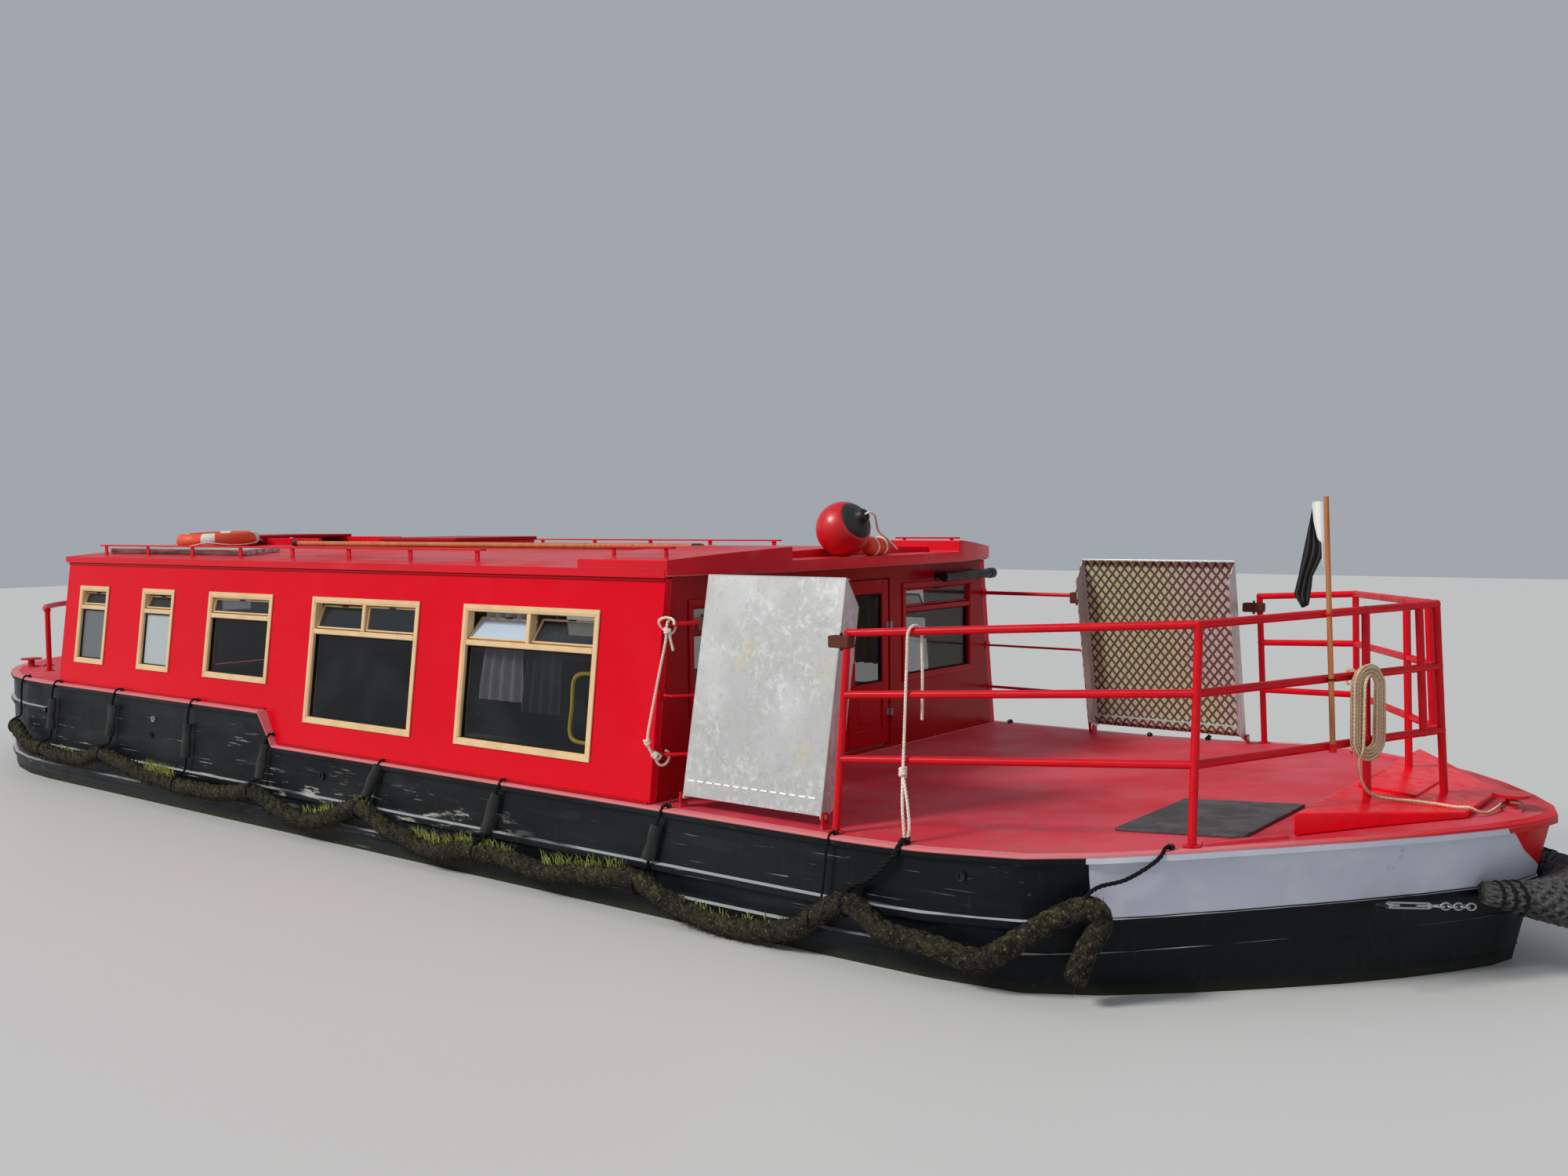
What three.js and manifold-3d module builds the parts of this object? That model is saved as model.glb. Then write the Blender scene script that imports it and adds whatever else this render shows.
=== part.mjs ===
// A wide canal trip boat: steel hull, hollow panelled cabin, railed foredeck with two boarding ramps.
// Millimetres, +Z up, +X towards the bow, +Y to port. Inside the file x is measured from the cabin's
// front wall, y from the centre line and z from the underside of the flat bottom.
import * as THREE from "three";
import { mergeVertices } from "three/addons/utils/BufferGeometryUtils.js";
import Module from "manifold-3d";

const wasm = await Module();
wasm.setup();

// Driving dimensions
const GAP = 0.3; // between pieces that touch
const FRONT_WALL_X = 2403; // the cabin's front wall, forward of midships
const DECK_Z = 1080; // gunwale at the foredeck
const STERN_RISE = 220; // gunwale of the aft part, above the foredeck
const STERN_Z = DECK_Z + STERN_RISE;
const HALF_BEAM = 1850;
const COUNTER_Z = 430; // underside of the overhanging stern
const STERN_POST_X = -8150; // the hull under the counter narrows to here
const SWIM_START_X = -6560;
const SHAFT_Z = 240;
const RUDDER_X = -8700;
const CABIN_LENGTH = 6600;
const CABIN_FOOT = 1830; // half width of the cabin at the gunwale
const CABIN_HEIGHT = 1190; // cabin side above the foredeck gunwale
const CABIN_TOP_Z = DECK_Z + CABIN_HEIGHT;
const TUMBLEHOME = 150; // how far the cabin side leans in over its height
const WALL = 50; // whole thickness of a cabin wall
const ROOF_THICKNESS = 45;
const ROOF_CAMBER = 80;
const STEP_TOP_X = -3610; // the gunwale steps down between these two
const STEP_FOOT_X = -3450;
const SHEER_START_X = 1200; // the foredeck rises from here to the stem
const SHEER_END_X = 3700;
const SHEER_RISE = 120;
const STERN_ROUND_X = -6720; // the stern is half an ellipse from here aft
const STERN_ROUND_LENGTH = 2300;
const DECK_PLATE = 30;
const DECK_MARGIN = 40; // steel edge left outside the deck plates
const FLOOR_Z = 230;
const RAIL_R = 19;
const RAIL_HEIGHTS = [950, 655, 350]; // above the deck
const STANCHION_LEAN = 110; // how far the side stanchions lean in at the top

const RED = { color: 0xd2061f, roughness: 0.4, metalness: 0.1 };
const DARK_RED = { color: 0xb00316, roughness: 0.45, metalness: 0.1 };
const DECK_RED = { color: 0xd9505c, roughness: 0.8, metalness: 0.0 };
const BLACK = { color: 0x1d2226, roughness: 0.55, metalness: 0.1 };
const CREAM = { color: 0xe3cf9a, roughness: 0.5, metalness: 0.0 };
const GALVANISED = { color: 0xc4c8c9, roughness: 0.5, metalness: 0.7 };
const STEEL = { color: 0x8a8d90, roughness: 0.45, metalness: 0.9 };
const BRONZE = { color: 0xb08d4a, roughness: 0.35, metalness: 1.0 };
const PLY = { color: 0xb68c56, roughness: 0.7, metalness: 0.0 };
const ROPE = { color: 0xc4ab80, roughness: 0.95, metalness: 0.0 };
const DARK_ROPE = { color: 0x3a3a30, roughness: 1.0, metalness: 0.0 };
const RUBBER = { color: 0x151515, roughness: 0.8, metalness: 0.0 };
const ORANGE = { color: 0xf0562a, roughness: 0.6, metalness: 0.0 };
const YELLOW = { color: 0xe8c11a, roughness: 0.5, metalness: 0.1 };
const WHITE = { color: 0xe6e6e2, roughness: 0.6, metalness: 0.0 };

// Solids and booleans
function solid(geometry) {
  const source = geometry.index ? geometry.toNonIndexed() : geometry;
  const bare = new THREE.BufferGeometry();
  bare.setAttribute("position", source.getAttribute("position"));
  const merged = mergeVertices(bare, 1e-3);
  return new wasm.Manifold(
    new wasm.Mesh({
      numProp: 3,
      vertProperties: new Float32Array(merged.attributes.position.array),
      triVerts: new Uint32Array(merged.index.array),
    }),
  );
}

function geometryOf(manifold) {
  const mesh = manifold.getMesh();
  const geometry = new THREE.BufferGeometry();
  geometry.setAttribute("position", new THREE.BufferAttribute(mesh.vertProperties, mesh.numProp));
  geometry.setIndex(new THREE.BufferAttribute(mesh.triVerts, 1));
  return geometry;
}

function join(pieces) {
  return pieces.reduce((all, piece) => all.add(piece));
}

function box(x0, x1, y0, y1, z0, z1) {
  const geometry = new THREE.BoxGeometry(x1 - x0, y1 - y0, z1 - z0);
  geometry.translate((x0 + x1) / 2, (y0 + y1) / 2, (z0 + z1) / 2);
  return solid(geometry);
}

// A round bar between two points
function bar(from, to, radius, sides = 8) {
  const a = new THREE.Vector3(...from);
  const b = new THREE.Vector3(...to);
  const along = b.clone().sub(a);
  const geometry = new THREE.CylinderGeometry(radius, radius, along.length(), sides);
  const turn = new THREE.Quaternion().setFromUnitVectors(
    new THREE.Vector3(0, 1, 0),
    along.clone().normalize(),
  );
  geometry.applyQuaternion(turn);
  const middle = a.add(b).multiplyScalar(0.5);
  geometry.translate(middle.x, middle.y, middle.z);
  return solid(geometry);
}

function ball(at, radius, sides = 8) {
  const geometry = new THREE.SphereGeometry(radius, sides, Math.max(4, sides / 2));
  geometry.translate(...at);
  return solid(geometry);
}

// Bars end to end through a list of points, with a ball at each bend
function bentBar(points, radius, sides = 8) {
  const pieces = [];
  points.slice(1).forEach((to, i) => {
    pieces.push(bar(points[i], to, radius, sides));
    if (i > 0) pieces.push(ball(points[i], radius, sides));
  });
  return join(pieces);
}

// A round tube along a smooth curve through a list of points
function tube(points, radius, steps, sides = 8) {
  const path = new THREE.CatmullRomCurve3(points.map((p) => new THREE.Vector3(...p)));
  const section = new THREE.Shape(
    Array.from({ length: sides }, (_, i) => {
      const angle = (2 * Math.PI * i) / sides;
      return new THREE.Vector2(radius * Math.cos(angle), radius * Math.sin(angle));
    }),
  );
  return solid(new THREE.ExtrudeGeometry(section, { steps, extrudePath: path, bevelEnabled: false }));
}

// A flat outline in x and y, standing from z0 to z1
function slab(outline, z0, z1) {
  const shape = new THREE.Shape(outline.map(([x, y]) => new THREE.Vector2(x, y)));
  const geometry = new THREE.ExtrudeGeometry(shape, { depth: z1 - z0, bevelEnabled: false });
  geometry.translate(0, 0, z0);
  return solid(geometry);
}

// An outline in y and z, running from x0 to x1
function crossSlab(outline, x0, x1) {
  const shape = new THREE.Shape(outline.map(([y, z]) => new THREE.Vector2(y, z)));
  const geometry = new THREE.ExtrudeGeometry(shape, { depth: x1 - x0, bevelEnabled: false });
  const axes = new THREE.Matrix4().makeBasis(
    new THREE.Vector3(0, 1, 0),
    new THREE.Vector3(0, 0, 1),
    new THREE.Vector3(1, 0, 0),
  );
  geometry.applyMatrix4(axes);
  geometry.translate(x0, 0, 0);
  return solid(geometry);
}

// An outline in x and z, running from y0 to y1
function sideSlab(outline, y0, y1) {
  const shape = new THREE.Shape(outline.map(([x, z]) => new THREE.Vector2(x, z)));
  const geometry = new THREE.ExtrudeGeometry(shape, { depth: y1 - y0, bevelEnabled: false });
  const axes = new THREE.Matrix4().makeBasis(
    new THREE.Vector3(1, 0, 0),
    new THREE.Vector3(0, 0, 1),
    new THREE.Vector3(0, -1, 0),
  );
  geometry.applyMatrix4(axes);
  geometry.translate(0, y1, 0);
  return solid(geometry);
}

const boat = new THREE.Group();
boat.position.x = FRONT_WALL_X;

function add(name, made, look, group = boat) {
  const mesh = new THREE.Mesh(geometryOf(made), new THREE.MeshStandardMaterial(look));
  mesh.name = name;
  group.add(mesh);
  return mesh;
}

// Hull lines. Half outlines run from the stern's middle to the stem; each point is [x, half breadth].
const STERN_ARC_STEPS = 9;
// Bow stations: x and half breadth at the gunwale, then x and half breadth at the flat bottom
const BOW = [
  { x: 1700, half: 1850, footX: 1700, footHalf: 1830 },
  { x: 2200, half: 1815, footX: 2120, footHalf: 1740 },
  { x: 2500, half: 1690, footX: 2400, footHalf: 1540 },
  { x: 2790, half: 1490, footX: 2660, footHalf: 1270 },
  { x: 3100, half: 1225, footX: 2920, footHalf: 980 },
  { x: 3360, half: 965, footX: 3140, footHalf: 725 },
  { x: 3580, half: 700, footX: 3330, footHalf: 490 },
  { x: 3760, half: 430, footX: 3480, footHalf: 285 },
  { x: 3880, half: 200, footX: 3590, footHalf: 130 },
  { x: 3930, half: 0, footX: 3640, footHalf: 0 },
];

function sheer(x) {
  const t = THREE.MathUtils.clamp((x - SHEER_START_X) / (SHEER_END_X - SHEER_START_X), 0, 1);
  return SHEER_RISE * t * t * (3 - 2 * t);
}

function gunwaleZ(x) {
  if (x <= STEP_TOP_X) return STERN_Z;
  if (x >= STEP_FOOT_X) return DECK_Z + sheer(x);
  return STERN_Z - (STERN_RISE * (x - STEP_TOP_X)) / (STEP_FOOT_X - STEP_TOP_X);
}

// Straight side and bow at a share of the height, 0 at the bottom and 1 at the gunwale
function sideAndBow(share, margin) {
  const side = [STEP_TOP_X, STEP_FOOT_X, 0, SHEER_START_X].map((x) => [x, HALF_BEAM + margin]);
  const bow = BOW.map((row, i) => {
    const ahead = i / (BOW.length - 1);
    const x = THREE.MathUtils.lerp(row.footX, row.x, share) + margin * ahead;
    const half = THREE.MathUtils.lerp(row.footHalf, row.half, share);
    return [x, half === 0 ? 0 : half + margin * (1 - 0.4 * ahead)];
  });
  return [...side, ...bow];
}

function sternRound(margin) {
  return Array.from({ length: STERN_ARC_STEPS + 1 }, (_, i) => {
    const angle = (Math.PI / 2) * (i / STERN_ARC_STEPS);
    const x = STERN_ROUND_X - (STERN_ROUND_LENGTH + margin) * Math.cos(angle);
    return [x, i === 0 ? 0 : (HALF_BEAM + margin) * Math.sin(angle)];
  });
}

// Plan above the counter, grown by a margin
function plan(share, margin = 0) {
  return [...sternRound(margin), ...sideAndBow(share, margin)];
}

// Plan under the counter, where the stern narrows to its post
function underPlan(share) {
  const swim = Array.from({ length: STERN_ARC_STEPS + 1 }, (_, i) => {
    const t = Math.max(0, i - 1) / (STERN_ARC_STEPS - 1);
    const x = THREE.MathUtils.lerp(STERN_POST_X, SWIM_START_X, t);
    const half = THREE.MathUtils.lerp(60, HALF_BEAM, Math.sin((t * Math.PI) / 2));
    return [i === 0 ? STERN_POST_X - 20 : x, i === 0 ? 0 : half];
  });
  return [...swim, ...sideAndBow(share, 0)];
}

// A closed body through half outlines with one number of points, the lowest first: [x, half, z] each.
// An outline that starts or ends away from the centre line gets a flat end.
function hullBody(levels) {
  const corners = [];
  const last = levels[0].length - 1;
  const top = levels.length - 1;
  const corner = (level, i, side) => {
    const [x, half, z] = levels[level][i];
    return [x, side * half, z];
  };
  const same = (a, b) => a.every((value, k) => Math.abs(value - b[k]) < 1e-3);
  const triangle = (a, b, c) => {
    if (!same(a, b) && !same(b, c) && !same(a, c)) corners.push(...a, ...b, ...c);
  };
  const quad = (a, b, c, d) => {
    triangle(a, b, c);
    triangle(a, c, d);
  };
  for (let level = 0; level < top; level += 1) {
    const above = level + 1;
    for (let i = 0; i < last; i += 1) {
      quad(corner(level, i + 1, 1), corner(level, i, 1), corner(above, i, 1), corner(above, i + 1, 1));
      quad(
        corner(level, i, -1),
        corner(level, i + 1, -1),
        corner(above, i + 1, -1),
        corner(above, i, -1),
      );
    }
    quad(corner(level, 0, 1), corner(level, 0, -1), corner(above, 0, -1), corner(above, 0, 1));
    quad(
      corner(level, last, -1),
      corner(level, last, 1),
      corner(above, last, 1),
      corner(above, last, -1),
    );
  }
  for (let i = 0; i < last; i += 1) {
    quad(corner(top, i, -1), corner(top, i + 1, -1), corner(top, i + 1, 1), corner(top, i, 1));
    quad(corner(0, i + 1, -1), corner(0, i, -1), corner(0, i, 1), corner(0, i + 1, 1));
  }
  const geometry = new THREE.BufferGeometry();
  geometry.setAttribute("position", new THREE.Float32BufferAttribute(corners, 3));
  return solid(geometry);
}

function atHeight(outline, heightOf) {
  return outline.map(([x, half]) => [x, half, heightOf(x)]);
}

// A half-round bar welded along the hull, its middle at a drop under the foredeck's gunwale line
const STRAKE_HALF_HEIGHT = 26;
const STRAKE_PROUD = 26;
function strake(drop, grow = 0) {
  const line = (x) => DECK_Z + sheer(x) - drop;
  const share = (DECK_Z - drop) / DECK_Z;
  const level = (rise, margin) => atHeight(plan(share, margin), (x) => line(x) + rise);
  return hullBody([
    level(-STRAKE_HALF_HEIGHT - grow, grow - 15),
    level(-STRAKE_HALF_HEIGHT + 10 - grow, STRAKE_PROUD + grow),
    level(STRAKE_HALF_HEIGHT - 10 + grow, STRAKE_PROUD + grow),
    level(STRAKE_HALF_HEIGHT + grow, grow - 15),
  ]);
}

function gunwaleBar() {
  const level = (drop, margin) => atHeight(plan(1, margin), (x) => gunwaleZ(x) - drop);
  return hullBody([level(45, -15), level(38, 22), level(0.5, 22), level(0, 16)]);
}

function foredeckPlate(grow) {
  const inset = plan(1, -DECK_MARGIN + grow).slice(STERN_ARC_STEPS + 3);
  inset[0][0] = 20 - grow;
  return hullBody([
    atHeight(inset, (x) => gunwaleZ(x) - DECK_PLATE - grow),
    atHeight(inset, (x) => gunwaleZ(x) + (grow > 0 ? 60 : 0)),
  ]);
}

// What lies under the decks' top faces, to trim the feet of posts that stand on them
function underDeck() {
  return hullBody([
    atHeight(plan(1, 30), (x) => gunwaleZ(x) - 200),
    atHeight(plan(1, 30), (x) => gunwaleZ(x) + 2 * GAP),
  ]);
}

// Mooring posts: a stem with a round cap on a foot plate
const STUD = { foot: 50, stemR: 28, capR: 85, high: 78, cap: 14 };
function mooringPost(x, y, deckZ) {
  const { foot, stemR, capR, high, cap } = STUD;
  return join([
    box(x - foot, x + foot, y - foot, y + foot, deckZ - 5, deckZ + 10),
    bar([x, y, deckZ + 5], [x, y, deckZ + high - 5], stemR, 12),
    bar([x, y, deckZ + high - cap], [x, y, deckZ + high], capR, 16),
  ]);
}
const BOW_STUD_X = 3760;
const STERN_STUD = { x: -8050, y: 1370 };

const REAR_WALL_X = -CABIN_LENGTH;
function sternDeckPlate(grow) {
  const inset = plan(1, -DECK_MARGIN + grow).slice(0, STERN_ARC_STEPS + 1);
  inset.push([REAR_WALL_X - 20 + grow, HALF_BEAM - DECK_MARGIN + grow]);
  return hullBody([
    atHeight(inset, () => STERN_Z - DECK_PLATE - grow),
    atHeight(inset, () => STERN_Z + (grow > 0 ? 60 : 0)),
  ]);
}

const STOCK_R = 25;
const SHAFT_R = 20;
const BEARING_SIDES = 24;
const BEARING_PLAY = 0.7; // radial, on top of the facets
function hull() {
  const knuckleShare = COUNTER_Z / DECK_Z;
  const shell = hullBody([
    atHeight(underPlan(0), () => 0),
    atHeight(underPlan(knuckleShare), () => COUNTER_Z),
    atHeight(plan(knuckleShare), () => COUNTER_Z),
    atHeight(plan(1), gunwaleZ),
  ]);
  const bowOnly = box(2850, 4200, -2000, 2000, 0, 1300);
  const sternOnly = box(-9200, -6700, -2000, 2000, 0, 1300);
  const steel = join([
    shell,
    gunwaleBar(),
    strake(310),
    strake(460),
    strake(610).intersect(bowOnly),
    strake(10).intersect(sternOnly),
    box(STERN_POST_X - 640, STERN_POST_X + 50, -45, 45, 0, 40),
    bar([STERN_POST_X + 60, 0, SHAFT_Z], [STERN_POST_X - 70, 0, SHAFT_Z], 48, BEARING_SIDES),
  ]);
  const well = box(REAR_WALL_X + 60, -60, -HALF_BEAM + 80, HALF_BEAM - 80, FLOOR_Z - 60, 1500);
  const engineBay = box(-7450, -6680, -360, 360, 180, 1400);
  const shaftBore = bar(
    [STERN_POST_X + 140, 0, SHAFT_Z],
    [STERN_POST_X - 120, 0, SHAFT_Z],
    SHAFT_R + BEARING_PLAY,
    BEARING_SIDES,
  );
  const stockBore = bar(
    [RUDDER_X, 0, 60],
    [RUDDER_X, 0, STERN_Z + 100],
    STOCK_R + BEARING_PLAY,
    BEARING_SIDES,
  );
  return steel
    .subtract(well)
    .subtract(engineBay)
    .subtract(shaftBore)
    .subtract(stockBore)
    .subtract(foredeckPlate(GAP))
    .subtract(sternDeckPlate(GAP));
}

add("hull", hull(), BLACK);
add("engine", box(-7420, -6760, -300, 300, 180 + GAP, 900), STEEL);
const stockHole = bar(
  [RUDDER_X, 0, 1000],
  [RUDDER_X, 0, STERN_Z + 100],
  STOCK_R + BEARING_PLAY,
  BEARING_SIDES,
);
const sternStuds = [-1, 1].map((side) => mooringPost(STERN_STUD.x, side * STERN_STUD.y, STERN_Z));
add("stern_deck", join([sternDeckPlate(0).subtract(stockHole), ...sternStuds]), DECK_RED);

// Steps down into the cabin from each doorway
const STEP = { run: 260, half: 430, count: 3 };
function cabinSteps(doorX, towards, topZ, count) {
  const rise = (topZ - FLOOR_Z) / (count + 1);
  return join(
    Array.from({ length: count }, (_, i) => {
      const reach = 70 + STEP.run * (count - i);
      const a = doorX + towards * 70;
      const b = doorX + towards * reach;
      const z = FLOOR_Z + rise * (i + 1);
      return box(Math.min(a, b), Math.max(a, b), -STEP.half, STEP.half, FLOOR_Z - 5, z);
    }),
  );
}

const floorPlate = box(
  REAR_WALL_X + 60.5,
  -60.5,
  -HALF_BEAM + 80.5,
  HALF_BEAM - 80.5,
  FLOOR_Z - 60 + GAP,
  FLOOR_Z,
);
const frontSteps = cabinSteps(0, -1, DECK_Z, STEP.count);
const rearSteps = cabinSteps(REAR_WALL_X, 1, STERN_Z, STEP.count + 1);
add("cabin_floor", join([floorPlate, frontSteps, rearSteps]), PLY);

// Cabin walls
const LEAN = Math.atan(TUMBLEHOME / CABIN_HEIGHT);
const SLOPE = Math.hypot(TUMBLEHOME, CABIN_HEIGHT); // height of the side measured up its slope
// Windows of one side: the frame's ends, its foot and head above the foredeck gunwale, and its mullion
const WINDOWS = [
  { from: -6360, to: -5910, foot: 400, head: 1000, mullion: false },
  { from: -5380, to: -4930, foot: 400, head: 1000, mullion: false },
  { from: -4440, to: -3640, foot: 400, head: 1000, mullion: false },
  { from: -3160, to: -2040, foot: 180, head: 1000, mullion: true },
  { from: -1610, to: -470, foot: 180, head: 1000, mullion: true },
];
const FRAME = 48; // face width of a window frame
const FRAME_PROUD = 10;
const TOP_LIGHT = 0.27; // share of a window above its transom
const PANE = 6;

// Places a solid drawn flat (x along, y up the slope, z out of the cabin) on the starboard side
const sidePlane = new THREE.Matrix4().makeBasis(
  new THREE.Vector3(1, 0, 0),
  new THREE.Vector3(0, Math.sin(LEAN), Math.cos(LEAN)),
  new THREE.Vector3(0, -Math.cos(LEAN), Math.sin(LEAN)),
);
sidePlane.setPosition(0, -CABIN_FOOT, DECK_Z);

function placed(made, matrix) {
  const geometry = geometryOf(made);
  geometry.applyMatrix4(matrix);
  return solid(geometry);
}

// The same solid on the other side of the boat's middle
function mirrored(made) {
  const geometry = geometryOf(made);
  geometry.scale(1, -1, 1);
  const index = geometry.index.array;
  for (let i = 0; i < index.length; i += 3) {
    [index[i + 1], index[i + 2]] = [index[i + 2], index[i + 1]];
  }
  return solid(geometry);
}

function bothSides(made) {
  return made.add(mirrored(made));
}

function sideWall() {
  const below = -40;
  let wall = slab([[REAR_WALL_X, below], [0, below], [0, SLOPE], [REAR_WALL_X, SLOPE]], -WALL, 0);
  WINDOWS.forEach(({ from, to, foot, head }) => {
    const hole = box(from, to, foot / Math.cos(LEAN), head / Math.cos(LEAN), -WALL - 10, 10);
    wall = wall.subtract(hole);
  });
  const aboveGunwale = sideSlab(
    [
      [REAR_WALL_X, STERN_Z + GAP],
      [STEP_TOP_X + GAP, STERN_Z + GAP],
      [STEP_FOOT_X + GAP, DECK_Z + GAP],
      [0, DECK_Z + GAP],
      [0, CABIN_TOP_Z + 100],
      [REAR_WALL_X, CABIN_TOP_Z + 100],
    ],
    -CABIN_FOOT - 100,
    0,
  );
  return placed(wall, sidePlane).intersect(aboveGunwale);
}

// A window unit lying flat: frame, transom, mullion in the top light, and its panes
function windowUnit({ from, to, foot, head, mullion }, up) {
  const x0 = from + GAP;
  const x1 = to - GAP;
  const y0 = foot * up + GAP;
  const y1 = head * up - GAP;
  const transom = y1 - (y1 - y0) * TOP_LIGHT;
  const depth = [-WALL, FRAME_PROUD];
  const pieces = [
    box(x0, x1, y0, y0 + FRAME, ...depth),
    box(x0, x1, y1 - FRAME, y1, ...depth),
    box(x0, x0 + FRAME, y0, y1, ...depth),
    box(x1 - FRAME, x1, y0, y1, ...depth),
    box(x0, x1, transom - FRAME / 2, transom + FRAME / 2, ...depth),
    box(x0 + 5, x1 - 5, y0 + 5, y1 - 5, -WALL / 2 - PANE / 2, -WALL / 2 + PANE / 2),
  ];
  if (mullion) {
    const middle = (x0 + x1) / 2;
    pieces.push(box(middle - FRAME / 2, middle + FRAME / 2, transom, y1, ...depth));
  }
  return join(pieces);
}

const port = new THREE.Group();
port.scale.y = -1;
boat.add(port);
const SIDES = [
  { side: "starboard", group: boat },
  { side: "port", group: port },
];
SIDES.forEach(({ side, group }) => {
  add(`cabin_side_${side}`, sideWall(), RED, group);
  WINDOWS.forEach((row, i) => {
    const unit = placed(windowUnit(row, 1 / Math.cos(LEAN)), sidePlane);
    add(`window_${side}_${i + 1}`, unit, CREAM, group);
  });
});

// Height of the roof's underside over the sides' top edges, at a distance from the centre line
const ROOF_HALF = CABIN_FOOT - TUMBLEHOME + 22;
function camber(y) {
  return ROOF_CAMBER * (1 - (y / ROOF_HALF) ** 2);
}

function camberLine(half, rise, steps) {
  return Array.from({ length: steps + 1 }, (_, i) => {
    const y = THREE.MathUtils.lerp(-half, half, i / steps);
    return [y, CABIN_TOP_Z + rise + camber(y)];
  });
}

// An end wall between the sides, closed at the top by the roof's curve
function endWall(x0, footZ) {
  const innerHalf = (z) => {
    return CABIN_FOOT - ((z - DECK_Z) * TUMBLEHOME) / CABIN_HEIGHT - WALL / Math.cos(LEAN) - 2 * GAP;
  };
  const shoulder = CABIN_TOP_Z - 10;
  const top = camberLine(innerHalf(shoulder), -1, 12).reverse();
  const outline = [
    [-innerHalf(footZ), footZ],
    [innerHalf(footZ), footZ],
    [innerHalf(shoulder), shoulder],
    ...top,
    [-innerHalf(shoulder), shoulder],
  ];
  return crossSlab(outline, x0, x0 + WALL);
}

const DOOR_HALF = 460; // half the width of a doorway
const DOOR_GAP = 10; // from a leaf to its jamb
const LEAF = 40;
const HINGE_R = 9;
const HINGE_LIFT = [180, 750]; // of a hinge's leaf half above the leaf's foot
const HINGE_HALF = 45;
const HINGE_OUT = 11; // hinge axis in front of the wall's face
const STILE = 70; // of a leaf, beside its glass
const LINTEL = 90; // of a leaf, over its glass
const LEAF_SUNK = 5; // a leaf's face behind the wall's
const REBATE = 5; // how far a pane reaches into its frame

// One knuckle on the hinge axis with the strap that carries it; out is +1 towards the bow
function knuckle(face, out, strapFrom, strapTo, z0, z1) {
  const x = face + out * HINGE_OUT;
  const axisY = -(DOOR_HALF - 2);
  const pin = bar([x, axisY, z0], [x, axisY, z1], HINGE_R, 12);
  const back = face - out * 7;
  const front = face + out * HINGE_OUT;
  return pin.add(box(Math.min(back, front), Math.max(back, front), strapFrom, strapTo, z0, z1));
}

function wallHinges(face, out, footZ) {
  return join(
    HINGE_LIFT.map((lift) => {
      const top = footZ + lift - GAP;
      return knuckle(face, out, -DOOR_HALF - 35, -DOOR_HALF + 2, top - HINGE_HALF, top);
    }),
  );
}

// A glazed leaf on the starboard half of a doorway
function doorLeaf(face, out, footZ, headZ, glassShare) {
  const front = face - out * LEAF_SUNK;
  const back = front - out * LEAF;
  const x0 = Math.min(front, back);
  const x1 = Math.max(front, back);
  const y0 = -DOOR_HALF + DOOR_GAP;
  const y1 = -3;
  const glass = { y0: y0 + STILE, y1: y1 - STILE, foot: headZ - (headZ - footZ) * glassShare };
  const glassHead = headZ - LINTEL;
  const leaf = box(x0, x1, y0, y1, footZ, headZ).subtract(
    box(x0 - 5, x1 + 5, glass.y0, glass.y1, glass.foot, glassHead),
  );
  const middle = (x0 + x1) / 2;
  const pane = box(
    middle - PANE / 2,
    middle + PANE / 2,
    glass.y0 - REBATE,
    glass.y1 + REBATE,
    glass.foot - REBATE,
    glassHead + REBATE,
  );
  const hinges = HINGE_LIFT.map((lift) => {
    const z = footZ + lift;
    return knuckle(face, out, -DOOR_HALF + 2, -DOOR_HALF + 40, z, z + HINGE_HALF);
  });
  return join([leaf, pane, ...hinges]);
}

function doorway(face, footZ, headZ) {
  return box(face - 70, face + 70, -DOOR_HALF, DOOR_HALF, footZ, headZ);
}

const FRONT_DOOR = { foot: DECK_Z + 30, head: CABIN_TOP_Z - 90 };
const REAR_DOOR = { foot: STERN_Z + 30, head: CABIN_TOP_Z - 20 };
const DOOR_CLEAR = 8; // over and under a leaf
const HATCH_DROP = 350; // half width of the board that hangs at the sliding hatch's rear end
// Front screen: a fixed window between each door jamb and the corner
const SCREEN = { from: 610, to: 1500, foot: 420, head: 1060 };

function screenHole(grow) {
  const { from, to, foot, head } = SCREEN;
  return box(-70, 20, -to - grow, -from + grow, DECK_Z + foot - grow, DECK_Z + head + grow);
}

function frontWall() {
  const wall = endWall(-WALL, DECK_Z + GAP).subtract(
    doorway(0, FRONT_DOOR.foot - DOOR_CLEAR, FRONT_DOOR.head + DOOR_CLEAR),
  );
  return wall.subtract(bothSides(screenHole(0))).add(bothSides(wallHinges(0, 1, FRONT_DOOR.foot)));
}

function rearWall() {
  const face = REAR_WALL_X;
  const half = HATCH_DROP + 20;
  const head = box(face - 70, face + 70, -half, half, CABIN_TOP_Z - 60, CABIN_TOP_Z + 200);
  const wall = endWall(face, STERN_Z + GAP)
    .subtract(doorway(face, REAR_DOOR.foot - DOOR_CLEAR, REAR_DOOR.head + DOOR_CLEAR))
    .subtract(head);
  return wall.add(bothSides(wallHinges(face, -1, REAR_DOOR.foot)));
}

// A window unit standing in the front wall
const frontPlane = new THREE.Matrix4().makeBasis(
  new THREE.Vector3(0, 1, 0),
  new THREE.Vector3(0, 0, 1),
  new THREE.Vector3(1, 0, 0),
);
frontPlane.setPosition(0, 0, DECK_Z);
const screenUnit = placed(
  windowUnit({ from: -SCREEN.to, to: -SCREEN.from, foot: SCREEN.foot, head: SCREEN.head }, 1),
  frontPlane,
);

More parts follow.
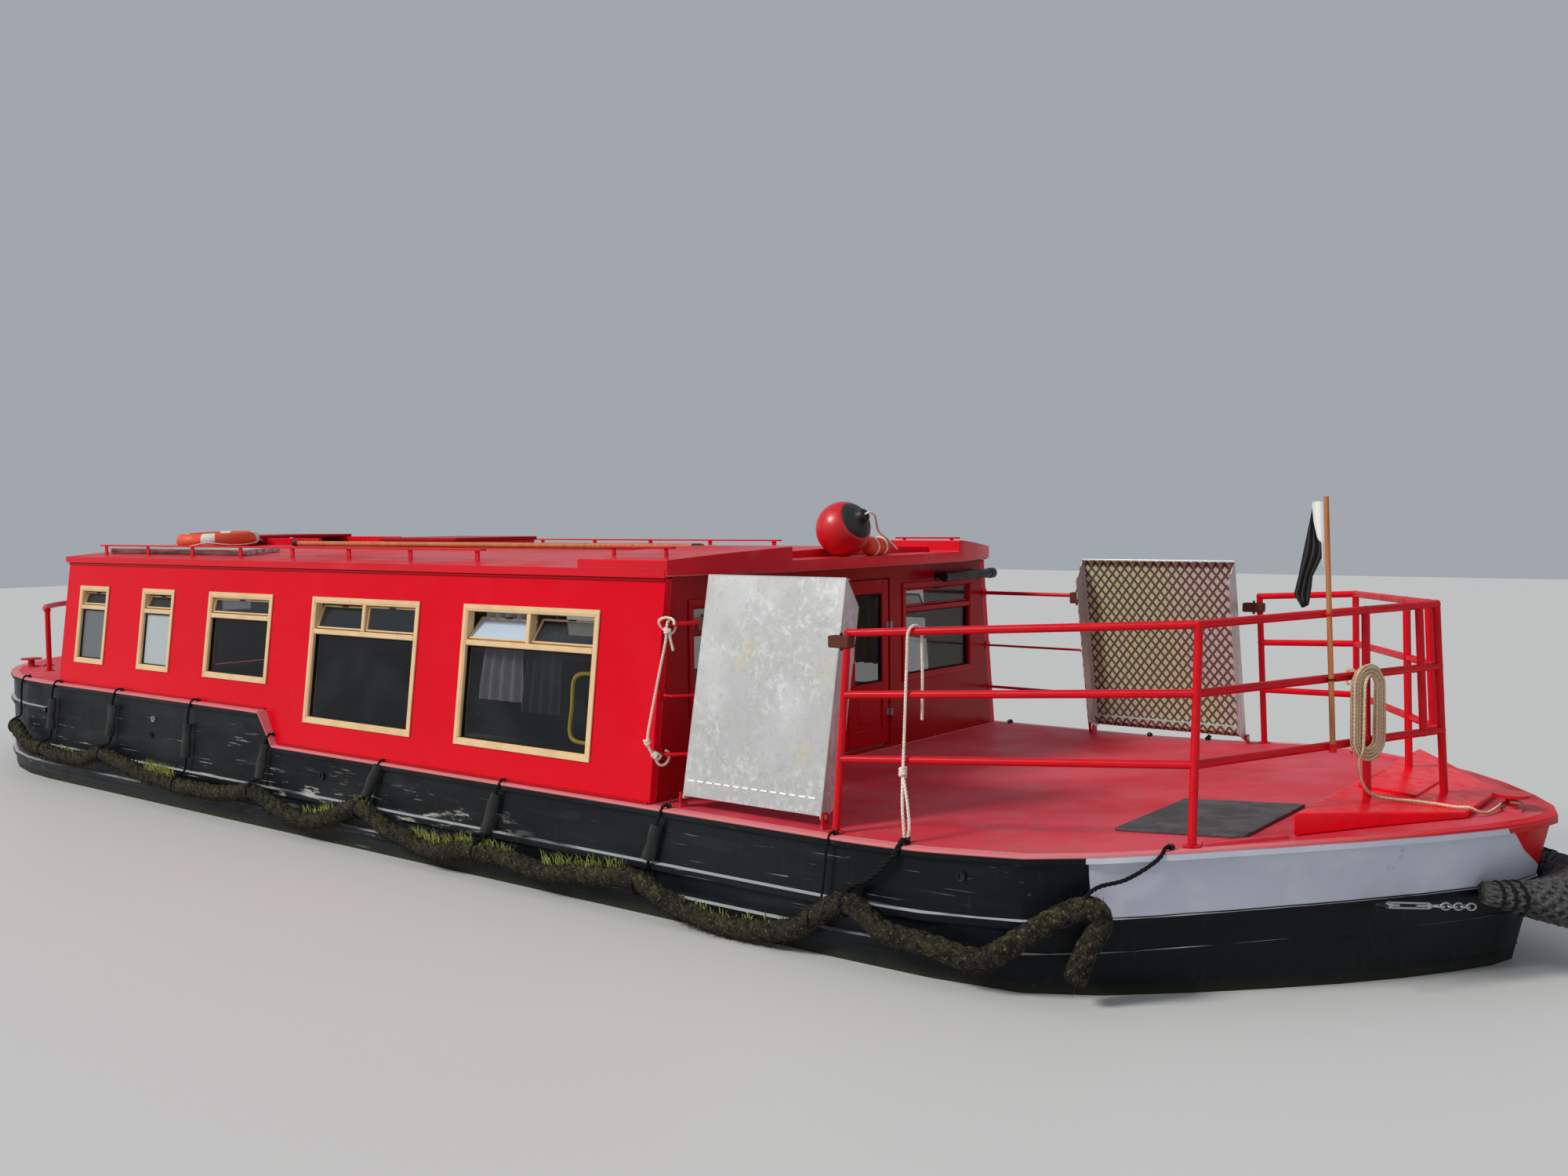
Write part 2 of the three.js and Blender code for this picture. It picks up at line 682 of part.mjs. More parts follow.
add("front_wall", frontWall(), DARK_RED);
add("rear_wall", rearWall(), RED);
SIDES.forEach(({ side, group }) => {
  add(`front_window_${side}`, screenUnit, DARK_RED, group);
  add(`front_door_${side}`, doorLeaf(0, 1, FRONT_DOOR.foot, FRONT_DOOR.head, 0.62), DARK_RED, group);
  add(
    `rear_door_${side}`,
    doorLeaf(REAR_WALL_X, -1, REAR_DOOR.foot, REAR_DOOR.head, 0.5),
    RED,
    group,
  );
});

// Roof with a sliding hatch over the rear doorway and a hinged hatch amidships
const HATCH_HALF = 400;
const SLIDE = { from: REAR_WALL_X - 30, to: -5780, travel: 760 };
const LID = { from: -4200, to: -3300, half: 380 };
const COAMING = 22;
const ROOF_LIP = 20; // of the roof past the end walls
const SLIDE_Z = CABIN_TOP_Z + ROOF_THICKNESS + ROOF_CAMBER + 52; // underside of the sliding hatch's top
const LID_Z = CABIN_TOP_Z + ROOF_THICKNESS + ROOF_CAMBER + 30;

function roofPanel() {
  const top = camberLine(ROOF_HALF, ROOF_THICKNESS + GAP, 16).reverse();
  const under = camberLine(ROOF_HALF, GAP, 16);
  return crossSlab([...under, ...top], REAR_WALL_X - ROOF_LIP, ROOF_LIP / 2);
}

function roofTop(y) {
  return CABIN_TOP_Z + ROOF_THICKNESS + GAP + camber(y);
}

const HANDRAIL = { from: -6450, to: -1700, y: 1480, wide: 44, thick: 12, lift: 62, posts: 8 };
function roofHandrail() {
  const { from, to, y, wide, thick, lift, posts } = HANDRAIL;
  const under = roofTop(y) + lift;
  const rail = box(from, to, -y - wide / 2, -y + wide / 2, under, under + thick);
  const feet = Array.from({ length: posts }, (_, i) => {
    const x = THREE.MathUtils.lerp(from + 60, to - 60, i / (posts - 1));
    return box(x - 18, x + 18, -y - 5, -y + 5, roofTop(y) - 15, under + 2);
  });
  return join([rail, ...feet]);
}
function hatchFrame(from, to, half, topZ) {
  const outer = box(from, to, -half, half, CABIN_TOP_Z + 85, topZ);
  const inner = box(
    from + COAMING,
    to - COAMING,
    -half + COAMING,
    half - COAMING,
    CABIN_TOP_Z,
    topZ + 10,
  );
  return outer.subtract(inner);
}

function roof() {
  const lidHole = box(
    LID.from + COAMING,
    LID.to - COAMING,
    -LID.half + COAMING,
    LID.half - COAMING,
    CABIN_TOP_Z - 50,
    CABIN_TOP_Z + 300,
  );
  const slideHole = box(
    REAR_WALL_X - 100,
    SLIDE.to - 60,
    -HATCH_HALF + 30,
    HATCH_HALF - 30,
    CABIN_TOP_Z - 50,
    CABIN_TOP_Z + 300,
  );
  const runner = box(
    SLIDE.from + 20,
    SLIDE.to + SLIDE.travel,
    -HATCH_HALF - 10,
    -HATCH_HALF + 20,
    CABIN_TOP_Z + 85,
    SLIDE_Z,
  );
  return roofPanel()
    .add(hatchFrame(LID.from, LID.to, LID.half, LID_Z))
    .add(bothSides(runner))
    .add(bothSides(roofHandrail()))
    .subtract(lidHole)
    .subtract(slideHole);
}

function slideHatch() {
  const outer = box(SLIDE.from, SLIDE.to, -HATCH_HALF - 40, HATCH_HALF + 40, SLIDE_Z - 45, SLIDE_Z + 22);
  const inner = box(
    SLIDE.from - 50,
    SLIDE.to + 50,
    -HATCH_HALF - 18,
    HATCH_HALF + 18,
    SLIDE_Z - 60,
    SLIDE_Z + GAP,
  );
  const drop = box(
    SLIDE.from,
    SLIDE.from + 22,
    -HATCH_DROP,
    HATCH_DROP,
    REAR_DOOR.head + DOOR_CLEAR + 4,
    SLIDE_Z + 10,
  );
  return outer.subtract(inner).add(drop);
}

add("cabin_roof", roof(), RED);
add("sliding_hatch", slideHatch(), DARK_RED);

function hatchLid() {
  const plate = box(LID.from - 25, LID.to + 6, -LID.half - 25, LID.half + 25, LID_Z + GAP, LID_Z + 28);
  return plate;
}
add("roof_hatch_lid", hatchLid(), DARK_RED);

// Raised hoods at the front corners of the roof and the shelf that juts out between them
const HOOD_BACK_X = -650;
const SHELF_X = 260;
const SHELF_HALF = 970;
const HOOD_RISE = 50;
const SHELF_TOP_Z = DECK_Z + 1266;

function frontCanopy() {
  const roofTop = ROOF_THICKNESS + 2 * GAP;
  const over = camberLine(ROOF_HALF, roofTop + HOOD_RISE, 16).reverse();
  const back = crossSlab([...camberLine(ROOF_HALF, roofTop, 16), ...over], HOOD_BACK_X, 20);
  const front = crossSlab(
    [[-ROOF_HALF, CABIN_TOP_Z + 10], [ROOF_HALF, CABIN_TOP_Z + 10], ...over],
    10 + GAP,
    SHELF_X,
  );
  const inPlan = slab(
    [
      [HOOD_BACK_X, -ROOF_HALF],
      [30, -ROOF_HALF],
      [SHELF_X, -SHELF_HALF],
      [SHELF_X, -SHELF_HALF + 60],
      [HOOD_BACK_X, -SHELF_HALF + 60],
    ],
    CABIN_TOP_Z - 50,
    CABIN_TOP_Z + 400,
  );
  const hoods = back.add(front).intersect(bothSides(inPlan));
  const shelf = box(10 + GAP, SHELF_X, -SHELF_HALF, SHELF_HALF, CABIN_TOP_Z + 10, SHELF_TOP_Z);
  return hoods.add(shelf);
}
add("front_canopy", frontCanopy(), RED);

// Rails of the foredeck
const GATE = { starboard: 1180, port: 1990 };
const BEND = { starboard: [2790, 1420], port: [2650, 1480] };
const STEM_POST_X = 3470;
const LOCKER = { back: 3100, backHalf: 1060, front: 3640, frontHalf: 330, high: 100, low: 30 };
const RAIL_SIDES = 8;

function lockerTop(x) {
  return THREE.MathUtils.mapLinear(x, LOCKER.back, LOCKER.front, LOCKER.high, LOCKER.low);
}

// Raised locker that fills the bow, with a hinged lid in its top
function bowLocker(grow, sunk = 0) {
  const { back, backHalf, front, frontHalf } = LOCKER;
  const inPlan = slab(
    [[back, -backHalf], [front, -frontHalf], [front, frontHalf], [back, backHalf]],
    DECK_Z - sunk,
    DECK_Z + 400,
  );
  const x = Array.from({ length: 7 }, (_, i) => THREE.MathUtils.lerp(back, front, i / 6));
  const under = x.map((at) => [at, DECK_Z + sheer(at) + 3 * GAP - sunk]);
  const top = x.map((at) => [at, DECK_Z + sheer(at) + lockerTop(at) + grow]).reverse();
  return sideSlab([...under, ...top], -backHalf, backHalf).intersect(inPlan);
}

const LOCKER_LID = { from: 3140, to: 3400, half: 240, thick: 10, hingeR: 7 };
function lockerLid() {
  const { from, to, half, thick, hingeR } = LOCKER_LID;
  const area = box(from, to, -half, half, DECK_Z, DECK_Z + 400);
  const plate = bowLocker(thick).subtract(bowLocker(GAP, 60)).intersect(area);
  const hingeZ = DECK_Z + sheer(from) + lockerTop(from) + hingeR + 1;
  return plate.add(bar([from - 2, -half + 30, hingeZ], [from - 2, half - 30, hingeZ], hingeR, 8));
}

const RAIL_POSTS = { standing: 0.68, tie: 0.92 }; // shares of the way from the bend to the stem
const RAIL_HEADING = Math.atan2(BEND.starboard[1], STEM_POST_X - BEND.starboard[0]);

// A place on the rails between the bend and the stem post, by its share of that stretch
function railPoint(side, sign, share, height) {
  const lean = height / RAIL_HEIGHTS[0];
  const deck = (x) => DECK_Z + sheer(x) + height;
  const [x, y] = BEND[side];
  const bend = [x, sign * (y - STANCHION_LEAN * 0.6 * lean), deck(x)];
  const stem = [STEM_POST_X - 50 * lean, 0, deck(STEM_POST_X)];
  return bend.map((value, k) => THREE.MathUtils.lerp(value, stem[k], share));
}

// The rails of one side, from the gate post round the bend to the stem
function sideRailing(name, sign) {
  const at = (x, y, leanX, leanY, height) => {
    const share = height / RAIL_HEIGHTS[0];
    return [x + leanX * share, y - sign * leanY * share, DECK_Z + sheer(x) + height];
  };
  const gateAt = (height) => at(GATE[name], sign * 1790, 0, STANCHION_LEAN, height);
  const bendAt = (height) => railPoint(name, sign, 0, height);
  const stemAt = (height) => railPoint(name, sign, 1, height);
  const [top, , low] = RAIL_HEIGHTS;
  const rails = RAIL_HEIGHTS.flatMap((height) => [
    bentBar([gateAt(height), bendAt(height), stemAt(height)], RAIL_R, RAIL_SIDES),
    ball(gateAt(height), RAIL_R, RAIL_SIDES),
  ]);
  const posts = [gateAt, bendAt].map((place) => bar(place(-20), place(top), RAIL_R, RAIL_SIDES));
  const foot = railPoint(name, sign, RAIL_POSTS.standing, low);
  foot[2] = DECK_Z + sheer(foot[0]);
  posts.push(bar(foot, railPoint(name, sign, RAIL_POSTS.standing, top), RAIL_R, RAIL_SIDES));
  const tie = (height) => railPoint(name, sign, RAIL_POSTS.tie, height);
  posts.push(bar(tie(low), tie(top), RAIL_R, RAIL_SIDES));
  return join([...rails, ...posts]).subtract(underDeck()).subtract(bowLocker(GAP, 60));
}

function stemPost(radius) {
  const at = (height) => railPoint("starboard", -1, 1, height);
  const tops = RAIL_HEIGHTS.map((height) => ball(at(height), radius, RAIL_SIDES));
  return join([bar(at(0), at(RAIL_HEIGHTS[0]), radius, RAIL_SIDES), ...tops]);
}

function foredeck() {
  const toeRail = (name, sign) => {
    const [x, y] = BEND[name];
    const a = [x + 40, sign * (y - 25), DECK_Z + sheer(x + 40)];
    const b = [LOCKER.back - 8, sign * (LOCKER.backHalf + 40), DECK_Z + sheer(LOCKER.back)];
    return bar([a[0], a[1], a[2] + 8], [b[0], b[1], b[2] + 8], 14, 6);
  };
  const stud = mooringPost(BOW_STUD_X, 0, DECK_Z + SHEER_RISE);
  return join([foredeckPlate(0), toeRail("starboard", -1), toeRail("port", 1), stud]);
}

// Boarding ramps: an upright tray on each side, hinged at the deck edge
const RAMP = { height: 1165, flange: 120, skin: 6, front: 14, slope: 124, lean: Math.atan(230 / 1165) };
const RAMP_HINGE = { y: 1755, z: DECK_Z + 60 };
const PIN_R = 12;
const RAMPS = {
  starboard: { from: 182, to: 1076 },
  port: { from: 840, to: 1880 },
};
const LUG = 12; // thickness of a hinge lug
const LUG_CLEAR = 6;

// Drawn upright at the hinge axis, on the starboard side; the tray opens inboard
function rampTray({ from, to }) {
  const { height, flange, skin, front, slope } = RAMP;
  const side = (x) =>
    crossSlab(
      [
        [-front, -front],
        [front, -front],
        [flange, flange / 2],
        [flange, height - slope],
        [-front + 10, height],
        [-front, height],
      ],
      x,
      x + skin,
    );
  const hem = 36;
  const face = -front;
  return join([
    box(from, to, face, face + skin, 0, height),
    side(from),
    side(to - skin),
    box(from, to, face, face + hem, height - skin, height),
    box(from, to, face, face + hem, hem, 2 * hem),
    bar([from - LUG_CLEAR - LUG, 0, 0], [from + skin, 0, 0], PIN_R, BEARING_SIDES),
    bar([to - skin, 0, 0], [to + LUG_CLEAR + LUG, 0, 0], PIN_R, BEARING_SIDES),
  ]);
}

function rampLugs({ from, to }) {
  const lug = (x) => {
    const hole = bar([x - 5, 0, 0], [x + LUG + 5, 0, 0], PIN_R + BEARING_PLAY, BEARING_SIDES);
    const foot = DECK_Z + sheer(x) - 5 - RAMP_HINGE.z;
    const plate = crossSlab(
      [
        [-26, foot],
        [34, foot],
        [22, 20],
        [-22, 20],
      ],
      x,
      x + LUG,
    );
    return plate.subtract(hole);
  };
  return [lug(from - LUG_CLEAR - LUG), lug(to + LUG_CLEAR)];
}

const hingePlace = new THREE.Matrix4().makeTranslation(0, -RAMP_HINGE.y, RAMP_HINGE.z);
const rampPlace = hingePlace.clone().multiply(new THREE.Matrix4().makeRotationX(-RAMP.lean));

const starboardLugs = rampLugs(RAMPS.starboard).map((lug) => placed(lug, hingePlace));
const portLugs = rampLugs(RAMPS.port).map((lug) => mirrored(placed(lug, hingePlace)));
add("foredeck", join([foredeck(), ...starboardLugs, ...portLugs]), DECK_RED);
add("bow_locker", bowLocker(0), RED);
add("bow_locker_lid", lockerLid(), DARK_RED);
const nearRails = sideRailing("starboard", -1)
  .add(stemPost(RAIL_R))
  .subtract(underDeck())
  .subtract(bowLocker(GAP, 60));
const farRails = sideRailing("port", 1)
  .subtract(stemPost(RAIL_R + GAP))
  .intersect(box(0, 4000, 0, 2000, DECK_Z, DECK_Z + 1200));
const WELD_AFT = 45; // forward of the bend's post, where the side rails meet the bow rails
function splitRails(side, rails) {
  const cut = BEND[side][0] + WELD_AFT;
  const part = (from, to) => rails.intersect(box(from, to, -2000, 2000, DECK_Z - 50, DECK_Z + 1250));
  add(`side_railing_${side}`, part(0, cut), RED);
  add(`bow_railing_${side}`, part(cut + GAP, 4000), RED);
}
splitRails("starboard", nearRails);
splitRails("port", farRails.subtract(nearRails));
add("boarding_ramp_starboard", placed(rampTray(RAMPS.starboard), rampPlace), GALVANISED);
add("boarding_ramp_port", placed(rampTray(RAMPS.port), rampPlace), GALVANISED, port);

// Short rails from the cabin's front wall, bent inboard at their ends to a flat post behind each ramp's edge
const STUB = {
  top: { height: 950, radius: 13 },
  middle: { height: 570, radius: 8 },
  low: { height: 265, radius: 10 },
  back: 32, // from the ramp's side to the post
  bend: 80, // from the bend to the post
  inboard: 55, // of the ramp's face
  post: { half: 15, thick: 8 },
};
function stubY(height) {
  return -1790 + (STANCHION_LEAN * height) / STUB.top.height;
}
function stubRail({ from }) {
  const x = from - STUB.back;
  const { half, thick } = STUB.post;
  const faceY = (height) => {
    const rise = DECK_Z + height - RAMP_HINGE.z;
    return -RAMP_HINGE.y - RAMP.front + STUB.inboard + rise * Math.tan(RAMP.lean);
  };
  const bars = [STUB.top, STUB.middle, STUB.low].map(({ height, radius }) => {
    const z = DECK_Z + height;
    const y = stubY(height);
    const route = [[GAP, y, z], [x - STUB.bend, y, z], [x + thick / 2, faceY(height), z]];
    return bentBar(route, radius, RAIL_SIDES);
  });
  const [foot, head] = [-20, STUB.top.height + STUB.top.radius];
  const post = crossSlab(
    [
      [faceY(foot) - half, DECK_Z + foot],
      [faceY(foot) + half, DECK_Z + foot],
      [faceY(head) + half, DECK_Z + head],
      [faceY(head) - half, DECK_Z + head],
    ],
    x,
    x + thick,
  );
  return join([...bars, post]).subtract(underDeck());
}
SIDES.forEach(({ side, group }) => {
  add(`stub_rail_${side}`, stubRail(RAMPS[side]), RED, group);
});

// Stern rail: a hoop open towards the cabin, on posts
const HOOP = { round: 2100, half: 1570, height: 530, open: 67.6, posts: [67, 51, 17, -17, -51, -67] };
function taffrail() {
  const at = (degrees, z) => {
    const angle = THREE.MathUtils.degToRad(degrees);
    return [STERN_ROUND_X - HOOP.round * Math.cos(angle), HOOP.half * Math.sin(angle), z];
  };
  const z = STERN_Z + HOOP.height;
  const steps = 12;
  const arc = Array.from({ length: steps + 1 }, (_, i) => {
    return at(THREE.MathUtils.lerp(-HOOP.open, HOOP.open, i / steps), z);
  });
  const posts = HOOP.posts.map((angle) => bar(at(angle, STERN_Z + GAP), at(angle, z), 22, RAIL_SIDES));
  return join([tube(arc, 24, 24, RAIL_SIDES), ...posts]);
}
add("taffrail", taffrail(), RED);

// Half breadth of the hull at the gunwale
function halfBreadth(x) {
  const next = BOW.findIndex((row) => row.x > x);
  if (next <= 0) return HALF_BEAM;
  const [a, b] = [BOW[next - 1], BOW[next]];
  return THREE.MathUtils.mapLinear(x, a.x, b.x, a.half, b.half);
}

// A body of oval sections along a line: each point is [x, y, z, half width, half height]
function ovalSweep(points, sides) {
  const corners = points.map(([x, y, z, wide, high], i) => {
    const before = points[Math.max(0, i - 1)];
    const after = points[Math.min(points.length - 1, i + 1)];
    const turn = Math.atan2(after[1] - before[1], after[0] - before[0]);
    return Array.from({ length: sides }, (_, k) => {
      const angle = (2 * Math.PI * k) / sides;
      const out = wide * Math.cos(angle);
      return [x + out * Math.sin(turn), y - out * Math.cos(turn), z + high * Math.sin(angle)];
    });
  });
  const surface = [];
  const last = corners.length - 1;
  for (let i = 0; i < last; i += 1) {
    for (let k = 0; k < sides; k += 1) {
      const next = (k + 1) % sides;
      surface.push(...corners[i][k], ...corners[i + 1][next], ...corners[i][next]);
      surface.push(...corners[i][k], ...corners[i + 1][k], ...corners[i + 1][next]);
    }
  }
  for (let k = 1; k < sides - 1; k += 1) {
    surface.push(...corners[0][0], ...corners[0][k], ...corners[0][k + 1]);
    surface.push(...corners[last][0], ...corners[last][k + 1], ...corners[last][k]);
  }
  const geometry = new THREE.BufferGeometry();
  geometry.setAttribute("position", new THREE.Float32BufferAttribute(surface, 3));
  return solid(geometry);
}

// The bow fender lies round the stem: thick in the middle, thin at its ends
const BOW_FENDER = { tipX: 4240, endX: 3735, endY: 455, middleZ: 840, endZ: 905 };
function bowFender() {
  const { tipX, endX, endY, middleZ, endZ } = BOW_FENDER;
  const fat = { wide: 190, high: 142 };
  const thin = { wide: 48, high: 48 };
  const steps = 16;
  const centreX = tipX - fat.wide;
  const route = Array.from({ length: steps + 1 }, (_, i) => {
    const side = THREE.MathUtils.lerp(-1, 1, i / steps);
    const away = Math.abs(side);
    const slim = away ** 1.3;
    return [
      centreX - (centreX - endX) * away ** 2,
      endY * side,
      middleZ + (endZ - middleZ) * away ** 2,
      THREE.MathUtils.lerp(fat.wide, thin.wide, slim),
      THREE.MathUtils.lerp(fat.high, thin.high, slim),
    ];
  });
  const bow = hullBody([
    atHeight(plan(COUNTER_Z / DECK_Z, GAP), () => COUNTER_Z),
    atHeight(plan(1, GAP), gunwaleZ),
  ]);
  return ovalSweep(route, 14).subtract(bow).subtract(strake(310, 2 * GAP));
}
add("bow_fender", bowFender(), DARK_ROPE);

// The side fender hangs in swags. Its line: [x, drop under the foredeck gunwale]
const SIDE_FENDER_R = 58;
const SIDE_FENDER = [
  [-7230, 170], [-6900, 290], [-6550, 315], [-6020, 335], [-5650, 262], [-5060, 345], [-4410, 380],
  [-3790, 350], [-3580, 315], [-3320, 395], [-2880, 425], [-2390, 292], [-2060, 390], [-1610, 445],
  [-1320, 402], [-660, 430], [-60, 376], [380, 488], [680, 500], [980, 475], [1340, 285],
  [1540, 365], [1770, 397], [2040, 412], [2250, 290], [2400, 178], [2500, 150], [2530, 205],
  [2475, 340], [2430, 455],
];
// Hangers: where each one meets the fender, and the length of its sleeve
const HANGERS = [
  [-7200, 0], [-6600, 250], [-5630, 250], [-4550, 250], [-3580, 250], [-2380, 250], [-1260, 250],
  [20, 200], [1160, 0], [1500, 250], [2490, 0],
];
const STERN_HALF = (x) => {
  const share = Math.min(0, x - STERN_ROUND_X) / STERN_ROUND_LENGTH;
  return HALF_BEAM * Math.sqrt(1 - share ** 2);
};
function sideFender() {
  const outside = (x) => Math.min(halfBreadth(x), STERN_HALF(x)) + STRAKE_PROUD + SIDE_FENDER_R + 0.8;
  const line = SIDE_FENDER.map(([x, drop]) => [x, -outside(x), DECK_Z - drop]);
  const rope = tube(line, SIDE_FENDER_R, 66, 6);
  const dropAt = (x) => {
    const next = SIDE_FENDER.findIndex((row) => row[0] >= x);
    const [a, b] = [SIDE_FENDER[Math.max(0, next - 1)], SIDE_FENDER[Math.max(1, next)]];
    return THREE.MathUtils.mapLinear(x, a[0], b[0], a[1], b[1]);
  };
  const hangers = HANGERS.map(([x, sleeve]) => {
    const z = DECK_Z - dropAt(x);
    const y = -outside(x) + SIDE_FENDER_R - 14;
    const cord = bar([x, y, z], [x, y, gunwaleZ(x) - 20], 10, 6);
    if (sleeve === 0) return cord;
    const foot = Math.max(z + 40, (z + gunwaleZ(x)) / 2 - sleeve / 2);
    return cord.add(bar([x, y - 18, foot], [x, y - 18, Math.min(foot + sleeve, gunwaleZ(x) - 60)], 30, 6));
  });
  return join([rope, ...hangers]);
}
SIDES.forEach(({ side, group }) => {
  add(`side_fender_${side}`, sideFender(), DARK_ROPE, group);
});

// What is carried on the roof
const PLANK = { from: -6420, to: -4420, outer: 1430, inner: 1150, thick: 38 };
function gangplank() {
  const { from, to, outer, inner, thick } = PLANK;
  const lift = 1.4;
  return crossSlab(
    [
      [-outer, roofTop(outer) + lift],
      [-inner, roofTop(inner) + lift],
      [-inner, roofTop(inner) + lift + thick],
      [-outer, roofTop(outer) + lift + thick],
    ],
    from,
    to,
  );
}
add("gangplank", gangplank(), WHITE);

const BUOY = { x: -5900, y: -780, ring: 265, tube: 62 };
function lifebuoy() {
  const { x, y, ring, tube: thick } = BUOY;
  const geometry = new THREE.TorusGeometry(ring, thick, 8, 24);
  geometry.rotateX(Math.atan((2 * ROOF_CAMBER * -y) / ROOF_HALF ** 2));
  geometry.translate(x, y, roofTop(y) + thick + 0.4);
  return solid(geometry);
}
add("lifebuoy", lifebuoy(), ORANGE);

const POLE = { from: -5150, to: -720, y: -560, radius: 20 };
add(
  "boat_pole",
  bar(
    [POLE.from, POLE.y, roofTop(POLE.y) + POLE.radius + 0.3],
    [POLE.to, POLE.y, roofTop(POLE.y) + POLE.radius + 0.3],
    POLE.radius,
    10,
  ),
  PLY,
);

// It lies on its side; eye is the direction of its neck
const BALL_FENDER = { x: 134, y: -245, radius: 168, eye: [0.89, -0.12, 0.44], neck: 42 };
function ballFender() {
  const { x, y, radius, eye } = BALL_FENDER;
  const z = SHELF_TOP_Z + radius - 3;
  const along = (distance) => [x + eye[0] * distance, y + eye[1] * distance, z + eye[2] * distance];
  const neck = bar(along(radius - 30), along(radius + 37), BALL_FENDER.neck, 10);
  const seat = box(x - 100, x + 100, y - 100, y + 100, SHELF_TOP_Z - 60, SHELF_TOP_Z + GAP);
  return ball([x, y, z], radius, 20).add(neck).subtract(seat);
}
add("ball_fender", ballFender(), RED);
const TUBE_FENDER = { x: 178, from: -68, to: 200, radius: 56 };
function tubeFender() {
  const { x, from, to, radius } = TUBE_FENDER;
  const z = SHELF_TOP_Z + radius - 2;
  const seat = box(x - 60, x + 60, from, to, SHELF_TOP_Z - 60, SHELF_TOP_Z + GAP);
  return bar([x, from, z], [x, to, z], radius, 14).subtract(seat);
}
add("tube_fender", tubeFender(), ORANGE);

// Foredeck fittings
const MAT = { from: 2330, to: 2930, starboard: -1190, port: -360, thick: 14 };
function deckMat() {
  const { from, to, starboard, port: portEdge, thick } = MAT;
  const x = Array.from({ length: 7 }, (_, i) => THREE.MathUtils.lerp(from, to, i / 6));
  const under = x.map((at) => [at, DECK_Z + sheer(at) + 0.9]);
  const top = x.map((at) => [at, DECK_Z + sheer(at) + 0.9 + thick]).reverse();
  return sideSlab([...under, ...top], starboard, portEdge);
}
add("deck_mat", deckMat(), RUBBER);

const LAMP = { x: 120, z: CABIN_TOP_Z - 91, from: 930, to: 1600, radius: 36 };
function deckLamp() {
  const { x, z, from, to, radius } = LAMP;
  const arms = [from + 120, to - 120].map((y) => box(GAP, x, y - 12, y + 12, z - 14, z + 14));
  return join([bar([x, from, z], [x, to, z], radius, 14), ...arms]);
}
add("deck_lamp", deckLamp(), BLACK);

// Flagpole on the starboard rail, with its flag furled round it
const POLE_STAND = { lowShare: 0.51, highShare: 0.499, foot: 325, top: 1480, radius: 13 };
function flagpoleLine() {
  const low = railPoint("starboard", -1, POLE_STAND.lowShare, RAIL_HEIGHTS[2]);
  const high = railPoint("starboard", -1, POLE_STAND.highShare, RAIL_HEIGHTS[0]);
  const away = RAIL_R + POLE_STAND.radius + GAP;
  const at = (height) => {
    const share = (height - RAIL_HEIGHTS[2]) / (RAIL_HEIGHTS[0] - RAIL_HEIGHTS[2]);
    const line = low.map((value, k) => THREE.MathUtils.lerp(value, high[k], share));
    return outside(line, away);
  };
  return at;
}
function flagpole() {
  const at = flagpoleLine();
  const { foot, top, radius } = POLE_STAND;
  return bar(at(foot), at(top), radius, 10);
}
add("flagpole", flagpole(), PLY);

// The flag hangs in folds from the pole's head; each corner is [x, z]
const FLAG = {
  outline: [
    [3100.5, 2640], [3055, 2630], [3040, 2549], [3018, 2438], [2992, 2299], [2972, 2215],
    [3010, 2152], [3040, 2168], [3052, 2254], [3056, 2335], [3111.7, 2345],
  ],
  from: -704,
  to: -674,
};
function furledFlag() {
  return sideSlab(FLAG.outline, FLAG.from, FLAG.to);
}
add("furled_flag", furledFlag(), RUBBER);

// Mooring rope: a hank hung on the outside of the middle rail by a short loop
const LINE_R = 8;
const HANK = { share: 0.642, inner: 48, outer: 96, run: 240, deep: 34, off: 60, drop: 165, loop: 44 };
function outside([x, y, z], distance) {
  return [x + distance * Math.sin(RAIL_HEADING), y - distance * Math.cos(RAIL_HEADING), z];
}
function roundEnded(half, run) {
  const shape = new THREE.Shape();
  shape.absarc(0, run / 2, half, 0, Math.PI, false);
  shape.absarc(0, -run / 2, half, Math.PI, 2 * Math.PI, false);
  return shape;
}
function mooringHank() {
  const { share, inner, outer, run, deep, off, drop, loop } = HANK;
  const middle = railPoint("starboard", -1, share, RAIL_HEIGHTS[1]);
  const outline = roundEnded(outer + LINE_R, run);
  outline.holes.push(roundEnded(inner - LINE_R, run));
  const turns = new THREE.ExtrudeGeometry(outline, { depth: deep, bevelEnabled: false, curveSegments: 8 });
  turns.translate(0, 0, -deep / 2);
  turns.rotateX(Math.PI / 2);
  turns.rotateZ(RAIL_HEADING);
  const [x, y, z] = outside(middle, off);
  turns.translate(x, y, z - drop);
  const becket = new THREE.TorusGeometry(loop, LINE_R, 8, 20);
  becket.rotateY(Math.PI / 2);
  becket.rotateZ(RAIL_HEADING);
  becket.translate(middle[0], middle[1], middle[2] - (loop - LINE_R - RAIL_R - 3 * GAP));
  return solid(turns).add(solid(becket));
}
add("mooring_hank", mooringHank(), ROPE);

// Guard beside the front steps
const GUARD = { x: -560, from: -1330, to: -860, high: 1000, radius: 17 };
function entryGuard() {
  const { x, from, to, high, radius } = GUARD;
  const top = FLOOR_Z + high + 650;
  return bentBar(
    [[x, from, FLOOR_Z + GAP], [x, from, top], [x, to, top], [x, to, FLOOR_Z + GAP]],
    radius,
    10,
  );
}
add("entry_guard", entryGuard(), YELLOW);

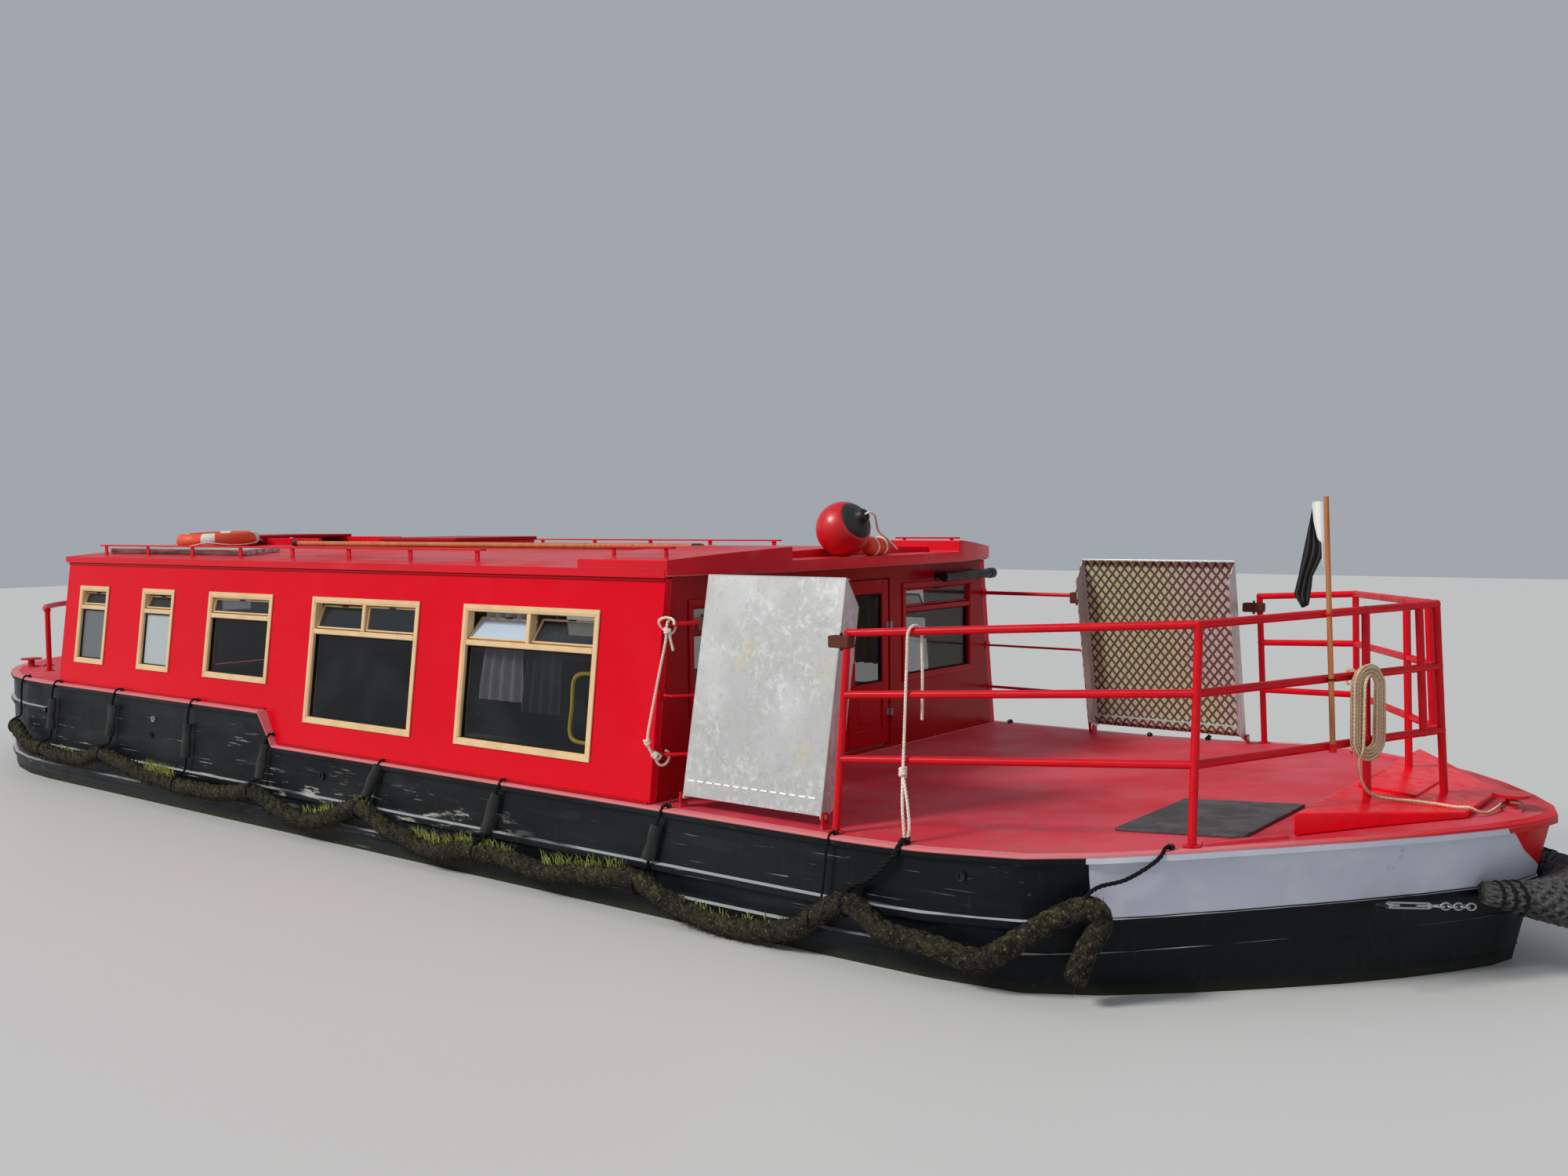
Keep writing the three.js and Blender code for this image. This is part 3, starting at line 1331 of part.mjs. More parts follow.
// The rope's end runs from the hank down to the locker, over the deck and round the mooring post
function lockerSurface(x) {
  return DECK_Z + sheer(x) + lockerTop(x);
}
function mooringLine() {
  const deck = DECK_Z + SHEER_RISE + LINE_R + 1.5;
  const round = deck + 14;
  const lie = LINE_R + 1.1;
  const post = STUD.stemR + LINE_R + 4;
  const turn = Array.from({ length: 7 }, (_, i) => {
    const angle = THREE.MathUtils.lerp(-0.75, 0.7, i / 6) * Math.PI;
    return [BOW_STUD_X + post * Math.cos(angle), post * Math.sin(angle), round + i * 3];
  });
  const route = [
    [3234, -568, 1459],
    [3236, -565, 1420],
    [3243, -552, 1365],
    [3260, -522, 1315],
    [3292, -474, lockerSurface(3292) + lie + 8],
    [3345, -424, lockerSurface(3345) + lie],
    [3430, -372, lockerSurface(3430) + lie],
    [3510, -338, lockerSurface(3510) + lie],
    [3590, -312, lockerSurface(3590) + lie],
    [3640, -294, lockerSurface(3640) + lie + 6],
    [3674, -264, deck + 16],
    [3698, -210, deck + 2],
    [3712, -130, round - 6],
    ...turn,
  ];
  return tube(route, LINE_R, 60, 8);
}
add("mooring_line", mooringLine(), ROPE);

// A rope's turn round a rail of the starboard side, about a centre.
// 90 degrees is over the rail and 180 outside it.
function turnRound([x, y, z], radius, from, to, drift) {
  const steps = 9;
  return Array.from({ length: steps + 1 }, (_, i) => {
    const angle = THREE.MathUtils.degToRad(THREE.MathUtils.lerp(from, to, i / steps));
    return [x + (drift * i) / steps, y + radius * Math.cos(angle), z + radius * Math.sin(angle)];
  });
}
const TURN_R = 40;
// How far a turn's centre lies under the middle of the bar that it goes round
function seat(barRadius) {
  return TURN_R - LINE_R - barRadius - 3 * GAP;
}

// A rope tied by a loop to the stub rail's top and bottom bars, hanging outside them
function stubRope() {
  const { top, low } = STUB;
  return tube(
    [
      ...turnRound([22, stubY(top.height), DECK_Z + top.height - seat(top.radius)], TURN_R, -80, 180, 18),
      [38, -1727, 1950],
      [28, -1756, 1820],
      [16, -1786, 1680],
      [4, -1812, 1550],
      [-2, -1832, 1450],
      [2, -1836, 1398],
      [12, -1824, 1362],
      ...turnRound([24, stubY(low.height), DECK_Z + low.height - seat(low.radius)], TURN_R, 190, 440, 26),
    ],
    LINE_R,
    76,
    8,
  );
}
add("stub_rope", stubRope(), ROPE);

// A rope made fast at the deck's edge, led up outside the rails and over the top one
function railRope() {
  return tube(
    [
      [1570, -1792, 1090],
      [1566, -1790, 1145],
      [1550, -1776, 1240],
      [1530, -1744, 1345],
      [1515, -1713, 1444],
      [1508, -1692, 1580],
      [1505, -1679, 1700],
      [1504, -1671, 1800],
      [1503, -1660, 1930],
      ...turnRound([1503, -1612.2, 2047.8 - seat(RAIL_R)], TURN_R, 180, 0, 26),
      [1531, -1573, 1960],
      [1532, -1571, 1880],
      [1531, -1570, 1760],
      [1527, -1569, 1625],
    ],
    LINE_R,
    76,
    8,
  );
}
add("rail_rope", railRope(), ROPE);

// Steering and screw
const BLADE = { back: RUDDER_X - 240, front: RUDDER_X + 210, foot: 70, head: 405 };
function rudder() {
  const blade = sideSlab(
    [
      [BLADE.back, BLADE.foot],
      [BLADE.front, BLADE.foot],
      [BLADE.front, BLADE.head],
      [BLADE.back, BLADE.head],
    ],
    -12,
    12,
  );
  const stock = bar([RUDDER_X, 0, 40 + GAP], [RUDDER_X, 0, STERN_Z + 70], STOCK_R, BEARING_SIDES);
  return blade.add(stock);
}

const TILLER_FOOT_Z = STERN_Z + 70 + GAP;
function tiller() {
  const neck = tube(
    [
      [RUDDER_X, 0, TILLER_FOOT_Z + 40],
      [RUDDER_X + 5, 0, TILLER_FOOT_Z + 350],
      [RUDDER_X + 80, 0, TILLER_FOOT_Z + 640],
      [RUDDER_X + 330, 0, TILLER_FOOT_Z + 800],
      [RUDDER_X + 700, 0, TILLER_FOOT_Z + 840],
    ],
    19,
    16,
    RAIL_SIDES,
  );
  const socket = bar([RUDDER_X, 0, TILLER_FOOT_Z], [RUDDER_X, 0, TILLER_FOOT_Z + 110], 34, 12);
  const handle = bar(
    [RUDDER_X + 690, 0, TILLER_FOOT_Z + 839],
    [RUDDER_X + 960, 0, TILLER_FOOT_Z + 862],
    24,
    RAIL_SIDES,
  );
  return join([neck, socket, handle]);
}

const SCREW = { x: STERN_POST_X - 130, radius: 180, blades: 3 };
function propeller() {
  const hub = bar([SCREW.x + 50, 0, SHAFT_Z], [SCREW.x - 60, 0, SHAFT_Z], 38, 16);
  const shaft = bar([STERN_POST_X + 100, 0, SHAFT_Z], [SCREW.x, 0, SHAFT_Z], SHAFT_R, BEARING_SIDES);
  const blades = Array.from({ length: SCREW.blades }, (_, i) => {
    const shape = new THREE.Shape();
    shape.moveTo(-30, 20);
    shape.quadraticCurveTo(-95, 110, -40, SCREW.radius - 8);
    shape.quadraticCurveTo(20, SCREW.radius + 6, 60, 140);
    shape.quadraticCurveTo(70, 70, 30, 20);
    const blade = new THREE.ExtrudeGeometry(shape, { depth: 8, bevelEnabled: false, curveSegments: 5 });
    blade.translate(0, 0, -4);
    blade.rotateY(THREE.MathUtils.degToRad(55));
    blade.rotateX((2 * Math.PI * i) / SCREW.blades);
    blade.translate(SCREW.x, 0, SHAFT_Z);
    return solid(blade);
  });
  return join([hub, shaft, ...blades]);
}
add("rudder", rudder(), BLACK);
add("tiller", tiller(), BRONZE);
add("propeller", propeller(), BRONZE);

export default boat;
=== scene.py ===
import random
from math import atan, atan2, cos, pi, radians, sin, sqrt, tan, tau

import bpy
import bmesh
from mathutils import Matrix, Vector


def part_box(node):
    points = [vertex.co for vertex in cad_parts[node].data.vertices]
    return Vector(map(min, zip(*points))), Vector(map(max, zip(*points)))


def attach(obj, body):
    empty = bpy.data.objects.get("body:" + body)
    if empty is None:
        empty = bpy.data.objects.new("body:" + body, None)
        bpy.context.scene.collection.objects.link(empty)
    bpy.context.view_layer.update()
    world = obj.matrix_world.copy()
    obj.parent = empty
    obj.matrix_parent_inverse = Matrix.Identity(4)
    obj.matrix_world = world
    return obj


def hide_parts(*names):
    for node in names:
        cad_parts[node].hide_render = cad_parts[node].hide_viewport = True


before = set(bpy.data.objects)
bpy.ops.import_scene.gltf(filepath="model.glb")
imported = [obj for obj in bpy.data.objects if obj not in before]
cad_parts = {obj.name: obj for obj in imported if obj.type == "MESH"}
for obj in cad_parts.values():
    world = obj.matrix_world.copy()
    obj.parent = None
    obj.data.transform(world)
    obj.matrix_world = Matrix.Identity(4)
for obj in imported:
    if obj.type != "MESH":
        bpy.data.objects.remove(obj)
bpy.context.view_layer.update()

# Driving dimensions, the same as the CAD's. x is measured from the cabin's front wall.
FRONT_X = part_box("cabin_side_starboard")[1].x
REAR_X = -6.600
WATER_Z = 0.500
DECK_Z = 1.080
STERN_Z = 1.300
HALF_BEAM = 1.850
CABIN_FOOT = 1.830
CABIN_HEIGHT = 1.190
CABIN_TOP_Z = DECK_Z + CABIN_HEIGHT
TUMBLEHOME = 0.150
ROOF_THICKNESS = 0.045
ROOF_CAMBER = 0.080
ROOF_HALF = CABIN_FOOT - TUMBLEHOME + 0.022
SHEER_START_X = 1.200
SHEER_END_X = 3.700
SHEER_RISE = 0.120
STEP_TOP_X = -3.610
STEP_FOOT_X = -3.450
RAIL_R = 0.019
RAIL_HEIGHTS = (0.950, 0.655, 0.350)
STANCHION_LEAN = 0.110
SIDES = {"starboard": -1, "port": 1}
LEAN = atan(TUMBLEHOME / CABIN_HEIGHT)


def at(x, y, z):
    """A place in the row's frame from x measured at the cabin's front wall."""
    return Vector((FRONT_X + x, y, z))


def spot(x, y, z):
    return Matrix.Translation(at(x, y, z))


def mix(a, b, share):
    return a + (b - a) * share


def sheer(x):
    share = min(1.0, max(0.0, (x - SHEER_START_X) / (SHEER_END_X - SHEER_START_X)))
    return SHEER_RISE * share * share * (3 - 2 * share)


def gunwale(x):
    if x <= STEP_TOP_X:
        return STERN_Z
    if x >= STEP_FOOT_X:
        return DECK_Z + sheer(x)
    return mix(STERN_Z, DECK_Z, (x - STEP_TOP_X) / (STEP_FOOT_X - STEP_TOP_X))


def roof_top(y):
    return CABIN_TOP_Z + ROOF_THICKNESS + ROOF_CAMBER * (1 - (y / ROOF_HALF) ** 2)


# Lines and meshes
def smooth_line(points, spacing):
    """A centripetal Catmull-Rom line through the points, resampled at an even spacing."""
    points = [Vector(p) for p in points]
    padded = [2 * points[0] - points[1], *points, 2 * points[-1] - points[-2]]
    dense = []
    for a, b, c, d in zip(padded, padded[1:], padded[2:], padded[3:]):
        knots = [0.0]
        for p, q in ((a, b), (b, c), (c, d)):
            knots.append(knots[-1] + max((q - p).length, 1e-9) ** 0.5)
        t0, t1, t2, t3 = knots
        for k in range(24):
            t = mix(t1, t2, k / 24)
            a1 = a.lerp(b, (t - t0) / (t1 - t0))
            a2 = b.lerp(c, (t - t1) / (t2 - t1))
            a3 = c.lerp(d, (t - t2) / (t3 - t2))
            b1 = a1.lerp(a2, (t - t0) / (t2 - t0))
            b2 = a2.lerp(a3, (t - t1) / (t3 - t1))
            dense.append(b1.lerp(b2, (t - t1) / (t2 - t1)))
    return resample([*dense, points[-1]], spacing)


def line_length(line):
    return sum((b - a).length for a, b in zip(line, line[1:]))


def resample(line, spacing):
    count = max(2, round(line_length(line) / spacing))
    step = line_length(line) / count
    made, left = [line[0].copy()], step
    for a, b in zip(line, line[1:]):
        size = (b - a).length
        while size > 0 and left <= size and len(made) < count:
            a = a.lerp(b, left / size)
            made.append(a.copy())
            size, left = (b - a).length, step
        left -= size
    return [*made, line[-1].copy()]


def turned_frames(line):
    """A tangent and two normals at each point, turned as little as possible along the line."""
    tangents = []
    for i in range(len(line)):
        ahead, behind = line[min(i + 1, len(line) - 1)], line[max(i - 1, 0)]
        tangents.append((ahead - behind).normalized())
    side = tangents[0].orthogonal().normalized()
    made = []
    for tangent in tangents:
        side = (side - tangent * side.dot(tangent)).normalized()
        made.append((tangent, side, tangent.cross(side)))
    return made


def ring_faces(lengths, sides):
    """The quads between rings of points along a line, and a face over each end."""
    faces = [
        (i * sides + k, i * sides + (k + 1) % sides, (i + 1) * sides + (k + 1) % sides, (i + 1) * sides + k)
        for i in range(lengths)
        for k in range(sides)
    ]
    return [*faces, tuple(range(sides)), tuple(lengths * sides + k for k in range(sides))]


def grid_faces(down, across):
    corners = [j * (across + 1) + i for j in range(down) for i in range(across)]
    return [(a, a + 1, a + across + 2, a + across + 1) for a in corners]


def oval(centre, along, aside, steps):
    """A closed line round a centre, from its two half axes."""
    turns = [tau * k / steps for k in range(steps + 1)]
    return [centre + along * cos(angle) + aside * sin(angle) for angle in turns]


class Piece:
    """A mesh that is put together from parts, each with its own material."""

    def __init__(self, name):
        self.name = name
        self.points, self.faces, self.marks, self.looks = [], [], [], []

    def add(self, points, faces, look):
        start = len(self.points)
        self.points += [Vector(p) for p in points]
        self.faces += [[start + i for i in face] for face in faces]
        if look not in self.looks:
            self.looks.append(look)
        self.marks += [self.looks.index(look)] * len(faces)

    def tube(self, line, radius, look, sides=16, flat=1.0):
        """A round tube; radius is a number or a function of the share of the way along."""
        line = [Vector(p) for p in line]
        points, last = [], len(line) - 1
        for i, (_, side, up) in enumerate(turned_frames(line)):
            size = radius(i / last) if callable(radius) else radius
            for k in range(sides):
                angle = tau * k / sides
                points.append(line[i] + side * size * cos(angle) + up * size * flat * sin(angle))
        self.add(points, ring_faces(last, sides), look)

    def pipe(self, corners, radius, look, sides=18):
        """Straight lengths that meet in mitred corners."""
        corners = [Vector(p) for p in corners]
        points = []
        last = len(corners) - 1
        side = (corners[1] - corners[0]).orthogonal().normalized()
        for i, place in enumerate(corners):
            before = (place - corners[i - 1]).normalized() if i else (corners[1] - place).normalized()
            after = (corners[i + 1] - place).normalized() if i < last else before
            across = (before + after).normalized()
            side = (side - before * side.dot(before)).normalized()
            up = before.cross(side)
            for k in range(sides):
                angle = tau * k / sides
                off = side * radius * cos(angle) + up * radius * sin(angle)
                points.append(place + off - before * off.dot(across) / before.dot(across))
        self.add(points, ring_faces(last, sides), look)

    def box(self, low, high, look, chamfer=0.003, place=None):
        """A box between two corners with chamfered edges."""
        low, high = Vector(low), Vector(high)
        half = (high - low) / 2
        centre = (high + low) / 2
        cut = min(chamfer, 0.45 * min(abs(v) for v in half))
        points, index = [], {}
        for corner in range(8):
            sign = [1 if corner >> axis & 1 else -1 for axis in range(3)]
            for axis in range(3):
                off = [sign[k] * (half[k] - (0 if k == axis else cut)) for k in range(3)]
                index[corner, axis] = len(points)
                points.append(centre + Vector(off))
        faces = []
        for axis in range(3):
            a, b = (k for k in range(3) if k != axis)
            for end in (0, 1):
                ring = [end << axis | u << a | v << b for u, v in ((0, 0), (1, 0), (1, 1), (0, 1))]
                faces.append([index[c, axis] for c in ring])
            for u, v in ((0, 0), (1, 0), (1, 1), (0, 1)):
                c0, c1 = u << a | v << b, 1 << axis | u << a | v << b
                faces.append([index[c0, a], index[c0, b], index[c1, b], index[c1, a]])
        faces += [[index[c, 0], index[c, 1], index[c, 2]] for c in range(8)]
        if place is not None:
            points = [place @ p for p in points]
        self.add(points, faces, look)

    def lathe(self, profile, place, look, steps=32):
        """A profile of radius and height turned round the z axis of a place; it starts and ends on the axis."""
        points, rings = [], []
        for radius, height in profile:
            if radius < 1e-6:
                rings.append([len(points)] * steps)
                points.append(place @ Vector((0, 0, height)))
                continue
            rings.append(list(range(len(points), len(points) + steps)))
            for k in range(steps):
                angle = tau * k / steps
                points.append(place @ Vector((radius * cos(angle), radius * sin(angle), height)))
        faces = []
        for low, high in zip(rings, rings[1:]):
            for k in range(steps):
                face = [low[k], low[(k + 1) % steps], high[(k + 1) % steps], high[k]]
                face = list(dict.fromkeys(face))
                if len(face) > 2:
                    faces.append(face)
        self.add(points, faces, look)

    def panel(self, outline, thickness, place, look):
        """A flat outline in a place's x and y, raised along its z."""
        n = len(outline)
        points = [place @ Vector((x, y, z)) for z in (0, thickness) for x, y in outline]
        faces = [list(range(n)), list(range(n, 2 * n))]
        faces += [(k, (k + 1) % n, n + (k + 1) % n, n + k) for k in range(n)]
        self.add(points, faces, look)

    def rope(self, line, radius, look, strands=3, lay=3.4, sides=8, spread=0.5):
        """Laid strands round a line; lay is one turn's length in diameters."""
        frames = turned_frames(line)
        turn = tau / (lay * 2 * radius)
        step = line_length(line) / (len(line) - 1)
        for s in range(strands):
            path = []
            for i, (_, side, up) in enumerate(frames):
                angle = turn * step * i + tau * s / strands
                off = side * cos(angle) + up * sin(angle)
                path.append(line[i] + off * radius * (1 - spread))
            self.tube(path, radius * spread, look, sides)

    def done(self, body="boat", slot=None, replaces=(), angle=40.0, mirror=False):
        mesh = bpy.data.meshes.new(self.name)
        points = [Vector((p.x, -p.y, p.z)) for p in self.points] if mirror else self.points
        mesh.from_pydata([tuple(p) for p in points], [], self.faces)
        for look in self.looks:
            mesh.materials.append(look)
        mesh.polygons.foreach_set("material_index", self.marks)
        bm = bmesh.new()
        bm.from_mesh(mesh)
        bmesh.ops.recalc_face_normals(bm, faces=bm.faces)
        bm.to_mesh(mesh)
        bm.free()
        mesh.polygons.foreach_set("use_smooth", [True] * len(mesh.polygons))
        mesh.set_sharp_from_angle(angle=radians(angle))
        made = bpy.data.objects.new(self.name, mesh)
        bpy.context.scene.collection.objects.link(made)
        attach(made, body)
        if replaces:
            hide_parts(*replaces)
        return made


# Materials
class Look:
    """A Principled material whose colour, roughness and height are built up from masks."""

    def __init__(self, name, colour, roughness=0.5, metallic=0.0, coat=0.0, specular=None):
        self.material = bpy.data.materials.new(name)
        self.material.use_nodes = True
        self.tree = self.material.node_tree
        self.shader = self.tree.nodes["Principled BSDF"]
        self.shader.inputs["Metallic"].default_value = metallic
        if coat:
            self.shader.inputs["Coat Weight"].default_value = coat
            self.shader.inputs["Coat Roughness"].default_value = 0.12
        if specular is not None:
            self.shader.inputs["Specular IOR Level"].default_value = specular
        self.colour, self.rough, self.height = (*srgb(*colour), 1.0), roughness, None
        coordinates = self.tree.nodes.new("ShaderNodeTexCoord")
        self.place = coordinates.outputs["Object"]
        parts = self.node("ShaderNodeSeparateXYZ", (self.place,))
        self.x, self.y, self.z = parts.outputs
        facing = self.node("ShaderNodeSeparateXYZ", (coordinates.outputs["Normal"],))
        self.facing_x, self.facing_y, self.facing_z = facing.outputs

    def node(self, kind, inputs=(), **settings):
        made = self.tree.nodes.new(kind)
        for key, value in settings.items():
            setattr(made, key, value)
        for i, value in enumerate(inputs):
            self.feed(made.inputs[i], value)
        return made

    def feed(self, socket, value):
        if value is None:
            return
        if isinstance(value, bpy.types.NodeSocket):
            self.tree.links.new(value, socket)
        else:
            socket.default_value = value

    def math(self, operation, a, b=None):
        return self.node("ShaderNodeMath", (a, b), operation=operation).outputs[0]

    def ramp(self, value, low, high, smooth=False):
        """0 below low and 1 above high; the other way round if low is the larger."""
        kind = "SMOOTHSTEP" if smooth else "LINEAR"
        made = self.node("ShaderNodeMapRange", (value, low, high, 0.0, 1.0), interpolation_type=kind)
        return made.outputs[0]

    def band(self, value, low, high, edge):
        rise, fall = self.ramp(value, low - edge, low + edge), self.ramp(value, high + edge, high - edge)
        return self.both(rise, fall)

    def both(self, first, *others):
        for mask in others:
            first = self.math("MULTIPLY", first, mask)
        return first

    def stretched(self, stretch):
        return self.node("ShaderNodeVectorMath", (self.place, stretch), operation="MULTIPLY").outputs[0]

    def noise(self, scale, detail=3.0, stretch=None, rough=0.55, twist=0.0):
        where = self.stretched(stretch) if stretch else self.place
        made = self.node("ShaderNodeTexNoise")
        settings = {"Vector": where, "Scale": scale, "Detail": detail, "Roughness": rough, "Distortion": twist}
        for key, value in settings.items():
            self.feed(made.inputs[key], value)
        return made.outputs["Fac"]

    def cells(self, scale, output="Distance"):
        made = self.node("ShaderNodeTexVoronoi")
        self.feed(made.inputs["Vector"], self.place)
        made.inputs["Scale"].default_value = scale
        return made.outputs[output]

    def clouds(self, low, high, scale, *more, **settings):
        """A noise's soft patches: 0 where it is under low, 1 over high."""
        return self.ramp(self.noise(scale, *more, **settings), low, high, True)

    def grains(self, low, high, scale, *more, **settings):
        """A noise's hard-edged patches."""
        return self.ramp(self.noise(scale, *more, **settings), low, high)

    def paint(self, mask, colour, share=None):
        mask = mask if share is None else self.both(mask, share)
        made = self.node("ShaderNodeMix", data_type="RGBA")
        self.feed(made.inputs["Factor"], mask)
        self.feed(made.inputs[6], self.colour)
        self.feed(made.inputs[7], (*colour, 1.0) if isinstance(colour, tuple) else colour)
        self.colour = made.outputs[2]
        return self

    def roughen(self, mask, value):
        made = self.node("ShaderNodeMix", data_type="FLOAT")
        self.feed(made.inputs[0], mask)
        self.feed(made.inputs[2], self.rough)
        self.feed(made.inputs[3], value)
        self.rough = made.outputs[0]
        return self

    def raised(self, value, depth):
        """Adds a height field, its depth in metres."""
        part = self.math("MULTIPLY", value, depth)
        self.height = part if self.height is None else self.math("ADD", self.height, part)
        return self

    def done(self):
        self.feed(self.shader.inputs["Base Color"], self.colour)
        self.feed(self.shader.inputs["Roughness"], self.rough)
        if self.height is not None:
            bump = self.node("ShaderNodeBump")
            bump.inputs["Distance"].default_value = 1.0
            self.feed(bump.inputs["Height"], self.height)
            self.feed(self.shader.inputs["Normal"], bump.outputs[0])
        return self.material


def srgb(red, green, blue):
    """A colour as seen on a screen, from 0 to 255, as the linear values that shaders use."""
    shares = (red / 255, green / 255, blue / 255)
    return tuple(c / 12.92 if c <= 0.04045 else ((c + 0.055) / 1.055) ** 2.4 for c in shares)


def cabin_paint(name, colour, inner=None, shine=0.22):
    """Gloss enamel on sheet steel: slight waves, a little fading, thin darker streaks and rust specks; the inner face
    is lined.
    """
    look = Look(name, colour, shine, specular=0.14)
    darker = tuple(c * 0.86 for c in srgb(*colour))
    paler = tuple(min(1.0, c * 1.08 + 0.004) for c in srgb(*colour))
    look.paint(look.clouds(0.42, 0.68, 0.9, 2.0), darker, 0.35)
    look.paint(look.clouds(0.50, 0.72, 5.0, 4.0, (0.5, 0.5, 2.0)), paler, 0.2)
    look.paint(look.grains(0.60, 0.75, 26.0, 3.0, (1.0, 1.0, 0.06)), darker, 0.16)
    specks = look.ramp(look.cells(70.0), 0.055, 0.02)
    chance = look.grains(0.60, 0.64, 7.0, 1.0)
    look.paint(look.both(specks, chance), srgb(92, 30, 26), 0.5)
    look.roughen(look.clouds(0.40, 0.75, 3.0, 4.0), shine + 0.16)
    look.raised(look.noise(1.15, 1.0), 0.0035)
    look.raised(look.noise(150.0, 1.0), 0.00004)
    if inner is not None:
        lining = inner(look)
        look.paint(lining, srgb(190, 178, 158))
        look.roughen(lining, 0.6)
    return look.done()


def inner_of_side(look):
    across = look.math("MULTIPLY", look.y, look.facing_y)
    return look.ramp(across, -0.30, -0.60)


def inner_of_front(look):
    return look.ramp(look.facing_x, -0.55, -0.75)


def inner_of_rear(look):
    return look.ramp(look.facing_x, 0.55, 0.75)


def inner_of_roof(look):
    return look.both(look.ramp(look.facing_z, -0.55, -0.75), look.ramp(look.z, CABIN_TOP_Z + 0.08, CABIN_TOP_Z + 0.07))


def roof_paint():
    look = Look("roof_red", (214, 8, 32), 0.30, specular=0.25)
    look.paint(look.clouds(0.38, 0.66, 0.7, 3.0), srgb(186, 10, 28), 0.45)
    look.paint(look.clouds(0.52, 0.74, 3.2, 5.0, (0.35, 1.2, 1.0)), srgb(236, 92, 104), 0.35)
    look.paint(look.grains(0.64, 0.72, 34.0, 3.0), srgb(98, 42, 36), 0.35)
    look.roughen(look.clouds(0.42, 0.70, 1.6, 4.0), 0.46)
    lining = inner_of_roof(look)
    look.paint(lining, srgb(205, 196, 180)).roughen(lining, 0.65)
    look.raised(look.noise(1.4, 1.0), 0.004)
    look.raised(look.noise(420.0, 2.0), 0.00006)
    return look.done()


def deck_level(look):
    """The height of the deck's edge along the boat: its sheer at the bow and the step up to the stern."""
    along = look.math("SUBTRACT", look.x, FRONT_X)
    forward = look.node(
        "ShaderNodeMapRange", (along, SHEER_START_X, SHEER_END_X, 0.0, SHEER_RISE), interpolation_type="SMOOTHSTEP"
    ).outputs[0]
    step = look.ramp(along, STEP_FOOT_X, STEP_TOP_X)
    return along, look.math("ADD", look.math("ADD", forward, DECK_Z), look.both(step, STERN_Z - DECK_Z))


def deck_paint():
    """Non-slip paint, faded to pink, with wear, footprints and grit; what stands on the deck is gloss red."""
    look = Look("deck_paint", (206, 46, 62), 0.62, specular=0.25)
    look.paint(look.clouds(0.36, 0.66, 1.3, 4.0), srgb(218, 82, 96), 0.8)
    look.paint(look.clouds(0.50, 0.72, 3.1, 5.0, (0.7, 1.4, 1.0)), srgb(182, 84, 86), 0.55)
    look.paint(look.clouds(0.56, 0.74, 11.0, 5.0), srgb(156, 106, 98), 0.5)
    look.paint(look.both(look.ramp(look.cells(55.0), 0.10, 0.04), look.grains(0.55, 0.62, 5.0, 2.0)), srgb(120, 70, 66))
    look.roughen(look.grains(0.4, 0.7, 2.2, 3.0), 0.42)
    standing = look.ramp(look.math("SUBTRACT", look.z, deck_level(look)[1]), 0.018, 0.022)
    look.paint(standing, srgb(196, 6, 24)).roughen(standing, 0.32)
    look.raised(look.noise(520.0, 2.0), 0.0006)
    look.raised(look.noise(3.0, 2.0), 0.0015)
    return look.done()


# Zones of the hull's paint: where they lie along the boat, and how far under the deck's edge
GREY_X, GREY_DROPS = 2.450, (0.012, 0.286)
NOSE_X, NOSE_RAKE, NOSE_DROPS = 3.812, 0.25, (-0.04, 0.255)
RUBBED_X, RUBBED_DROPS = (-3.6, -1.2), (0.16, 0.36)
SCUPPER_X, SCUPPER_DROPS = (2.245, 2.290), (0.030, 0.072)
PAINT_EDGE = 0.002


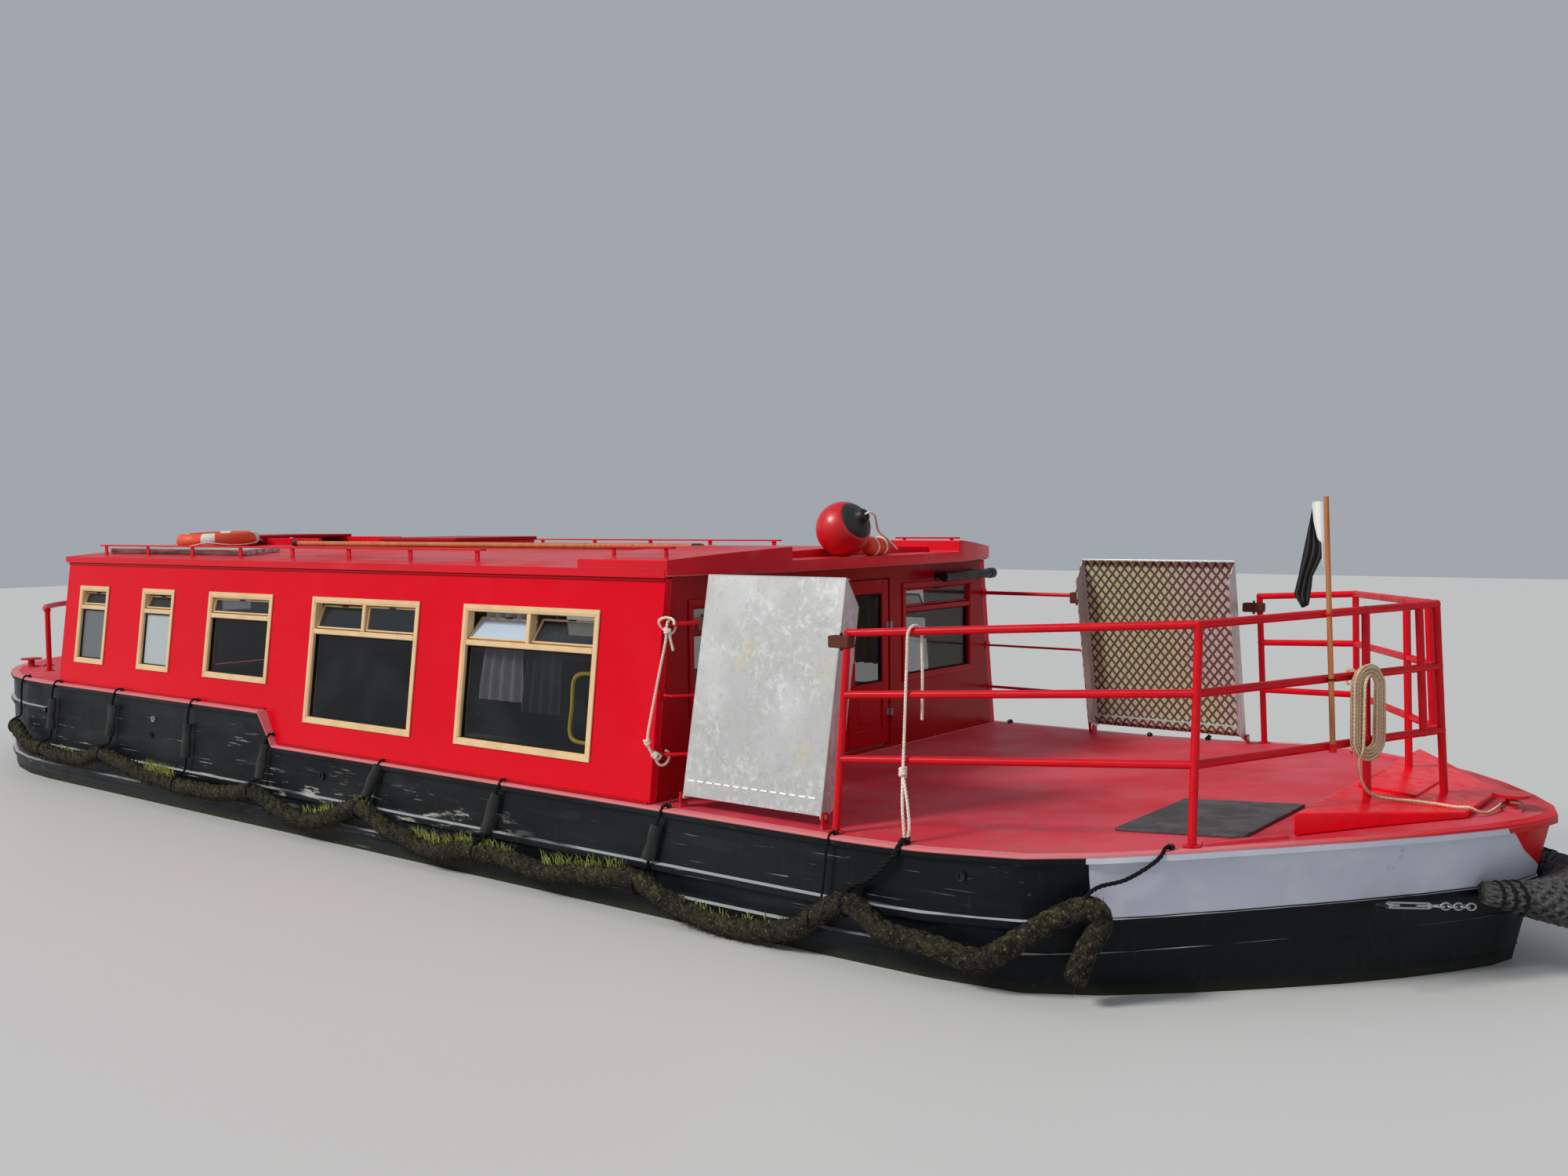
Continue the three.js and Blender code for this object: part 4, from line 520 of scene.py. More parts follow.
def hull_paint():
    """Black hull with its zones: a grey panel and a red nose at the bow, a pale gunwale line that is painted highlight,
    scuffs and slime.
    """
    look = Look("hull_paint", (7, 11, 17), 0.42, specular=0.16)
    along, edge = deck_level(look)
    drop = look.math("SUBTRACT", edge, look.z)

    aft = look.ramp(along, 2.6, 0.8, True)
    mottled = look.both(look.clouds(0.40, 0.65, 1.1, 3.0, (0.5, 1.0, 2.0)), 0.8)
    look.paint(look.both(mottled, aft), srgb(24, 29, 33))
    look.paint(look.both(look.clouds(0.52, 0.70, 6.0, 5.0, (0.3, 1.0, 2.2)), 0.5, aft), srgb(38, 44, 48))
    look.paint(look.grains(0.60, 0.78, 30.0, 4.0, (1.0, 1.0, 0.10)), srgb(52, 54, 54), 0.2)
    scratches = look.both(look.grains(0.655, 0.69, 46.0, 4.0, (0.05, 1.0, 1.6), twist=0.4), aft)
    look.paint(look.both(scratches, look.grains(0.46, 0.58, 1.7, 2.0)), srgb(172, 172, 168), 0.8)
    # Where hulls have rubbed along the swags of the fender
    rubbed = look.both(look.band(along, *RUBBED_X, 0.35), look.band(drop, *RUBBED_DROPS, 0.05))
    scuffs = look.grains(0.56, 0.64, 15.0, 6.0, (0.25, 1.0, 1.4), rough=0.7)
    look.paint(look.both(rubbed, scuffs), srgb(186, 184, 176), 0.8)

    grey = look.both(
        look.ramp(along, GREY_X - PAINT_EDGE, GREY_X + PAINT_EDGE), look.band(drop, *GREY_DROPS, PAINT_EDGE)
    )
    look.paint(grey, srgb(188, 192, 206))
    look.paint(look.both(grey, look.both(look.clouds(0.48, 0.72, 4.0, 5.0), 0.6)), srgb(202, 205, 214))
    nose_edge = look.math("ADD", look.both(drop, NOSE_RAKE), NOSE_X)
    ahead = look.math("SUBTRACT", along, nose_edge)
    nose = look.both(look.ramp(ahead, 0.0, 0.003), look.band(drop, *NOSE_DROPS, PAINT_EDGE))
    look.paint(nose, srgb(196, 5, 12))
    look.roughen(look.math("MAXIMUM", grey, nose), 0.36)

    # The gunwale's top edge is painted pale pink, a painted highlight of sky glare on the red paint; the strakes' upper
    # faces are painted pale, partly wear and partly painted highlight
    rim = look.ramp(drop, 0.015, 0.009)
    look.paint(rim, srgb(224, 128, 132), 0.95)
    look.paint(look.both(rim, look.ramp(along, 2.9, 3.7)), srgb(204, 14, 28))
    on_strake = look.both(look.ramp(drop, 0.05, 0.07), look.ramp(look.z, WATER_Z, WATER_Z + 0.02))
    wear_and_highlight_top = look.both(look.ramp(look.facing_z, 0.25, 0.45), on_strake)
    # Painted shade: the scupper's opening is a black patch on the hull, not a hole
    scupper_shade = look.both(look.band(along, *SCUPPER_X, PAINT_EDGE), look.band(drop, *SCUPPER_DROPS, PAINT_EDGE))
    look.paint(scupper_shade, srgb(8, 8, 8))

    rust = look.both(look.grains(0.62, 0.72, 13.0, 5.0), look.grains(0.54, 0.64, 1.9, 2.0))
    look.paint(rust, srgb(70, 50, 40), 0.35)
    broken = look.grains(0.30, 0.44, 4.0, 4.0, (0.3, 1.0, 1.0))
    # The strakes' upward faces are painted pale: wear, and a painted highlight
    look.paint(look.both(wear_and_highlight_top, broken), srgb(176, 180, 180), 0.9)
    ragged = look.math("ADD", look.z, look.both(look.noise(5.0, 4.0), 0.08))
    slime = look.ramp(ragged, WATER_Z + 0.11, WATER_Z + 0.03, True)
    look.paint(slime, srgb(48, 50, 32), 0.7)
    under = look.ramp(look.z, WATER_Z - 0.01, WATER_Z - 0.06)
    look.paint(under, srgb(40, 36, 30), 0.7)
    well = look.both(look.band(along, REAR_X + 0.02, -0.02, 0.01), look.ramp(look.facing_z, 0.9, 0.95))
    inboard = look.ramp(look.math("ABSOLUTE", look.y), 1.76, 1.74)
    look.paint(look.both(well, inboard, look.ramp(look.z, 0.9, 0.8)), srgb(96, 82, 66))
    look.roughen(slime, 0.75)
    look.roughen(look.clouds(0.42, 0.70, 2.6, 4.0), 0.55)
    look.raised(look.noise(1.6, 2.0, (1.0, 1.0, 1.6)), 0.008)
    look.raised(look.noise(24.0, 4.0, (0.4, 1.0, 1.0)), 0.0012)
    return look.done()


def diamonds(look, across, down, half_across, half_down):
    """Openings of expanded mesh in the x and z plane: two staggered lattices of diamonds."""

    def lattice(shift):
        parts = []
        for value, pitch, half in ((look.x, across, half_across), (look.z, down, half_down)):
            moved = look.math("ADD", look.math("DIVIDE", value, pitch), shift)
            near = look.math("ABSOLUTE", look.math("SUBTRACT", look.math("FRACT", moved), 0.5))
            parts.append(look.math("DIVIDE", near, half / pitch))
        return look.ramp(look.math("ADD", *parts), 1.02, 0.94)

    return look.math("MAXIMUM", lattice(10.0), lattice(10.5))


def galvanised(name, inside=False):
    """Zinc spangle with white bloom and yellow stains; a ramp's inner face is lined with expanded mesh, and its
    openings carry painted reflections in pink and green.
    """
    look = Look(name, (172, 174, 173), 0.46, metallic=0.30)
    spangle = look.cells(46.0, output="Color")
    grain = look.node("ShaderNodeSeparateColor", (spangle,)).outputs[0]
    look.paint(grain, srgb(190, 192, 191), 0.5)
    look.paint(look.clouds(0.44, 0.60, 1.4, 3.0), srgb(204, 205, 205), 0.6)
    bloom = look.both(look.clouds(0.40, 0.62, 3.0, 3.0), look.grains(0.50, 0.58, 24.0, 8.0, rough=0.75))
    look.paint(bloom, srgb(230, 231, 231), 0.4)
    look.paint(look.grains(0.55, 0.64, 38.0, 6.0, (1.0, 1.0, 0.7), rough=0.7), srgb(146, 149, 146), 0.4)
    stain = look.both(look.clouds(0.56, 0.68, 2.6, 4.0), look.grains(0.42, 0.60, 15.0, 5.0))
    look.paint(stain, srgb(184, 166, 122), 0.5)
    look.roughen(grain, 0.38).roughen(look.both(stain, 0.8), 0.7)
    if inside:
        flange = look.ramp(look.facing_x, 0.5, 0.8)
        drips = look.grains(0.46, 0.56, 9.0, 6.0, (1.0, 1.0, 0.22), rough=0.62)
        low_flange = look.both(flange, look.ramp(look.z, 1.78, 1.50))
        look.paint(look.both(low_flange, drips), srgb(232, 226, 226), 0.85)
        face = look.ramp(look.math("MULTIPLY", look.y, look.facing_y), -0.5, -0.8)
        reflecting_openings = diamonds(look, 0.059, 0.073, 0.020, 0.026)
        look.paint(face, srgb(74, 66, 63), 0.94)
        look.roughen(face, 0.7)
        grass_reflection_patches = look.clouds(0.40, 0.60, 1.6, 3.0)
        # Painted reflections: the sheet seen through the mesh's openings is painted pink for the deck and green for the
        # grass it would mirror
        look.paint(look.both(face, reflecting_openings), srgb(212, 186, 180), 0.95)
        look.paint(look.both(face, reflecting_openings, grass_reflection_patches), srgb(196, 200, 150), 0.9)
        look.raised(look.both(face, reflecting_openings), -0.003)
    look.raised(look.noise(2.6, 2.0), 0.004)
    look.raised(look.noise(190.0, 2.0), 0.00008)
    return look.done()


def plain_paint(name, colour, roughness=0.32, metallic=0.0, chips=0.5, chip_colour=(96, 52, 40), coat=0.0, grain=True):
    """Brushed paint on metal with chips and grime, for rails and fittings."""
    look = Look(name, colour, roughness, metallic, coat, None if metallic else 0.22)
    darker = tuple(c * 0.78 for c in srgb(*colour))
    look.paint(look.clouds(0.42, 0.68, 8.0, 3.0), darker, 0.5)
    wear = look.both(look.grains(0.66, 0.70, 60.0, 4.0), look.grains(0.52, 0.60, 5.0, 2.0))
    look.paint(wear, srgb(*chip_colour), chips)
    look.roughen(look.grains(0.4, 0.7, 18.0, 3.0), min(1.0, roughness + 0.2))
    if grain:
        look.raised(look.noise(90.0, 2.0), 0.0001)
        look.raised(wear, -0.0002)
    return look.done()


def rope_fibre(name, colour, dirt, roughness=0.92, moss=0.0, groove_shade=None):
    """Yarns along a laid strand, fuzz and dirt; moss grows where the strand faces up."""
    look = Look(name, colour, roughness, specular=0.2)
    look.paint(look.grains(0.40, 0.66, 70.0, 5.0), srgb(*dirt), 0.8)
    look.paint(look.grains(0.50, 0.66, 420.0, 2.0), tuple(min(1.0, c * 1.5 + 0.01) for c in srgb(*colour)), 0.45)
    look.paint(look.clouds(0.45, 0.70, 3.0, 3.0), srgb(*dirt), 0.5)
    if moss:
        green = look.both(look.ramp(look.facing_z, 0.05, 0.75), look.grains(0.44, 0.60, 2.4, 5.0))
        look.paint(green, srgb(86, 96, 40), moss)
        look.paint(look.both(green, look.grains(0.5, 0.6, 40.0, 3.0)), srgb(132, 144, 62), moss)
        look.paint(look.grains(0.47, 0.56, 26.0, 6.0, rough=0.75), srgb(13, 13, 12), 0.9)
        look.paint(look.grains(0.57, 0.64, 62.0, 5.0, rough=0.7), srgb(104, 93, 68), 0.8)
    if groove_shade:
        # Painted shade: turns that lie side by side are painted darker where they meet
        look.paint(look.ramp(look.math("ABSOLUTE", look.facing_x), 0.5, 0.92), srgb(*groove_shade), 0.75)
    look.raised(look.noise(330.0, 4.0, twist=0.6), 0.0016 if moss else 0.0005)
    look.raised(look.noise(46.0, 4.0), 0.008 if moss else 0.0006)
    return look.done()


def glass(name, tint, alpha, roughness=0.06, veil=0.0):
    look = Look(name, tint, roughness, specular=0.9)
    look.shader.inputs["Alpha"].default_value = alpha
    look.shader.inputs["IOR"].default_value = 1.52
    paler = tuple(min(1.0, c + 0.10 + veil) for c in srgb(*tint))
    look.paint(look.clouds(0.48, 0.72, 2.2, 4.0), paler, 0.2)
    look.roughen(look.clouds(0.55, 0.75, 14.0, 4.0), roughness + 0.10)
    look.raised(look.noise(0.9, 1.0), 0.0025)
    return look.done()


def wood(name, colour, dark, roughness=0.55, along="x"):
    look = Look(name, colour, roughness)
    stretch = {"x": (0.06, 1.0, 1.0), "z": (1.0, 1.0, 0.06)}[along]
    look.paint(look.grains(0.42, 0.66, 55.0, 4.0, stretch), srgb(*dark), 0.75)
    look.paint(look.clouds(0.45, 0.70, 7.0, 3.0, stretch), srgb(*dark), 0.4)
    look.raised(look.noise(120.0, 3.0, stretch), 0.0003)
    return look.done()


def cloth(name, colour, weave=900.0, pale=1.35):
    look = Look(name, colour, 0.88)
    look.shader.inputs["Sheen Weight"].default_value = 0.2
    paler = tuple(min(1.0, c * pale + 0.004) for c in srgb(*colour))
    look.paint(look.clouds(0.42, 0.70, 6.0, 4.0), paler, 0.6)
    threads = look.math("ADD", look.noise(weave, 1.0, (1.0, 1.0, 0.15)), look.noise(weave, 1.0, (0.15, 0.15, 1.0)))
    look.paint(look.ramp(threads, 0.95, 1.15), paler, 0.35)
    look.raised(threads, 0.00025)
    return look.done()


def worn_plastic(name, colour, dirt, roughness=0.5):
    look = Look(name, colour, roughness)
    look.paint(look.clouds(0.46, 0.72, 5.0, 4.0), srgb(*dirt), 0.55)
    look.paint(look.grains(0.58, 0.74, 44.0, 4.0), srgb(*dirt), 0.35)
    look.roughen(look.grains(0.45, 0.7, 9.0, 3.0), min(1.0, roughness + 0.25))
    look.raised(look.noise(260.0, 2.0), 0.00012)
    return look.done()


def rubber_mat():
    look = Look("ribbed_rubber", (70, 69, 73), 0.78)
    look.paint(look.clouds(0.42, 0.68, 6.0, 4.0), srgb(108, 104, 106), 0.7)
    ribs = look.math("PINGPONG", look.both(look.y, 1.0), 0.006)
    look.raised(ribs, 0.5)
    look.paint(look.ramp(ribs, 0.0045, 0.0055), srgb(98, 88, 84), 0.35)
    return look.done()


RED = cabin_paint("side_red", (214, 2, 28), inner_of_side)
# The front wall's red is a darker copy of the side's red: painted shade under the canopy
SHADED_FRONT_RED = cabin_paint("front_red_painted_shade", (158, 2, 12), inner_of_front)
REAR_RED = cabin_paint("rear_red", (200, 4, 24), inner_of_rear)
# The trim red is a darker copy of the cabin's red: painted shade for the front window frames and front doors under the
# canopy; the sides' rain strips and beads use it too
SHADED_TRIM_RED = cabin_paint("trim_red_painted_shade", (172, 3, 18))
HATCH_RED = cabin_paint("hatch_red", (170, 10, 26), shine=0.32)
ROOF_RED = roof_paint()
RAIL_RED = plain_paint("rail_red", (204, 3, 24), 0.30)
LOCKER_RED = plain_paint("locker_red", (250, 4, 32), 0.24, chips=0.08, grain=False)
DECK = deck_paint()
HULL = hull_paint()
RAMP_ZINC = galvanised("ramp_zinc", inside=True)
ZINC = galvanised("zinc")
CREAM = plain_paint("cream_frame", (222, 190, 144), 0.42, chips=0.25, chip_colour=(150, 128, 92))
SEAL = plain_paint("window_seal", (18, 17, 16), 0.6, chips=0.0)
# Near black and mostly opaque: painted shade of the dark cabin behind the panes
INTERIOR_SHADE_GLASS = glass("window_glass_painted_shade", (14, 18, 20), 0.30)
HOPPER_GLASS = glass("hopper_glass", (40, 48, 54), 0.42)
# A pale blue pane: painted reflection of the sky, for the first upper light of the starboard side's fifth window
SKY_REFLECTION_GLASS = glass("painted_sky_reflection_glass", (196, 214, 232), 0.85, 0.12)
MILKY_GLASS = glass("obscure_glass", (176, 186, 188), 0.93, 0.25, veil=0.1)
GREY_GLASS = glass("grey_glass", (104, 112, 114), 0.85, 0.16)
IRON = plain_paint("black_iron", (24, 25, 26), 0.5, chips=0.6, coat=0.15)
RUSTY = plain_paint("rusty_steel", (92, 50, 38), 0.8, chips=0.7, chip_colour=(60, 36, 26))
BRIGHT = plain_paint("bright_steel", (168, 170, 172), 0.32, metallic=0.8, chips=0.3)
BRASS = plain_paint("bronze", (150, 112, 58), 0.34, metallic=0.9, chips=0.4, chip_colour=(70, 60, 40))
ENGINE = plain_paint("engine_enamel", (52, 84, 70), 0.45, chips=0.6, coat=0.15)
YELLOW = plain_paint("yellow_guard", (255, 220, 24), 0.35, chips=0.3, coat=0.15)
BLACK_PLASTIC = worn_plastic("black_plastic", (20, 20, 21), (52, 50, 48), 0.42)
ORANGE = worn_plastic("orange_plastic", (226, 72, 30), (186, 84, 56))
BUOY_WHITE = worn_plastic("white_band", (222, 220, 212), (170, 160, 144))
VINYL = worn_plastic("red_vinyl", (198, 12, 24), (146, 18, 26), 0.28)
MAT = rubber_mat()
MANILA = rope_fibre("manila", (240, 214, 180), (212, 180, 142), groove_shade=(96, 72, 48))
WHITE_ROPE = rope_fibre("white_rope", (240, 226, 212), (208, 190, 170))
BLACK_ROPE = rope_fibre("black_lashing", (20, 21, 23), (10, 10, 11))
FENDER = rope_fibre("fender_rope", (50, 44, 34), (18, 17, 15), moss=0.16)
FUZZ = rope_fibre("fender_fuzz", (74, 65, 46), (30, 27, 21), 0.95)
BOW_FENDER = rope_fibre("bow_fender_rope", (84, 83, 83), (30, 31, 34))
GRASS = rope_fibre("grass", (150, 158, 72), (92, 102, 44), 0.8)
POLE_WOOD = wood("pole_wood", (192, 118, 60), (140, 80, 38), along="z")
PLANK_WOOD = wood("plank_wood", (196, 190, 182), (74, 70, 68), 0.75)
FLOOR_WOOD = wood("floor_wood", (96, 72, 50), (70, 50, 36), 0.5)
FLAG_BLACK = cloth("flag_black", (13, 14, 17))
FLAG_WHITE = cloth("flag_white", (222, 222, 218), pale=1.05)
CURTAIN = cloth("curtain_cloth", (150, 146, 150), 600.0)
DARK_CURTAIN = cloth("dark_curtain", (52, 50, 58), 600.0)


# Camera: fitted to the photograph's straight edges
def make_camera():
    yaw, pitch, roll = -0.6615, 0.0510, -0.0091
    ahead = Vector((sin(yaw), cos(yaw), 0))
    right = Vector((cos(yaw), -sin(yaw), 0))
    up = Vector((0, 0, 1))
    look = cos(pitch) * ahead - sin(pitch) * up
    top = sin(pitch) * ahead + cos(pitch) * up
    across = cos(roll) * right + sin(roll) * top
    top = cos(roll) * top - sin(roll) * right
    data = bpy.data.cameras.new("camera")
    data.lens, data.sensor_width, data.clip_end = 32.39, 36, 200
    made = bpy.data.objects.new("camera", data)
    turn = Matrix((across, top, -look)).transposed().to_4x4()
    made.matrix_world = Matrix.Translation((7.4913, -7.1955, 2.5937)) @ turn
    bpy.context.scene.collection.objects.link(made)
    bpy.context.scene.camera = made


make_camera()

# Cords
LINE_R = 0.008
CORD_R = LINE_R - 0.0003  # the drawn rope stays inside the CAD's
GATE = {"starboard": 1.180, "port": 1.990}
BEND = {"starboard": (2.790, 1.420), "port": (2.650, 1.480)}
STEM_POST_X = 3.470
BOW_POSTS = (0.68, 0.92)  # their shares of the way from the bend to the stem post
RAIL_FOOT_Y = 1.790
RAIL_HEADING = atan2(BEND["starboard"][1], STEM_POST_X - BEND["starboard"][0])
ALONG_BOW = Vector((cos(RAIL_HEADING), sin(RAIL_HEADING), 0))
OUT_BOW = Vector((sin(RAIL_HEADING), -cos(RAIL_HEADING), 0))
UP = Vector((0, 0, 1))


def rail_point(side, share, height):
    """A place on the rails between the bend and the stem post, by its share of that stretch."""
    lean = height / RAIL_HEIGHTS[0]
    x, y = BEND[side]
    bend = at(x, SIDES[side] * (y - STANCHION_LEAN * 0.6 * lean), DECK_Z + sheer(x) + height)
    stem = at(STEM_POST_X - 0.050 * lean, 0, DECK_Z + sheer(STEM_POST_X) + height)
    return bend.lerp(stem, share)


def gate_point(side, height):
    x = GATE[side]
    lean = STANCHION_LEAN * height / RAIL_HEIGHTS[0]
    return at(x, SIDES[side] * (RAIL_FOOT_Y - lean), DECK_Z + sheer(x) + height)


def from_mm(points):
    return [at(x / 1000, y / 1000, z / 1000) for x, y, z in points]


def laid_cord(name, line, look, slot, nodes, with_pieces=()):
    piece = Piece(name)
    piece.rope(line, CORD_R, look, sides=7)
    made = piece.done(slot=slot, replaces=nodes, angle=180)
    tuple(line[0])
    line_length(line)
    [tuple(p) for p in line]


STUD_X, STUD_R = 3.760, 0.028
HANK_SHARE = 0.642
HANK_FOLDS = (0.048, 0.064, 0.080, 0.096)
HANK_RUN = 0.240
HANK_OFF = 0.060
HANK_DROP = 0.165
BECKET_R = 0.044
BECKET_DROP = 0.016
BECKET_INBOARD = 0.008


def hank_turns(place):
    """The hank's turns: outward in the layer by the rail, then inward in the outer one."""
    half = HANK_RUN / 2
    inner = [(fold, -LINE_R) for fold in HANK_FOLDS]
    layers = [*inner, *((fold, LINE_R) for fold in reversed(HANK_FOLDS))]
    shift = random.Random(3)
    points = []
    for turn, (fold, off) in enumerate(layers):
        ahead = layers[min(turn + 1, len(layers) - 1)]
        last = turn == len(layers) - 1
        for k in range(17 if last else 20):
            share = k / 20
            grow = 0.0 if last else max(0.0, (share - 0.55) / 0.45)
            radius = mix(fold, ahead[0], grow)
            depth = HANK_OFF + mix(off, ahead[1], grow)
            wobble = 0.0006 * (shift.random() - 0.5)
            if k < 5:
                points.append(place(-radius, depth, half - HANK_RUN * (k + 0.5) / 5 + wobble))
            elif k < 10:
                angle = pi * (k - 5 + 0.5) / 5
                points.append(place(-radius * cos(angle), depth, -half - radius * sin(angle)))
            elif k < 15:
                points.append(place(radius, depth, -half + HANK_RUN * (k - 10 + 0.5) / 5 + wobble))
            else:
                angle = pi * (k - 15 + 0.5) / 5
                points.append(place(radius * cos(angle), depth, half + radius * sin(angle)))
    return points


def hank_line():
    """The rope's loop over the rail, the hank, and its end over the locker to the bow stud."""
    middle = rail_point("starboard", HANK_SHARE, RAIL_HEIGHTS[1])
    centre = middle - UP * HANK_DROP

    def place(along, off, up):
        return centre + ALONG_BOW * along + OUT_BOW * off + UP * up

    half = HANK_RUN / 2
    points = []
    for k in range(13):
        angle = radians(mix(225, 0, k / 12))
        points.append(place(
            mix(-0.016, -0.046, k / 12),
            BECKET_R * cos(angle) - BECKET_INBOARD,
            HANK_DROP - BECKET_DROP + BECKET_R * sin(angle),
        ))
    points += hank_turns(place)
    # The tail runs down the face of the hank
    points += [place(along, HANK_OFF + off, up) for along, off, up in (
        (-0.004, 0.013, half + 0.048), (-0.030, 0.019, half + 0.037), (-0.0465, 0.023, half + 0.012),
        (-0.0515, 0.025, half - 0.045), (-0.053, 0.025, 0.0), (-0.055, 0.025, -half), (-0.056, 0.021, -half - 0.045),
    )]

    def locker(x):
        return DECK_Z + sheer(x) + mix(0.100, 0.030, (x - 3.100) / 0.540)

    deck = DECK_Z + SHEER_RISE + LINE_R + 0.0015
    lie = LINE_R + 0.0011
    points += from_mm(((3234, -568, 1455), (3236, -565, 1420), (3243, -552, 1365), (3260, -522, 1315)))
    points += [at(x, y, locker(x) + lie + lift) for x, y, lift in (
        (3.292, -0.474, 0.008), (3.345, -0.424, 0), (3.430, -0.372, 0),
        (3.510, -0.338, 0), (3.590, -0.312, 0), (3.640, -0.294, 0.006),
    )]
    points += [at(x, y, deck + lift) for x, y, lift in (
        (3.674, -0.264, 0.016), (3.698, -0.210, 0.004), (3.712, -0.130, 0.008), (3.7185, -0.060, 0.012),
    )]
    around = STUD_R + LINE_R + 0.004
    for i in range(13):
        angle = mix(0.98, -0.50, i / 12) * pi
        points.append(at(STUD_X + around * cos(angle), around * sin(angle), deck + 0.014 + 0.0016 * i))
    return smooth_line(points, 0.005)


TURN_R = 0.040


def turn_round(place, start, end, drift):
    """A rope's turn round a rail; 90 degrees is over the rail, 180 outside it."""
    made, (x, y, z), steps = [], place, 9
    for i in range(steps + 1):
        angle = radians(mix(start, end, i / steps))
        made.append(at(x + drift * i / steps, y + TURN_R * cos(angle), z + TURN_R * sin(angle)))
    return made


def seat(bar):
    """How far a turn's centre lies under the middle of the bar that it goes round."""
    return TURN_R - LINE_R - bar - 0.0009


# Height and radius of each bar
STUB_TOP, STUB_MIDDLE, STUB_LOW = (0.950, 0.013), (0.570, 0.008), (0.265, 0.010)


def stub_y(height):
    return -RAIL_FOOT_Y + STANCHION_LEAN * height / STUB_TOP[0]


def stub_rope_line():
    points = turn_round((0.022, stub_y(0.950), DECK_Z + 0.950 - seat(STUB_TOP[1])), -80, 180, 0.018)
    points += from_mm((
        (38, -1727, 1950), (28, -1756, 1820), (16, -1786, 1680), (4, -1812, 1550), (-2, -1832, 1450),
        (2, -1836, 1398), (12, -1824, 1362),
    ))
    points += turn_round((0.024, stub_y(0.265), DECK_Z + 0.265 - seat(STUB_LOW[1])), 190, 440, 0.026)
    return smooth_line(points, 0.004)


def rail_rope_line():
    points = from_mm((
        (1570, -1792, 1090), (1566, -1790, 1145), (1550, -1776, 1240), (1530, -1744, 1345), (1515, -1713, 1444),
        (1508, -1692, 1580), (1505, -1679, 1700), (1504, -1671, 1800), (1503, -1660, 1930),
    ))
    points += turn_round((1.503, -1.6122, 2.0478 - seat(RAIL_R)), 180, 0, 0.026)
    points += from_mm(((1531, -1573, 1960), (1532, -1571, 1880), (1531, -1570, 1760), (1527, -1569, 1625)))
    return smooth_line(points, 0.004)


def wrapped(piece, line, radius, look, turns, around):
    """A tight wrapping of thin cord round a line."""
    frames = turned_frames(line)
    path = []
    for i, (_, side, up) in enumerate(frames):
        angle = tau * turns * i / (len(line) - 1)
        path.append(line[i] + (side * cos(angle) + up * sin(angle)) * (around + radius * 0.7))
    piece.tube(path, radius, look, sides=6)


def knot(piece, centre, along, size, radius, look, turns=3):
    """Turns of rope drawn tight round a place, side by side."""
    along = along.normalized()
    side = along.orthogonal().normalized()
    up = along.cross(side)
    path = []
    for i in range(14 * turns + 1):
        angle = tau * i / 14
        shift = (i / (14 * turns) - 0.5) * 1.7 * radius * turns
        path.append(centre + along * shift + (side * cos(angle) + up * sin(angle)) * size)
    piece.rope(resample(path, 0.005), radius, look, sides=6)


def rail_knots():
    """The knot above the rope's foot, the second part of its eye, and the lashing that holds it at the deck."""
    piece = Piece("rail_rope_knots")
    middle, foot = from_mm(((1521, -1727, 1400), (1577, -1792, 1100)))
    knot(piece, middle, Vector((-0.15, 0.3, 1)), 0.014, 0.008, WHITE_ROPE, 3)
    strand = from_mm((
        (1532, -1738, 1375), (1550, -1752, 1330), (1574, -1768, 1250), (1592, -1784, 1160), (1588, -1792, 1102),
    ))
    piece.rope(smooth_line(strand, 0.005), 0.0078, WHITE_ROPE, sides=6)
    knot(piece, foot, UP, 0.018, 0.005, BLACK_ROPE, 3)
    return piece.done(slot="white_rope", angle=180)


def stub_knots():
    """The eye and wraps at the top bar, the short strand from it, and the wraps at the low bar."""
    piece = Piece("stub_rope_knots")
    top = at(0.046, -1.722, DECK_Z + 0.915)
    knot(piece, top, Vector((0.1, -0.25, -1)), 0.013, 0.008, WHITE_ROPE, 2)
    eye = []
    for a in (tau * k / 22 for k in range(20)):
        eye.append(at(0.035 + 0.052 * cos(a), -1.716 + 0.010 * sin(2 * a), DECK_Z + 0.948 + 0.036 * sin(a)))
    piece.rope(smooth_line(eye, 0.005), 0.0078, WHITE_ROPE, sides=6)
    strand = [at(0.056, -1.718, DECK_Z + 0.900), at(0.062, -1.714, DECK_Z + 0.860), at(0.074, -1.710, DECK_Z + 0.810)]
    piece.rope(smooth_line(strand, 0.005), 0.0078, WHITE_ROPE, sides=6)
    knot(piece, at(0.030, -1.806, DECK_Z + 0.262), Vector((1, 0, -0.35)), 0.014, 0.008, WHITE_ROPE, 3)
    knot(piece, at(-0.002, -1.838, DECK_Z + 0.335), Vector((0.5, 0.2, -1)), 0.012, 0.008, WHITE_ROPE, 2)
    return piece.done(slot="white_rope", angle=180)


laid_cord(
    "mooring_rope", hank_line(), MANILA, "manila_rope", ("mooring_hank", "mooring_line")
)
laid_cord(
    "stub_rail_rope", stub_rope_line(), WHITE_ROPE, "white_rope", ("stub_rope",),
    with_pieces=[stub_knots()],
)
laid_cord(
    "deck_rail_rope", rail_rope_line(), WHITE_ROPE, "white_rope", ("rail_rope",),
    with_pieces=[rail_knots()],
)


# Drawn across, up and out of the cabin's front wall
FRONT_PLANE = spot(0, 0, DECK_Z) @ Matrix(((0, 0, 1), (1, 0, 0), (0, 1, 0))).to_4x4()


